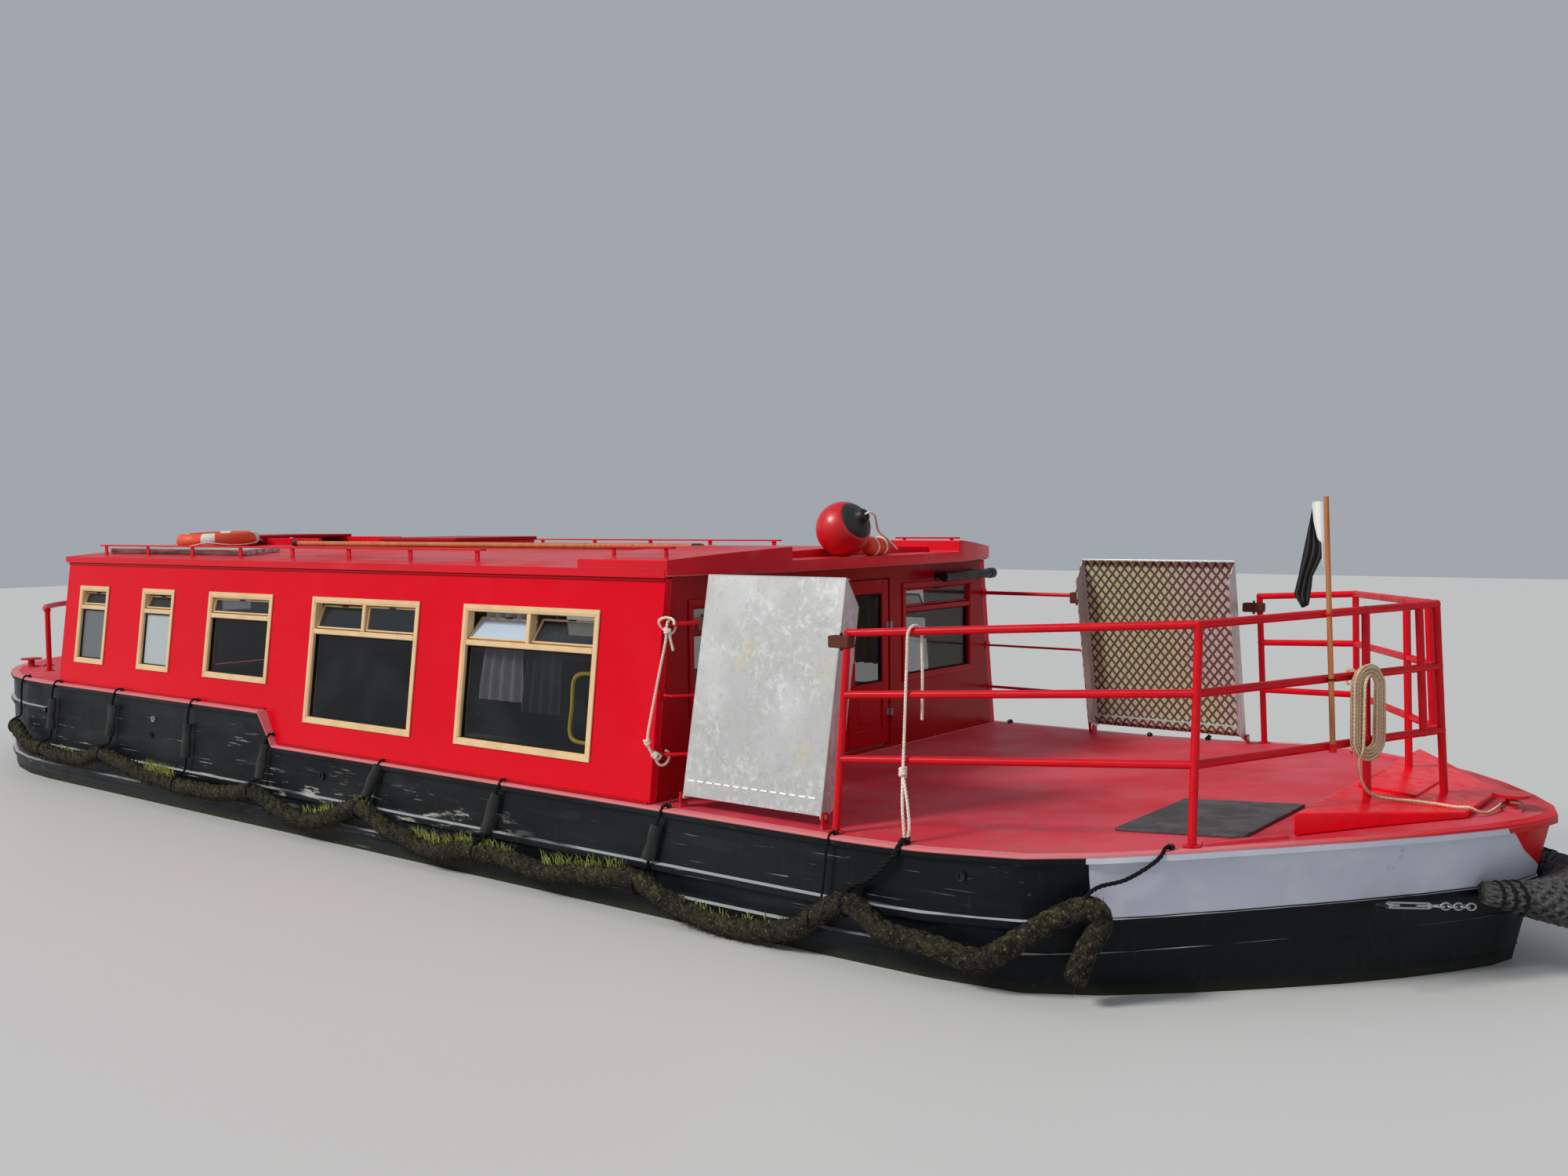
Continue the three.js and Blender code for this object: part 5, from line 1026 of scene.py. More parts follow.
# Rails
def rail_joint(piece, place, radius=RAIL_R):
    """A small weld bead round a joint."""
    bead = [(radius * x, radius * z) for x, z in ((0, -1.12), (0.8, -0.85), (1.10, 0), (0.8, 0.85), (0, 1.12))]
    piece.lathe(bead, Matrix.Translation(place), RAIL_RED, 16)


FOOT_LIFT = 0.001
HAIR = 0.0003  # between pieces that touch
PROUD = 0.0006  # of a wall, for what is fixed on it


def foot_plate(piece, place):
    profile = [(0, 0), (0.040, 0), (0.040, 0.006), (0.030, 0.008), (0.024, 0.012), (0, 0.012)]
    piece.lathe(profile, Matrix.Translation(place), RAIL_RED, 20)


def deck_railing(side):
    bars = Piece(f"side_rails_{side}")
    bow = Piece(f"bow_rails_{side}")
    top = RAIL_HEIGHTS[0]
    for height in RAIL_HEIGHTS:
        bend = rail_point(side, 0, height)
        after = rail_point(side, 0.05, height)
        bars.pipe([gate_point(side, height), bend], RAIL_R, RAIL_RED)
        rail_joint(bars, bend, RAIL_R * 1.02)
        rail_joint(bars, gate_point(side, height))
        bow.pipe([bend, after, rail_point(side, 1, height)], RAIL_R, RAIL_RED)
        for share in BOW_POSTS:
            rail_joint(bow, rail_point(side, share, height))
    for base in (gate_point, lambda s, h: rail_point(s, 0, h)):
        bars.pipe([base(side, FOOT_LIFT), base(side, top)], RAIL_R, RAIL_RED)
        foot_plate(bars, base(side, FOOT_LIFT))
    low = RAIL_HEIGHTS[2]
    foot = rail_point(side, BOW_POSTS[0], low)
    foot.z = DECK_Z + sheer(foot.x - FRONT_X) + FOOT_LIFT
    bow.pipe([foot, rail_point(side, BOW_POSTS[0], top)], RAIL_R, RAIL_RED)
    foot_plate(bow, foot)
    bow.pipe([rail_point(side, BOW_POSTS[1], low), rail_point(side, BOW_POSTS[1], top)], RAIL_R, RAIL_RED)
    if side == "starboard":
        bow.pipe([rail_point(side, 1, FOOT_LIFT), rail_point(side, 1, top)], RAIL_R, RAIL_RED)
        foot_plate(bow, rail_point(side, 1, FOOT_LIFT))
        for height in RAIL_HEIGHTS:
            rail_joint(bow, rail_point(side, 1, height), RAIL_R * 1.02)
    bars.done(slot="red_paint", replaces=(f"side_railing_{side}",))
    bow.done(slot="red_paint", replaces=(f"bow_railing_{side}",))


RAMP_SPAN = {"starboard": (0.182, 1.076), "port": (0.840, 1.880)}
RAMP_LEAN = atan(0.230 / 1.165)
RAMP_FRONT = 0.014
RAMP_HIGH = 1.165
WELD_PITCH = 0.060
HINGE_Y, HINGE_LIFT = -1.755, 0.060
STUB_BACK, STUB_BEND, STUB_INBOARD = 0.032, 0.080, 0.055
STUB_POST_HALF, STUB_POST_THICK = 0.015, 0.008


def stub_face_y(height):
    """The middle of the stub rail's flat post, behind the leaning ramp."""
    return HINGE_Y - RAMP_FRONT + STUB_INBOARD + (height - HINGE_LIFT) * tan(RAMP_LEAN)


def stub_railing(side):
    """Three thin bars from the cabin's front wall that bend inboard to a flat post; drawn on the starboard side."""
    piece = Piece(f"stub_rails_{side}")
    end = RAMP_SPAN[side][0] - STUB_BACK
    for height, radius in (STUB_TOP, STUB_MIDDLE, STUB_LOW):
        y, z = stub_y(height), DECK_Z + height
        corner = at(end - STUB_BEND, y, z)
        piece.pipe([at(0.0005, y, z), corner, at(end + STUB_POST_THICK / 2, stub_face_y(height), z)], radius, RAIL_RED)
        rail_joint(piece, corner, radius)
        piece.box(at(0.0005, y - 0.028, z - 0.028), at(0.006, y + 0.028, z + 0.028), RAIL_RED, 0.002)
    outline = []
    for height, way in ((0.001, -1), (0.001, 1), (0.963, 1), (0.963, -1)):
        outline.append((stub_face_y(height) + way * STUB_POST_HALF, height))
    piece.panel(outline, STUB_POST_THICK, Matrix.Translation((end, 0, 0)) @ FRONT_PLANE, RAIL_RED)
    piece.done(slot="red_paint", replaces=(f"stub_rail_{side}",), mirror=side == "port")


# The stern deck is half an ellipse from here aft
STERN_X = -6.720
STERN_REACH = 2.300
TAFFRAIL_REACH, TAFFRAIL_HALF, TAFFRAIL_HEIGHT = 2.100, 1.570, 0.530


def hoop_point(degrees, z):
    angle = radians(degrees)
    return at(STERN_X - TAFFRAIL_REACH * cos(angle), TAFFRAIL_HALF * sin(angle), z)


def taffrail():
    piece = Piece("stern_rail")
    low, z = STERN_Z + 0.0008, STERN_Z + TAFFRAIL_HEIGHT
    arc = [hoop_point(mix(-67.6, 67.6, i / 72), z) for i in range(73)]
    piece.tube(arc, 0.024, RAIL_RED, 20)
    for angle in (-67, -51, -17, 17, 51, 67):
        piece.pipe([hoop_point(angle, low), hoop_point(angle, z)], 0.021, RAIL_RED)
        foot_plate(piece, hoop_point(angle, low))
        rail_joint(piece, hoop_point(angle, z), 0.025)
    piece.done(slot="red_paint", replaces=("taffrail",))


for side in SIDES:
    deck_railing(side)
    stub_railing(side)
taffrail()


# Windows, drawn in the plane of their wall: across, up, and out of it
def side_plane(sign):
    out = Vector((0, sign * cos(LEAN), sin(LEAN)))
    up = Vector((0, -sign * sin(LEAN), cos(LEAN)))
    turn = Matrix((Vector((1, 0, 0)), up, out)).transposed().to_4x4()
    return spot(0, sign * CABIN_FOOT, DECK_Z) @ turn


UPHILL = 1 / cos(LEAN)
FRAME = 0.036
MULLION = 0.017  # half width of a transom or mullion
TOP_LIGHT = 0.27
# from, to, foot, head, lights above the transom, lean of each light in degrees, look of the pane
WINDOWS = (
    (-6.360, -5.910, 0.400, 1.000, 1, (16,), GREY_GLASS),
    (-5.380, -4.930, 0.400, 1.000, 1, (20,), MILKY_GLASS),
    (-4.440, -3.640, 0.400, 1.000, 1, (7,), INTERIOR_SHADE_GLASS),
    (-3.160, -2.040, 0.180, 1.000, 2, (16, 4), INTERIOR_SHADE_GLASS),
    (-1.610, -0.470, 0.180, 1.000, 2, (34, 28), INTERIOR_SHADE_GLASS),
)


def picture_frame(piece, x0, x1, y0, y1, face, low, high, look, place, chamfer=0.004):
    for a, b in (((x0, y0), (x1, y0 + face)), ((x0, y1 - face), (x1, y1))):
        piece.box((*a, low), (*b, high), look, chamfer, place)
    for a, b in (((x0, y0 + face), (x0 + face, y1 - face)), ((x1 - face, y0 + face), (x1, y1 - face))):
        piece.box((*a, low), (*b, high), look, chamfer, place)


def pane(piece, x0, x1, y0, y1, z, look, place, thick=0.006):
    piece.box((x0, y0, z - thick / 2), (x1, y1, z + thick / 2), look, 0.0008, place)


def hopper(piece, x0, x1, y0, y1, lean, look, place, glazing):
    """An opening light hinged at its foot: it leans in at the top."""
    hinge = place @ Matrix.Translation((0, y0, -0.018)) @ Matrix.Rotation(-radians(lean), 4, "X")
    height = y1 - y0
    picture_frame(piece, x0, x1, 0.002, height, 0.011, -0.010, 0.010, look, hinge, 0.003)
    pane(piece, x0 + 0.008, x1 - 0.008, 0.008, height - 0.008, 0.0, glazing, hinge, 0.004)
    middle = (x0 + x1) / 2
    piece.box((middle - 0.030, height - 0.012, 0.011), (middle + 0.030, height - 0.004, 0.020), IRON, 0.002, hinge)


def window(name, place, x0, x1, y0, y1, lights, leans, glazing, trim, slot):
    piece = Piece(name)
    x0, x1, y0, y1 = x0 + HAIR, x1 - HAIR, y0 + HAIR, y1 - HAIR
    transom = y1 - (y1 - y0) * TOP_LIGHT
    picture_frame(piece, x0, x1, y0, y1, FRAME, -0.050, 0.007, trim, place)
    picture_frame(piece, x0 - 0.006, x1 + 0.006, y0 - 0.006, y1 + 0.006, 0.030, PROUD, 0.010, trim, place, 0.003)
    piece.box((x0 + FRAME, transom - MULLION, -0.050), (x1 - FRAME, transom + MULLION, 0.006), trim, 0.004, place)
    edges = [x0 + FRAME, x1 - FRAME]
    if lights == 2:
        middle = (x0 + x1) / 2
        low, high = (middle - MULLION, transom + MULLION, -0.050), (middle + MULLION, y1 - FRAME, 0.006)
        piece.box(low, high, trim, 0.004, place)
        edges = [x0 + FRAME, middle - MULLION, middle + MULLION, x1 - FRAME]
    low, high = y0 + FRAME, transom - MULLION
    picture_frame(piece, x0 + FRAME, x1 - FRAME, low, high, 0.008, -0.034, -0.012, SEAL, place, 0.002)
    pane(piece, x0 + FRAME - 0.004, x1 - FRAME + 0.004, low - 0.004, high + 0.004, -0.025, glazing, place)
    for i, lean in enumerate(leans):
        a, b = edges[2 * i], edges[2 * i + 1]
        # The fifth starboard window's first upper light has a painted reflection of the sky
        upper = SKY_REFLECTION_GLASS if name == "window_starboard_5" and i == 0 else HOPPER_GLASS
        hopper(piece, a + 0.003, b - 0.003, transom + MULLION + 0.003, y1 - FRAME - 0.003, lean, trim, place, upper)
    piece.done(slot=slot, replaces=(name,), angle=30)


def front_screen(side):
    inner, outer = (SIDES[side] * v for v in (0.610, 1.500))
    x0, x1 = sorted((inner, outer))
    window(f"front_window_{side}", FRONT_PLANE, x0, x1, 0.420, 1.060, 1, (0,), INTERIOR_SHADE_GLASS, SHADED_TRIM_RED, "dark_red_paint")


# Curtains hang inside two of the windows on each side
def curtain(name, side, x0, x1, bottom, folds, gather, look):
    """A gathered curtain; each fold is one wave of the cloth."""
    place, top = side_plane(SIDES[side]), 1.020
    across, down = 12 * folds, 14
    points = []
    for j in range(down + 1):
        share = j / down
        for i in range(across + 1):
            u = i / across
            spread = 1 - 0.10 * sin(pi * min(1, share * 1.2))
            x = mix(x0, x1, 0.5 + (u - 0.5) * spread)
            wave = gather * (0.7 + 0.5 * share) * sin(tau * folds * u + 0.4 * sin(5 * u))
            points.append(place @ Vector((x, mix(top, bottom, share) * UPHILL, -0.105 + wave)))
    piece = Piece(f"{name}_{side}")
    piece.add(points, grid_faces(down, across), look)
    made = piece.done(slot="flag_cloth", angle=180)


for side, sign in SIDES.items():
    for i, (x0, x1, foot, head, *lights) in enumerate(WINDOWS, 1):
        place = side_plane(sign)
        window(f"window_{side}_{i}", place, x0, x1, foot * UPHILL, head * UPHILL, *lights, CREAM, "window_frame")
    front_screen(side)
    curtain("curtain_mid", side, -1.540, -1.170, 0.450, 4, 0.018, CURTAIN)
    curtain("curtain_edge", side, -1.160, -0.850, 0.400, 4, 0.016, DARK_CURTAIN)
    curtain("curtain_aft", side, -3.740, -3.600, 0.440, 3, 0.014, CURTAIN)


# Doors
DOOR_HALF = 0.460


def door(body, sign, face, out, foot, head, glass_share, look):
    """One leaf with its frame, panel, pane, bead, handle and hinges; drawn on the starboard side."""
    piece = Piece(f"{body}_leaf")
    front = face - out * 0.005
    back = front - out * 0.040
    low, high = min(front, back), max(front, back)
    y0, y1 = -DOOR_HALF + 0.010, -0.003
    stile = 0.070
    sill = head - (head - foot) * glass_share
    lintel = head - 0.090

    def slab(ya, yb, za, zb, inset=0.0, material=look, chamfer=0.003):
        piece.box(at(low + inset, ya, za), at(high - inset, yb, zb), material, chamfer)

    slab(y0, y0 + stile, foot, head)
    slab(y1 - stile, y1, foot, head)
    slab(y0 + stile, y1 - stile, foot, foot + 0.110)
    slab(y0 + stile, y1 - stile, lintel, head)
    slab(y0 + stile, y1 - stile, sill - 0.055, sill)
    slab(y0 + stile - 0.004, y1 - stile + 0.004, foot + 0.105, sill - 0.050, 0.010)
    slab(y0 + stile + 0.035, y1 - stile - 0.035, foot + 0.145, sill - 0.090, 0.006, look, 0.010)
    slab(y0 + stile - 0.005, y1 - stile + 0.005, sill - 0.005, lintel + 0.005, 0.017, INTERIOR_SHADE_GLASS, 0.0008)
    for ya, yb, za, zb in (
        (y0 + stile, y1 - stile, sill, sill + 0.010),
        (y0 + stile, y1 - stile, lintel - 0.010, lintel),
        (y0 + stile, y0 + stile + 0.010, sill + 0.010, lintel - 0.010),
        (y1 - stile - 0.010, y1 - stile, sill + 0.010, lintel - 0.010),
    ):
        slab(ya, yb, za, zb, 0.008, SEAL, 0.002)
    handle_y, handle_z = y1 - 0.034, foot + 0.62
    near, far = sorted((face + out * 0.001, face - out * 0.006))
    handle = at(near, handle_y - 0.016, handle_z - 0.070), at(far, handle_y + 0.016, handle_z + 0.070)
    piece.box(*handle, BRIGHT, 0.002)
    for lift in (0.180, 0.750):
        z, pin_x = foot + lift, face + out * 0.011
        piece.pipe([at(pin_x, -0.458, z + 0.001), at(pin_x, -0.458, z + 0.044)], 0.0088, BRIGHT)
        near, far = sorted((face + out * 0.001, face - out * 0.0048))
        piece.box(at(near, -0.456, z + 0.002), at(far, -0.420, z + 0.043), BRIGHT, 0.001)
    piece.done(body, "dark_red_paint" if out > 0 else "red_paint", (body,), 30, mirror=sign > 0)


for side, sign in SIDES.items():
    door(f"front_door_{side}", sign, 0.0, 1, DECK_Z + 0.030, CABIN_TOP_Z - 0.090, 0.62, SHADED_TRIM_RED)
    door(f"rear_door_{side}", sign, REAR_X, -1, STERN_Z + 0.030, CABIN_TOP_Z - 0.020, 0.50, REAR_RED)


# Rope fenders
def half_beam(x):
    rows = ((1.700, 1.850), (2.200, 1.815), (2.500, 1.690), (2.790, 1.490), (3.100, 1.225), (3.360, 0.965),
            (3.580, 0.700), (3.760, 0.430), (3.880, 0.200), (3.930, 0.0))
    if x < STERN_X:
        return HALF_BEAM * sqrt(max(0.0, 1 - ((x - STERN_X) / STERN_REACH) ** 2))
    if x <= rows[0][0]:
        return HALF_BEAM
    for (xa, ya), (xb, yb) in zip(rows, rows[1:]):
        if x <= xb:
            return mix(ya, yb, (x - xa) / (xb - xa))
    return 0.0


FENDER_R = 0.058
FENDER_OFF = 0.026 + FENDER_R + 0.0008
# x and drop under the foredeck's gunwale, in millimetres
FENDER_LINE = (
    (-7230, 170), (-6900, 290), (-6550, 315), (-6020, 335), (-5650, 262), (-5060, 345), (-4410, 380), (-3790, 350),
    (-3580, 315), (-3320, 395), (-2880, 425), (-2390, 292), (-2060, 390), (-1610, 445), (-1320, 402), (-660, 430),
    (-60, 376), (380, 488), (680, 500), (980, 475), (1340, 285), (1540, 365), (1770, 397), (2040, 412),
    (2250, 290), (2400, 178), (2500, 150), (2530, 205), (2475, 340), (2430, 455),
)
# Hangers: x where each meets the fender, how much further forward its deck end is, its sleeve's length, and its
# thickness, in millimetres
HANGERS = (
    (-7200, 60, 0, 9), (-6600, 80, 250, 9), (-5630, 90, 250, 9), (-4550, 100, 250, 9), (-3580, 90, 250, 9),
    (-2380, 120, 250, 9), (-1260, 130, 250, 9), (20, 110, 200, 9), (1160, 40, 0, 7), (1345, 260, 0, 15),
    (2490, 240, 0, 10),
)


def fender_point(x, drop):
    return at(x, -(half_beam(x) + FENDER_OFF), DECK_Z - drop)


def tuft(piece, place, count, spread, tall, chance):
    """A few blades of grass that grow out of the fender."""
    for _ in range(count):
        x, y, z = chance.uniform(-spread, spread), chance.uniform(-0.020, 0.020), chance.uniform(-0.01, 0.008)
        root = place + Vector((x, y, z))
        lean = Vector((chance.uniform(-0.5, 0.5), chance.uniform(-0.30, 0.12), 1)).normalized()
        size = tall * chance.uniform(0.4, 1.0)
        wide = 0.0030
        side = Vector((1, 0, 0)) if chance.random() < 0.5 else Vector((0.6, 0.8, 0))
        bend = Vector((lean.x, lean.y, -0.35)) * size * 0.45
        middle = root + lean * size * 0.55
        tip = root + lean * size + bend
        piece.add(
            [root - side * wide, root + side * wide, middle - side * wide * 0.8, middle + side * wide * 0.8, tip],
            [(0, 1, 3, 2), (2, 3, 4)],
            GRASS,
        )


def fender_drop(x):
    """How far the fender's line hangs under the foredeck's gunwale at an x."""
    for (xa, da), (xb, db) in zip(FENDER_LINE, FENDER_LINE[1:]):
        if xa <= 1000 * x <= xb:
            return mix(da, db, (1000 * x - xa) / (xb - xa)) / 1000
    return FENDER_LINE[-1][1] / 1000


def fender_hanger(piece, x, ahead, sleeve, thick):
    """A cord from an eye on the deck's edge, down the hull and once round the fender."""
    fender_z = DECK_Z - fender_drop(x)
    top_x = x + ahead
    top = gunwale(top_x)
    over = at(top_x, -(half_beam(top_x) - 0.030), top + 0.010)
    edge = half_beam(x)
    wrap = FENDER_OFF + 0.0485 - (thick - 0.009)
    down = [(0.10, top - 0.030), (0.55, mix(top, fender_z, 0.5)), (0.93, fender_z + 0.085)]
    route = [over, at(top_x - 0.004, -(half_beam(top_x) + 0.006), top + 0.006 + thick)]
    route += [at(mix(top_x, x, s), -(half_beam(mix(top_x, x, s)) + 0.030 + 0.014 * s), z) for s, z in down]
    route += [
        at(x - 0.004, -(edge + FENDER_OFF + 0.016), fender_z + 0.058),
        at(x - 0.008, -(edge + wrap), fender_z + 0.012),
        at(x - 0.010, -(edge + FENDER_OFF + 0.030), fender_z - 0.044),
        at(x - 0.012, -(edge + FENDER_OFF - 0.020), fender_z - 0.050),
    ]
    line = smooth_line(route, 0.008)
    piece.rope(line, thick, BLACK_ROPE, sides=6)
    knot = Matrix.Translation(over - UP * 0.008)
    piece.lathe([(0, 0.0), (0.013, 0.0), (0.016, 0.006), (0.010, 0.013), (0, 0.014)], knot, IRON, 16)
    if sleeve:
        a, b = route[2], route[4]
        middle = a.lerp(b, 0.52)
        along = (b - a).normalized() * sleeve / 2
        path = resample([middle - along, middle + along], 0.012)
        piece.tube(path, lambda s: 0.031 + 0.003 * sin(9 * s + x) + 0.003 * s, SLEEVE, 14, 0.5)


def side_fender(side):
    mirror = side == "port"
    rope = Piece(f"rope_fender_{side}")
    shift = random.Random(11)
    loose = []
    for i, p in enumerate(smooth_line(FENDER_PATH, 0.016)):
        sway = 0.006 * sin(0.21 * i) + 0.004 * sin(0.083 * i + 1.0)
        loose.append(p + Vector((0, 0.002 * shift.uniform(-1, 1), sway + 0.004 * shift.uniform(-1, 1))))
    rope.rope(loose, FENDER_R - 0.005, FENDER, strands=5, lay=3.6, sides=12, spread=0.60)
    for end in (loose[2:9], loose[-9:-2]):
        wrapped(rope, end, 0.006, BLACK_ROPE, 8, FENDER_R - 0.010)
    rope.done(slot="dark_rope", replaces=(f"side_fender_{side}",), angle=180, mirror=mirror)

    hung = Piece(f"fender_hangers_{side}")
    for x, ahead, sleeve, thick in HANGERS:
        fender_hanger(hung, x / 1000, ahead / 1000, sleeve / 1000, thick / 1000)
    hung.done(slot="dark_rope", angle=50, mirror=mirror)

    fuzz = Piece(f"fender_fuzz_{side}")
    straw = random.Random(8)
    for _ in range(9000):
        i = straw.randrange(1, len(loose) - 1)
        angle = straw.uniform(0, tau)
        along = (loose[i + 1] - loose[i - 1]).normalized()
        out = (Vector((0, -1, 0)) * cos(angle) + UP * sin(angle)).normalized()
        root = loose[i] + out * (FENDER_R - 0.014)
        lie = (along * straw.uniform(-1.5, 1.5) + out * 0.55 - UP * straw.uniform(0, 0.5)).normalized()
        tip = root + out * 0.012 + lie * straw.uniform(0.020, 0.045)
        edge = -(half_beam(root.x - FRONT_X) + FENDER_OFF + FENDER_R - 0.001)
        if tip.y < edge or tip.y > edge + 2 * FENDER_R:
            continue
        wide = along.cross(lie).normalized() * 0.0032 if abs(along.dot(lie)) < 0.98 else UP * 0.003
        fuzz.add([root - wide, root + wide, tip], [(0, 1, 2)], FUZZ)
    fuzz.done(slot="dark_rope", angle=180, mirror=mirror)

    grass = Piece(f"fender_grass_{side}")
    chance = random.Random(5)
    for x0, x1, count, tall in GRASS_ROWS:
        for k in range(10):
            x = mix(x0, x1, (k + 0.5) / 10)
            near = fender_point(x, fender_drop(x))
            tuft(grass, near + Vector((0, -0.006, FENDER_R - 0.016)), max(2, count // 10), (x1 - x0) / 16, tall, chance)
    grass.done(slot="dark_rope", angle=180, mirror=mirror)


FENDER_PATH = [fender_point(x / 1000, drop / 1000) for x, drop in FENDER_LINE]
# Where grass grows on the fender: from, to, blades, height
GRASS_ROWS = (
    (-6.35, -6.05, 20, 0.05), (-4.98, -4.62, 110, 0.13), (-2.98, -2.66, 40, 0.08), (-2.45, -2.28, 26, 0.08),
    (-1.82, -1.30, 110, 0.10), (-1.22, -0.96, 50, 0.08), (-0.70, -0.08, 110, 0.10), (0.30, 0.90, 30, 0.05),
)
SLEEVE = worn_plastic("rubber_sleeve", (30, 31, 33), (66, 68, 68), 0.6)
for side in SIDES:
    side_fender(side)


def bow_fender():
    """The thick fender round the stem: a dark core wound with flat strands both ways, like basket work."""
    piece = Piece("woven_bow_fender")
    fat, thin = (0.190, 0.142), (0.048, 0.048)
    centre_x = 4.240 - fat[0]
    places, sizes = [], []
    steps = 96
    for i in range(steps + 1):
        side = mix(-1, 1, i / steps)
        away = abs(side)
        slim = away ** 1.3
        places.append(at(centre_x - (centre_x - 3.735) * away ** 2, 0.455 * side, 0.840 + 0.065 * away ** 2))
        sizes.append((mix(fat[0], thin[0], slim), mix(fat[1], thin[1], slim)))
    frames = []
    for i in range(steps + 1):
        ahead, behind = places[min(i + 1, steps)], places[max(i - 1, 0)]
        turn = atan2(ahead.y - behind.y, ahead.x - behind.x)
        frames.append((Vector((sin(turn), -cos(turn), 0)), UP))

    def skin(i, angle, share=1.0):
        out, up = frames[i]
        wide, high = sizes[i]
        return places[i] + out * (wide * share * cos(angle)) + up * (high * share * sin(angle))

    sides, strands, turns = 28, 10, 1.9
    core = [skin(i, tau * k / sides, 0.84) for i in range(steps + 1) for k in range(sides)]
    piece.add(core, ring_faces(steps, sides), BOW_FENDER)
    for way in (1, -1):
        for s in range(strands):
            path = []
            for i in range(steps + 1):
                turned = tau * turns * i / steps
                angle = way * turned + tau * s / strands
                lift = 0.862 + 0.030 * way * cos(strands * turned)
                path.append(skin(i, angle, lift))
            piece.tube(path, lambda t: 0.0205 - 0.012 * abs(2 * t - 1) ** 1.5, BOW_FENDER, 8, 0.8)
    for i in (4, 7, 10, steps - 10, steps - 7, steps - 4):
        ring = [skin(i, tau * k / 24, 0.98) for k in range(25)]
        piece.tube(ring, 0.008, BLACK_ROPE, 7)
    piece.done(slot="dark_rope", replaces=("bow_fender",), angle=180)


bow_fender()


# Bow tackle on each side: a shackle, a turnbuckle and a short chain to the fender, and two hanging lashings
def chain_link(piece, place, along, size, wire, twist, look):
    along = along.normalized()
    side = along.cross(UP).normalized()
    side = cos(twist) * side + sin(twist) * along.cross(side)
    piece.tube(oval(place, along * (size * 0.62), side * (size * 0.36), 20), wire, look, 7)


def bow_tackle(side):
    sign = SIDES[side]
    piece = Piece(f"bow_tackle_{side}")
    start = at(3.430, sign * 0.912, 0.903)
    end = at(3.722, sign * 0.512, 0.852)
    along = (end - start).normalized()
    chain_link(piece, start, along, 0.040, 0.005, 0.0, IRON)
    body_a, body_b = start + along * 0.04, start + along * 0.24
    for off in (-0.011, 0.011):
        piece.pipe([body_a + UP * off, body_b + UP * off], 0.0045, BRIGHT)
    for place in (body_a, body_b):
        ring = Matrix.Translation(place) @ along.to_track_quat("Z", "Y").to_matrix().to_4x4()
        piece.lathe([(0, -0.010), (0.014, -0.010), (0.016, 0), (0.014, 0.010), (0, 0.010)], ring, BRIGHT, 14)
    piece.pipe([start + along * 0.022, body_a + along * 0.05], 0.006, BRIGHT)
    piece.pipe([body_b - along * 0.06, body_b + along * 0.05], 0.006, BRIGHT)
    reach = (end - body_b).length - 0.05
    links = int(reach / 0.034)
    for k in range(links):
        chain_link(piece, body_b + along * (0.060 + 0.034 * k), along, 0.040, 0.0045, k % 2 * pi / 2, BRIGHT)
    piece.done(slot="galvanised", angle=60)
    lash = Piece(f"bow_lashing_{side}")
    for ahead in (-0.035, 0.030):
        hang = [
            start + Vector((0, sign * 0.012, 0)),
            start + Vector((ahead, sign * (0.020 - 0.4 * ahead), -0.090)),
            start + Vector((ahead * 1.3, sign * (0.004 - 0.6 * ahead), -0.180)),
            start + Vector((ahead * 0.4, -sign * 0.020, -0.245)),
        ]
        lash.rope(smooth_line(hang, 0.006), 0.005, BLACK_ROPE, sides=5)
    lash.done(slot="dark_rope", angle=180)


for side in SIDES:
    bow_tackle(side)


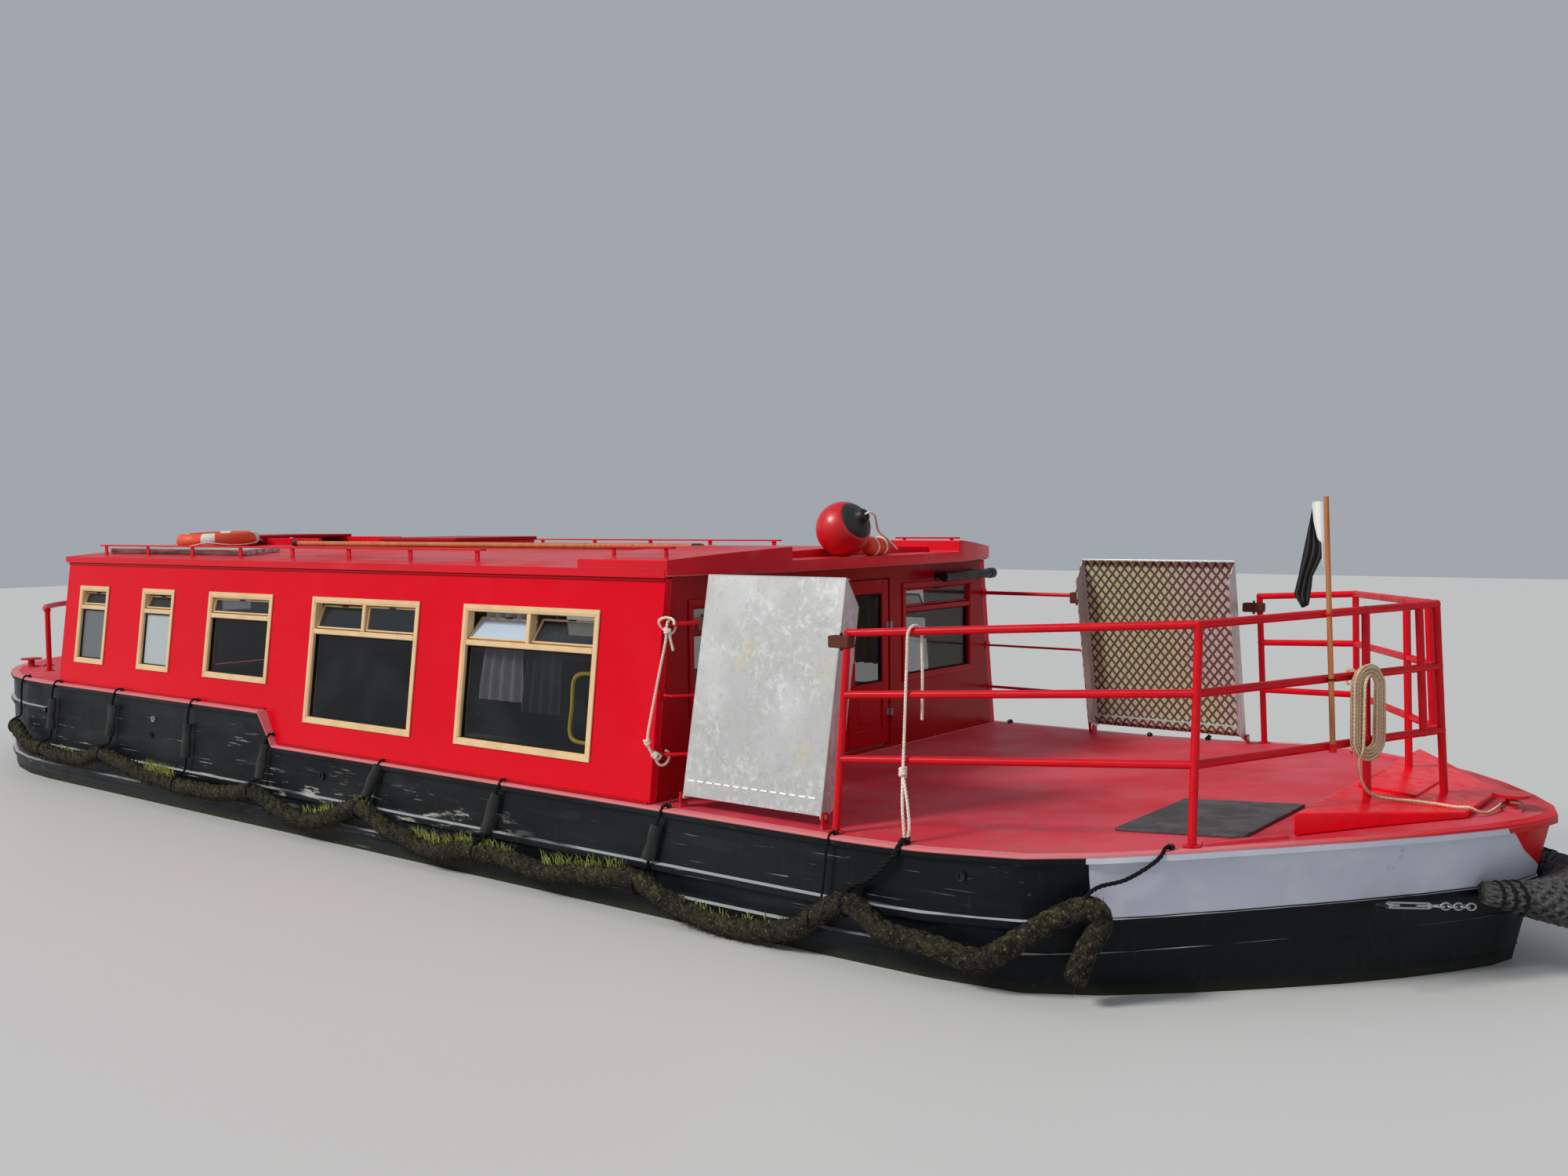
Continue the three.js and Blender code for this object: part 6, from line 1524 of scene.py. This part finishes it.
# Boarding ramps keep their CAD trays; these are the fittings and edges on them, drawn on the starboard side
def ramp_fittings(side):
    x0, x1 = RAMP_SPAN[side]
    hinge = spot(0, HINGE_Y, DECK_Z + HINGE_LIFT)
    place = hinge @ Matrix.Rotation(-RAMP_LEAN, 4, "X")
    mirror = side == "port"
    face = -RAMP_FRONT
    piece = Piece(f"ramp_fittings_{side}")
    # A row of short pale welds over the foot's fold
    count = round((x1 - x0 - 0.060) / WELD_PITCH)
    for k in range(count):
        x = x0 + 0.030 + WELD_PITCH * k
        piece.box((x, face - 0.0030, 0.078), (x + 0.040, face - 0.0002, 0.087), WELD, 0.0012, place)
    # Rounded edges down each side and along the top
    for x in (x0 + 0.006, x1 - 0.006):
        line = [place @ Vector((x, face + 0.0045, z)) for z in (0.010, 0.5, 1.0, RAMP_HIGH - 0.004)]
        piece.pipe(line, 0.0055, ZINC, 10)
    corners = [place @ Vector((x, face + 0.0040, RAMP_HIGH - 0.0012)) for x in (x0 + 0.001, x1 - 0.001)]
    piece.pipe(corners, 0.0050, ZINC, 10)
    piece.done(f"boarding_ramp_{side}", "galvanised", (), 35, mirror)
    brackets = Piece(f"ramp_brackets_{side}")
    # A rusty bracket on the stub rail's end and one on the gate post, clear of the ramp as it drops
    post_y = -RAIL_FOOT_Y + STANCHION_LEAN * 0.905 / RAIL_HEIGHTS[0]
    stub_end = x0 - STUB_BACK
    for low, high in (
        ((stub_end - 0.050, stub_face_y(0.95) - 0.046, 0.906), (stub_end + 0.022, stub_face_y(0.95) + 0.030, 0.980)),
        ((x1 + 0.008, post_y - 0.032, 0.878), (GATE[side] + 0.026, post_y + 0.032, 0.936)),
    ):
        brackets.box(at(low[0], low[1], DECK_Z + low[2]), at(high[0], high[1], DECK_Z + high[2]), RUSTY, 0.006)
        x, y, middle = ((a + b) / 2 for a, b in zip(low, high))
        for z in (low[2] - 0.014, high[2] + 0.014):
            brackets.pipe([at(x, y, DECK_Z + middle), at(x, y, DECK_Z + z)], 0.007, IRON, 12)
    brackets.done(slot="red_paint", angle=35, mirror=mirror)


WELD = plain_paint("weld_row", (250, 248, 240), 0.6, chips=0.3)
for side in SIDES:
    ramp_fittings(side)


# Roof gear
def roof_seat(y):
    return roof_top(y) + HAIR


BAND_HALF = 12  # degrees


def lifebuoy():
    x, y, ring, thick = -5.900, -0.780, 0.265, 0.060
    tilt = atan(2 * ROOF_CAMBER * -y / ROOF_HALF ** 2)
    place = spot(x, y, roof_seat(y) + thick + 0.002) @ Matrix.Rotation(tilt, 4, "X")
    piece = Piece("roof_lifebuoy")
    major, minor = 72, 20
    bands = [90 * k + 45 for k in range(4)]

    def to_band(degrees):
        return min(abs((degrees - b + 180) % 360 - 180) for b in bands)

    for look, wanted in ((ORANGE, False), (BUOY_WHITE, True)):
        points, faces = [], []
        for i in range(major):
            degrees = 360 * i / major
            for k in range(minor):
                angle = tau * k / minor
                size = thick * (1.0 if to_band(degrees) < BAND_HALF else 0.985)
                radius = ring + size * cos(angle)
                turn = radians(degrees)
                around = radius * cos(turn), radius * sin(turn), size * sin(angle)
                points.append(place @ Vector(around))
        for i in range(major):
            if (to_band(360 * (i + 0.5) / major) < BAND_HALF) != wanted:
                continue
            here, ahead = i * minor, (i + 1) % major * minor
            for k, after in zip(range(minor), [*range(1, minor), 0]):
                faces.append((here + k, here + after, ahead + after, ahead + k))
        piece.add(points, faces, look)
    for b, c in zip(bands, bands[1:] + [bands[0] + 360]):
        line = []
        for i in range(17):
            share = i / 16
            turn = radians(mix(b, c, share))
            sag = 0.030 * sin(pi * share)
            out = ring + thick + 0.004 + sag
            line.append(place @ Vector((out * cos(turn), out * sin(turn), -0.010 - sag)))
        piece.rope(resample(line, 0.008), 0.005, WHITE_ROPE, sides=5)
    piece.done(slot="orange_plastic", replaces=("lifebuoy",), angle=60)


def boat_pole():
    y = -0.560
    z = roof_seat(y) + 0.0205
    piece = Piece("long_boat_pole")
    piece.tube([at(mix(-5.150, -0.720, i / 40), y + 0.0006 * sin(i), z) for i in range(41)], 0.0195, POLE_WOOD, 18)
    for x in (-5.150, -0.800):
        piece.tube([at(x + 0.002, y, z), at(x + 0.078, y, z)], 0.0202, IRON, 18)
    piece.done(slot="plywood", replaces=("boat_pole",), angle=50)


SHELF_Z = DECK_Z + 1.266
EYE_WAY = Vector((0.89, -0.12, 0.44)).normalized()


def ball_fender():
    """A round fender on its side: red, with a black cap about its eye and a white cord from it."""
    radius, share = 0.166, cos(radians(45))
    centre = at(0.134, -0.245, SHELF_Z + 0.1653)
    place = Matrix.Translation(centre) @ EYE_WAY.to_track_quat("Z", "Y").to_matrix().to_4x4()
    piece = Piece("round_fender")
    bands = {"ball": [], "cap": []}
    for i in range(33):
        angle = pi * (i / 32 - 0.5)
        point = (radius * cos(angle), radius * sin(angle))
        bands["cap" if sin(angle) > share else "ball"].append(point)
    ball, cap = bands["ball"], bands["cap"]
    ball[0] = (0, -radius)
    piece.lathe([*ball, (0, ball[-1][1])], place, VINYL, 48)
    rim = (ball[-1][0] + 0.0012, ball[-1][1] - 0.004)
    neck = [(0.058, radius * 0.955)]
    neck += [(x, radius + z) for x, z in ((0.046, 0.002), (0.041, 0.020), (0.036, 0.034), (0, 0.036))]
    round_cap = [(x + 0.0012, z + 0.0012) for x, z in cap if x > 0.062]
    piece.lathe([(0, rim[1]), rim, *round_cap, *neck], place, BLACK_PLASTIC, 48)
    eye = centre + EYE_WAY * (radius + 0.030)
    cord = smooth_line([
        eye,
        eye + Vector((0.022, 0.006, 0.012)),
        eye + Vector((0.030, 0.050, 0.004)),
        at(0.268, -0.060, SHELF_Z + 0.150),
        at(0.262, 0.020, SHELF_Z + 0.112),
        at(0.246, 0.110, SHELF_Z + 0.074),
        at(0.240, 0.180, SHELF_Z + 0.036),
    ], 0.006)
    piece.rope(cord, 0.007, WHITE_ROPE, sides=6)
    piece.done(slot="red_vinyl", replaces=("ball_fender",), angle=60)


def tube_fender():
    """A long fender with rounded ends, the port one red, and two turns of cord round it."""
    x, y0, y1, radius = 0.178, -0.068, 0.200, 0.0555
    z = SHELF_Z + 0.0541
    place = spot(x, y0, z) @ Matrix.Rotation(-pi / 2, 4, "X")
    length = y1 - y0
    piece = Piece("orange_fender")
    red = 0.070
    shoulder = length - red
    body = [(0, 0), (0.030, 0.004), (radius - 0.010, 0.016), (radius, 0.040), (radius, shoulder), (0, shoulder)]
    piece.lathe(body, place, ORANGE, 36)
    end = [(radius - 0.002 - 0.045 * (k / 6) ** 2, shoulder + red * k / 6) for k in range(7)]
    piece.lathe([(0, shoulder), *end, (0, length)], place, VINYL, 36)
    for along in (0.060, 0.150):
        ring = oval(Vector((0, 0, along)), Vector((radius + 0.002, 0, 0)), Vector((0, radius + 0.002, 0)), 28)
        piece.tube([place @ p for p in ring], 0.006, WHITE_ROPE, 8)
    piece.done(slot="orange_plastic", replaces=("tube_fender",), angle=50)


def deck_lamp():
    piece = Piece("deck_lamp_bar")
    x, z, radius = 0.120, CABIN_TOP_Z - 0.091, 0.036
    place = spot(x, 0.930, z) @ Matrix.Rotation(-pi / 2, 4, "X")
    length = 0.670
    near = [(0, 0), (radius - 0.006, 0), (radius, 0.006), (radius, 0.060), (radius - 0.004, 0.062)]
    piece.lathe([*near, *((r, length - z) for r, z in reversed(near))], place, BLACK_PLASTIC, 32)
    for y in (1.050, 1.480):
        piece.box(at(0.0005, y - 0.012, z - 0.014), at(x, y + 0.012, z + 0.014), IRON, 0.002)
        piece.box(at(0.0005, y - 0.030, z - 0.030), at(0.006, y + 0.030, z + 0.030), IRON, 0.002)
    piece.done(slot="black_paint", replaces=("deck_lamp",), angle=40)


lifebuoy()
boat_pole()
ball_fender()
tube_fender()
deck_lamp()


# Flagpole on the bow rail and its flag
POLE_R = 0.013


def pole_point(height):
    low = rail_point("starboard", 0.510, RAIL_HEIGHTS[2])
    high = rail_point("starboard", 0.499, RAIL_HEIGHTS[0])
    share = (height - RAIL_HEIGHTS[2]) / (RAIL_HEIGHTS[0] - RAIL_HEIGHTS[2])
    return low.lerp(high, share) + OUT_BOW * (RAIL_R + POLE_R + HAIR)


def flagpole():
    piece = Piece("bow_flagpole")
    staff = [pole_point(mix(0.3255, 1.4795, i / 30)) for i in range(31)]
    piece.tube(staff, lambda s: 0.0128 - 0.0018 * s, POLE_WOOD, 18)
    for height, look, wire in ((RAIL_HEIGHTS[0], RAIL_RED, 0.006), (RAIL_HEIGHTS[1], BLACK_ROPE, 0.0035)):
        piece.tube(oval(pole_point(height), OUT_BOW * 0.017, ALONG_BOW * 0.017, 20), wire, look, 8)
    piece.tube([pole_point(0.326), pole_point(0.365)], 0.0175, RAIL_RED, 18)
    piece.done(slot="bare_wood", replaces=("flagpole",), angle=50)


# The flag's edges seen from the side, within the CAD's outline: x and z in millimetres
BLACK_AFT = ((3060, 2640), (3055, 2630), (3040, 2549), (3018, 2438), (2992, 2299), (2972, 2215), (3008, 2154))
BLACK_FORE = (
    (3070, 2640), (3072, 2548), (3092, 2470), (3104, 2440), (3100, 2395), (3078, 2345), (3056, 2300), (3052, 2254),
    (3040, 2168), (3010, 2152),
)
WHITE_AFT = ((3058, 2640), (3053, 2629), (3061, 2548), (3079, 2470), (3097, 2452), (3101, 2345))
WHITE_FORE = ((3100, 2640), (3111, 2345))
FLAG_Y = {"black": -0.684, "white": -0.697}


def edge_at(edge, z):
    """Where an edge, listed from the top down, stands at a height."""
    for (xa, za), (xb, zb) in zip(edge, edge[1:]):
        if za >= z >= zb and za > zb:
            return mix(xa, xb, (za - z) / (za - zb))
    return edge[-1][0] if z < edge[-1][1] else edge[0][0]


def flag_sheet(name, aft, fore, y, z_top, z_foot, folds, look, deep):
    """Cloth between two edges, gathered in upright folds."""
    rows, across = 44, 14 * folds
    points = []
    for j in range(rows + 1):
        z = mix(z_top, z_foot, j / rows)
        x0, x1 = edge_at(aft, z), edge_at(fore, z)
        for i in range(across + 1):
            u = i / across
            grow = min(1.0, 4 * u, 4 * (1 - u) + 0.25)
            wave = deep * grow * sin(tau * folds * u + 0.9 * j / rows)
            points.append(at(mix(x0, x1, u) / 1000, y + wave, z / 1000))
    piece = Piece(name)
    piece.add(points, grid_faces(rows, across), look)
    return piece


def hanging_flag():
    """Black cloth with a white hoist strip, hanging in folds from the pole's head down to the rail."""
    white = flag_sheet("flag_hoist", WHITE_AFT, WHITE_FORE, FLAG_Y["white"], 2638, 2347, 1, FLAG_WHITE, 0.005)
    strip = white.done(slot="flag_cloth", angle=180)
    black = flag_sheet("hanging_flag", BLACK_AFT, BLACK_FORE, FLAG_Y["black"], 2638, 2156, 3, FLAG_BLACK, 0.0085)
    made = black.done(slot="flag_cloth", replaces=("furled_flag",), angle=180)


flagpole()
hanging_flag()


# Steering, and the guard by the inner steps
# The bar's bends, as the CAD has them, from the rudder post along and up; the handle's radii and lengths
TILLER_BAR = (
    (0, 0.002), (0, 0.060), (0.008, 0.200), (0.020, 0.350), (0.050, 0.510),
    (0.120, 0.670), (0.220, 0.750), (0.330, 0.795), (0.500, 0.822), (0.700, 0.838),
)
TILLER_HANDLE = (
    (0, 0), (0.019, 0), (0.020, 0.010), (0.015, 0.018), (0.017, 0.060), (0.019, 0.130),
    (0.017, 0.200), (0.014, 0.235), (0.018, 0.248), (0.014, 0.259), (0, 0.260),
)


def tiller():
    piece = Piece("swan_neck_tiller")
    x, z = -8.700, STERN_Z + 0.070
    line = [at(x + along, 0, z + up) for along, up in TILLER_BAR]
    piece.tube(smooth_line(line, 0.012), lambda s: 0.024 - 0.007 * s, BRASS, 20)
    handle = Matrix.Translation(line[-1]) @ Matrix.Rotation(radians(86), 4, "Y")
    piece.lathe(TILLER_HANDLE, handle, POLE_WOOD, 24)
    collar = spot(x, 0, z - 0.002)
    piece.lathe([(0, 0), (0.036, 0), (0.036, 0.020), (0.028, 0.030), (0, 0.030)], collar, BRASS, 24)
    piece.done("steering", "bronze", ("tiller",), 40)


def entry_guard():
    """A yellow hoop of tube inside the front window, beside the steps."""
    piece = Piece("yellow_guard")
    x, y0, y1, top = -0.560, -1.330, -0.860, 1.880
    floor = 0.2605
    bend = 0.070
    quarter = [(bend * (1 - cos(a)), bend * (1 - sin(a))) for a in (pi / 2 * k / 6 for k in range(7))]
    corners = [at(x, y0, floor)]
    corners += [at(x, y0 + in_, top - down) for in_, down in quarter]
    corners += [at(x, y1 - in_, top - down) for down, in_ in quarter]
    corners += [at(x, y1, floor)]
    piece.pipe(corners, 0.0168, YELLOW)
    piece.pipe([at(x, y0, 1.300), at(x, y1, 1.300)], 0.0150, YELLOW)
    plate = [(0, 0), (0.038, 0), (0.038, 0.006), (0.024, 0.010), (0, 0.010)]
    for y in (y0, y1):
        piece.lathe(plate, spot(x, y, floor), YELLOW, 20)
    piece.done(slot="yellow_paint", replaces=("entry_guard",), angle=50)


def window_guard(side):
    """A yellow rail across the fore end of the foremost side window, held on the cabin side ahead of it."""
    piece = Piece(f"window_guard_{side}")
    place = side_plane(SIDES[side])
    aft, fore, low, high, bend = -0.800, -0.380, 0.268, 0.640, 0.036
    wall, off = -0.052, -0.160
    path = [(fore, high, wall), (fore, high, off + bend), (fore - bend, high, off), (aft + bend, high, off)]
    path += [(aft, high - bend, off), (aft, (low + high) / 2, off), (aft, low + bend, off)]
    path += [(aft + bend, low, off), (fore - bend, low, off), (fore, low, off + bend), (fore, low, wall)]
    piece.tube(smooth_line([place @ Vector((x, z * UPHILL, y)) for x, z, y in path], 0.010), 0.0125, YELLOW, 14)
    for z in (low, high):
        foot = place @ Matrix.Translation((fore, z * UPHILL, wall)) @ Matrix.Rotation(pi, 4, "X")
        piece.lathe([(0, 0), (0.030, 0), (0.030, 0.005), (0.016, 0.008), (0, 0.008)], foot, YELLOW, 20)
    piece.done(slot="yellow_paint", angle=50)


tiller()
entry_guard()
for side in SIDES:
    window_guard(side)


# Small fittings on the hull and the cabin
def outlet(piece, x, z, sign, radius, look):
    y = sign * (half_beam(x) + 0.0004)
    place = spot(x, y, z) @ Matrix.Rotation(-sign * pi / 2, 4, "X")
    profile = ((0, 0.002), (0.55, 0.002), (0.60, 0.010), (0.9, 0.012), (1, 0.006), (1, -0.002), (0, -0.002))
    piece.lathe([(radius * share, z) for share, z in profile], place, look, 24)


OUTLETS = (
    (-5.020, 1.130, 0.024, BRIGHT), (-5.060, 1.010, 0.024, IRON),
    (-2.900, 0.930, 0.026, IRON), (1.900, 0.990, 0.024, IRON),
)


def hull_fittings(side):
    sign = SIDES[side]
    piece = Piece(f"hull_fittings_{side}")
    for x, z, radius, look in OUTLETS:
        outlet(piece, x, z, sign, radius, look)
    # Lacing eyes along the deck edge, where the fender's ropes are made fast
    for x_fender, ahead, _, _ in HANGERS:
        x = (x_fender + ahead) / 1000
        top = gunwale(x)
        y = sign * (half_beam(x) - 0.030)
        ring = oval(at(x, y, top + 0.008), Vector((0.016, 0, 0)), UP * 0.016, 24)[:13]
        piece.tube(ring, 0.004, IRON, 8)
    piece.done(slot="hull_black", angle=40)


def cabin_fittings():
    """A rain strip over the windows and a bead at each side's foot."""
    piece = Piece("cabin_trim")
    for sign in SIDES.values():
        place = side_plane(sign)
        # A rain strip along the top of each side
        piece.box((-6.595, 1.172 * UPHILL, PROUD), (-0.004, 1.186 * UPHILL, 0.012), SHADED_TRIM_RED, 0.004, place)
        # A rubbing bead where the side meets the gunwale
        for x0, x1, foot in ((-6.590, STEP_TOP_X - 0.010, 0.222), (STEP_FOOT_X + 0.010, -0.010, 0.002)):
            piece.box((x0, foot, PROUD), (x1, foot + 0.014, 0.010), SHADED_TRIM_RED, 0.004, place)
    piece.done(slot="red_paint", angle=35)


for side in SIDES:
    hull_fittings(side)
cabin_fittings()


def hood_handrails():
    """Short grab rails on the hoods."""
    piece = Piece("hood_grab_rails")
    for sign in SIDES.values():
        y = sign * 1.500
        z = roof_top(y) + 0.051
        for x in (-0.560, -0.160):
            piece.box(at(x - 0.012, y - 0.006, z - 0.004), at(x + 0.012, y + 0.006, z + 0.040), RAIL_RED, 0.002)
        piece.box(at(-0.630, y - 0.018, z + 0.036), at(-0.100, y + 0.018, z + 0.048), RAIL_RED, 0.005)
    piece.done(slot="red_paint", angle=40)


hood_handrails()


# Dressing of the CAD's own meshes
def dress(name, look, edge):
    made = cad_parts[name]
    mesh = made.data
    if mesh.attributes.get("custom_normal"):
        mesh.attributes.remove(mesh.attributes["custom_normal"])
    mesh.materials.clear()
    mesh.materials.append(look)
    mesh.polygons.foreach_set("material_index", [0] * len(mesh.polygons))
    mesh.polygons.foreach_set("use_smooth", [True] * len(mesh.polygons))
    weld = made.modifiers.new("weld", "WELD")
    weld.merge_threshold = 0.0001
    flat = made.modifiers.new("flat", "DECIMATE")
    flat.decimate_type, flat.angle_limit = "DISSOLVE", radians(0.6)
    bevel = made.modifiers.new("edge", "BEVEL")
    bevel.width, bevel.segments, bevel.limit_method = edge, 2, "ANGLE"
    bevel.angle_limit, bevel.harden_normals = radians(38), True


DRESSED = (
    ("hull", HULL, 0.004), ("stern_deck", DECK, 0.003), ("foredeck", DECK, 0.003),
    ("cabin_side_starboard", RED, 0.003), ("cabin_side_port", RED, 0.003), ("cabin_floor", FLOOR_WOOD, 0.004),
    ("front_wall", SHADED_FRONT_RED, 0.003), ("rear_wall", REAR_RED, 0.003), ("cabin_roof", ROOF_RED, 0.004),
    ("front_canopy", ROOF_RED, 0.006), ("sliding_hatch", HATCH_RED, 0.004), ("roof_hatch_lid", HATCH_RED, 0.008),
    ("bow_locker", LOCKER_RED, 0.010), ("bow_locker_lid", LOCKER_RED, 0.003),
    ("deck_mat", MAT, 0.003), ("gangplank", PLANK_WOOD, 0.004),
    ("boarding_ramp_starboard", RAMP_ZINC, 0.0022), ("boarding_ramp_port", RAMP_ZINC, 0.0022),
    ("rudder", IRON, 0.004), ("propeller", BRASS, 0.002), ("engine", ENGINE, 0.020),
)
for name, look, edge in DRESSED:
    dress(name, look, edge)


# Floor at the waterline, soft light
FLOOR_HALF = 40
SKY_STRENGTH = 0.42
# Turn in degrees, strength, spread in degrees, colour
SUNS = (
    ("key", (52, 0, -32), 2.55, 14, (1.0, 0.97, 0.92)),
    ("fill", (60, 0, 62), 0.22, 60, (0.92, 0.96, 1.0)),
)


def studio():
    floor = bpy.data.meshes.new("floor")
    corners = [(x * FLOOR_HALF, y * FLOOR_HALF, WATER_Z) for x, y in ((-1, -1), (1, -1), (1, 1), (-1, 1))]
    floor.from_pydata(corners, [], [(0, 1, 2, 3)])
    pale = Look("pale_floor", (206, 206, 204), 0.55)
    pale.paint(pale.clouds(0.4, 0.7, 0.25, 2.0), srgb(212, 212, 210), 0.15)
    floor.materials.append(pale.done())
    made = bpy.data.objects.new("floor", floor)
    bpy.context.scene.collection.objects.link(made)
    world = bpy.data.worlds.new("studio")
    world.use_nodes = True
    sky = world.node_tree.nodes["Background"]
    sky.inputs["Color"].default_value = (0.86, 0.91, 1.0, 1)
    sky.inputs["Strength"].default_value = SKY_STRENGTH
    bpy.context.scene.world = world
    for name, turn, strength, spread, colour in SUNS:
        light = bpy.data.lights.new(name, "SUN")
        light.energy, light.angle, light.color = strength, radians(spread), colour
        lamp = bpy.data.objects.new(name, light)
        lamp.rotation_euler = [radians(degrees) for degrees in turn]
        bpy.context.scene.collection.objects.link(lamp)
    bpy.context.scene.view_settings.view_transform = "Standard"


studio()
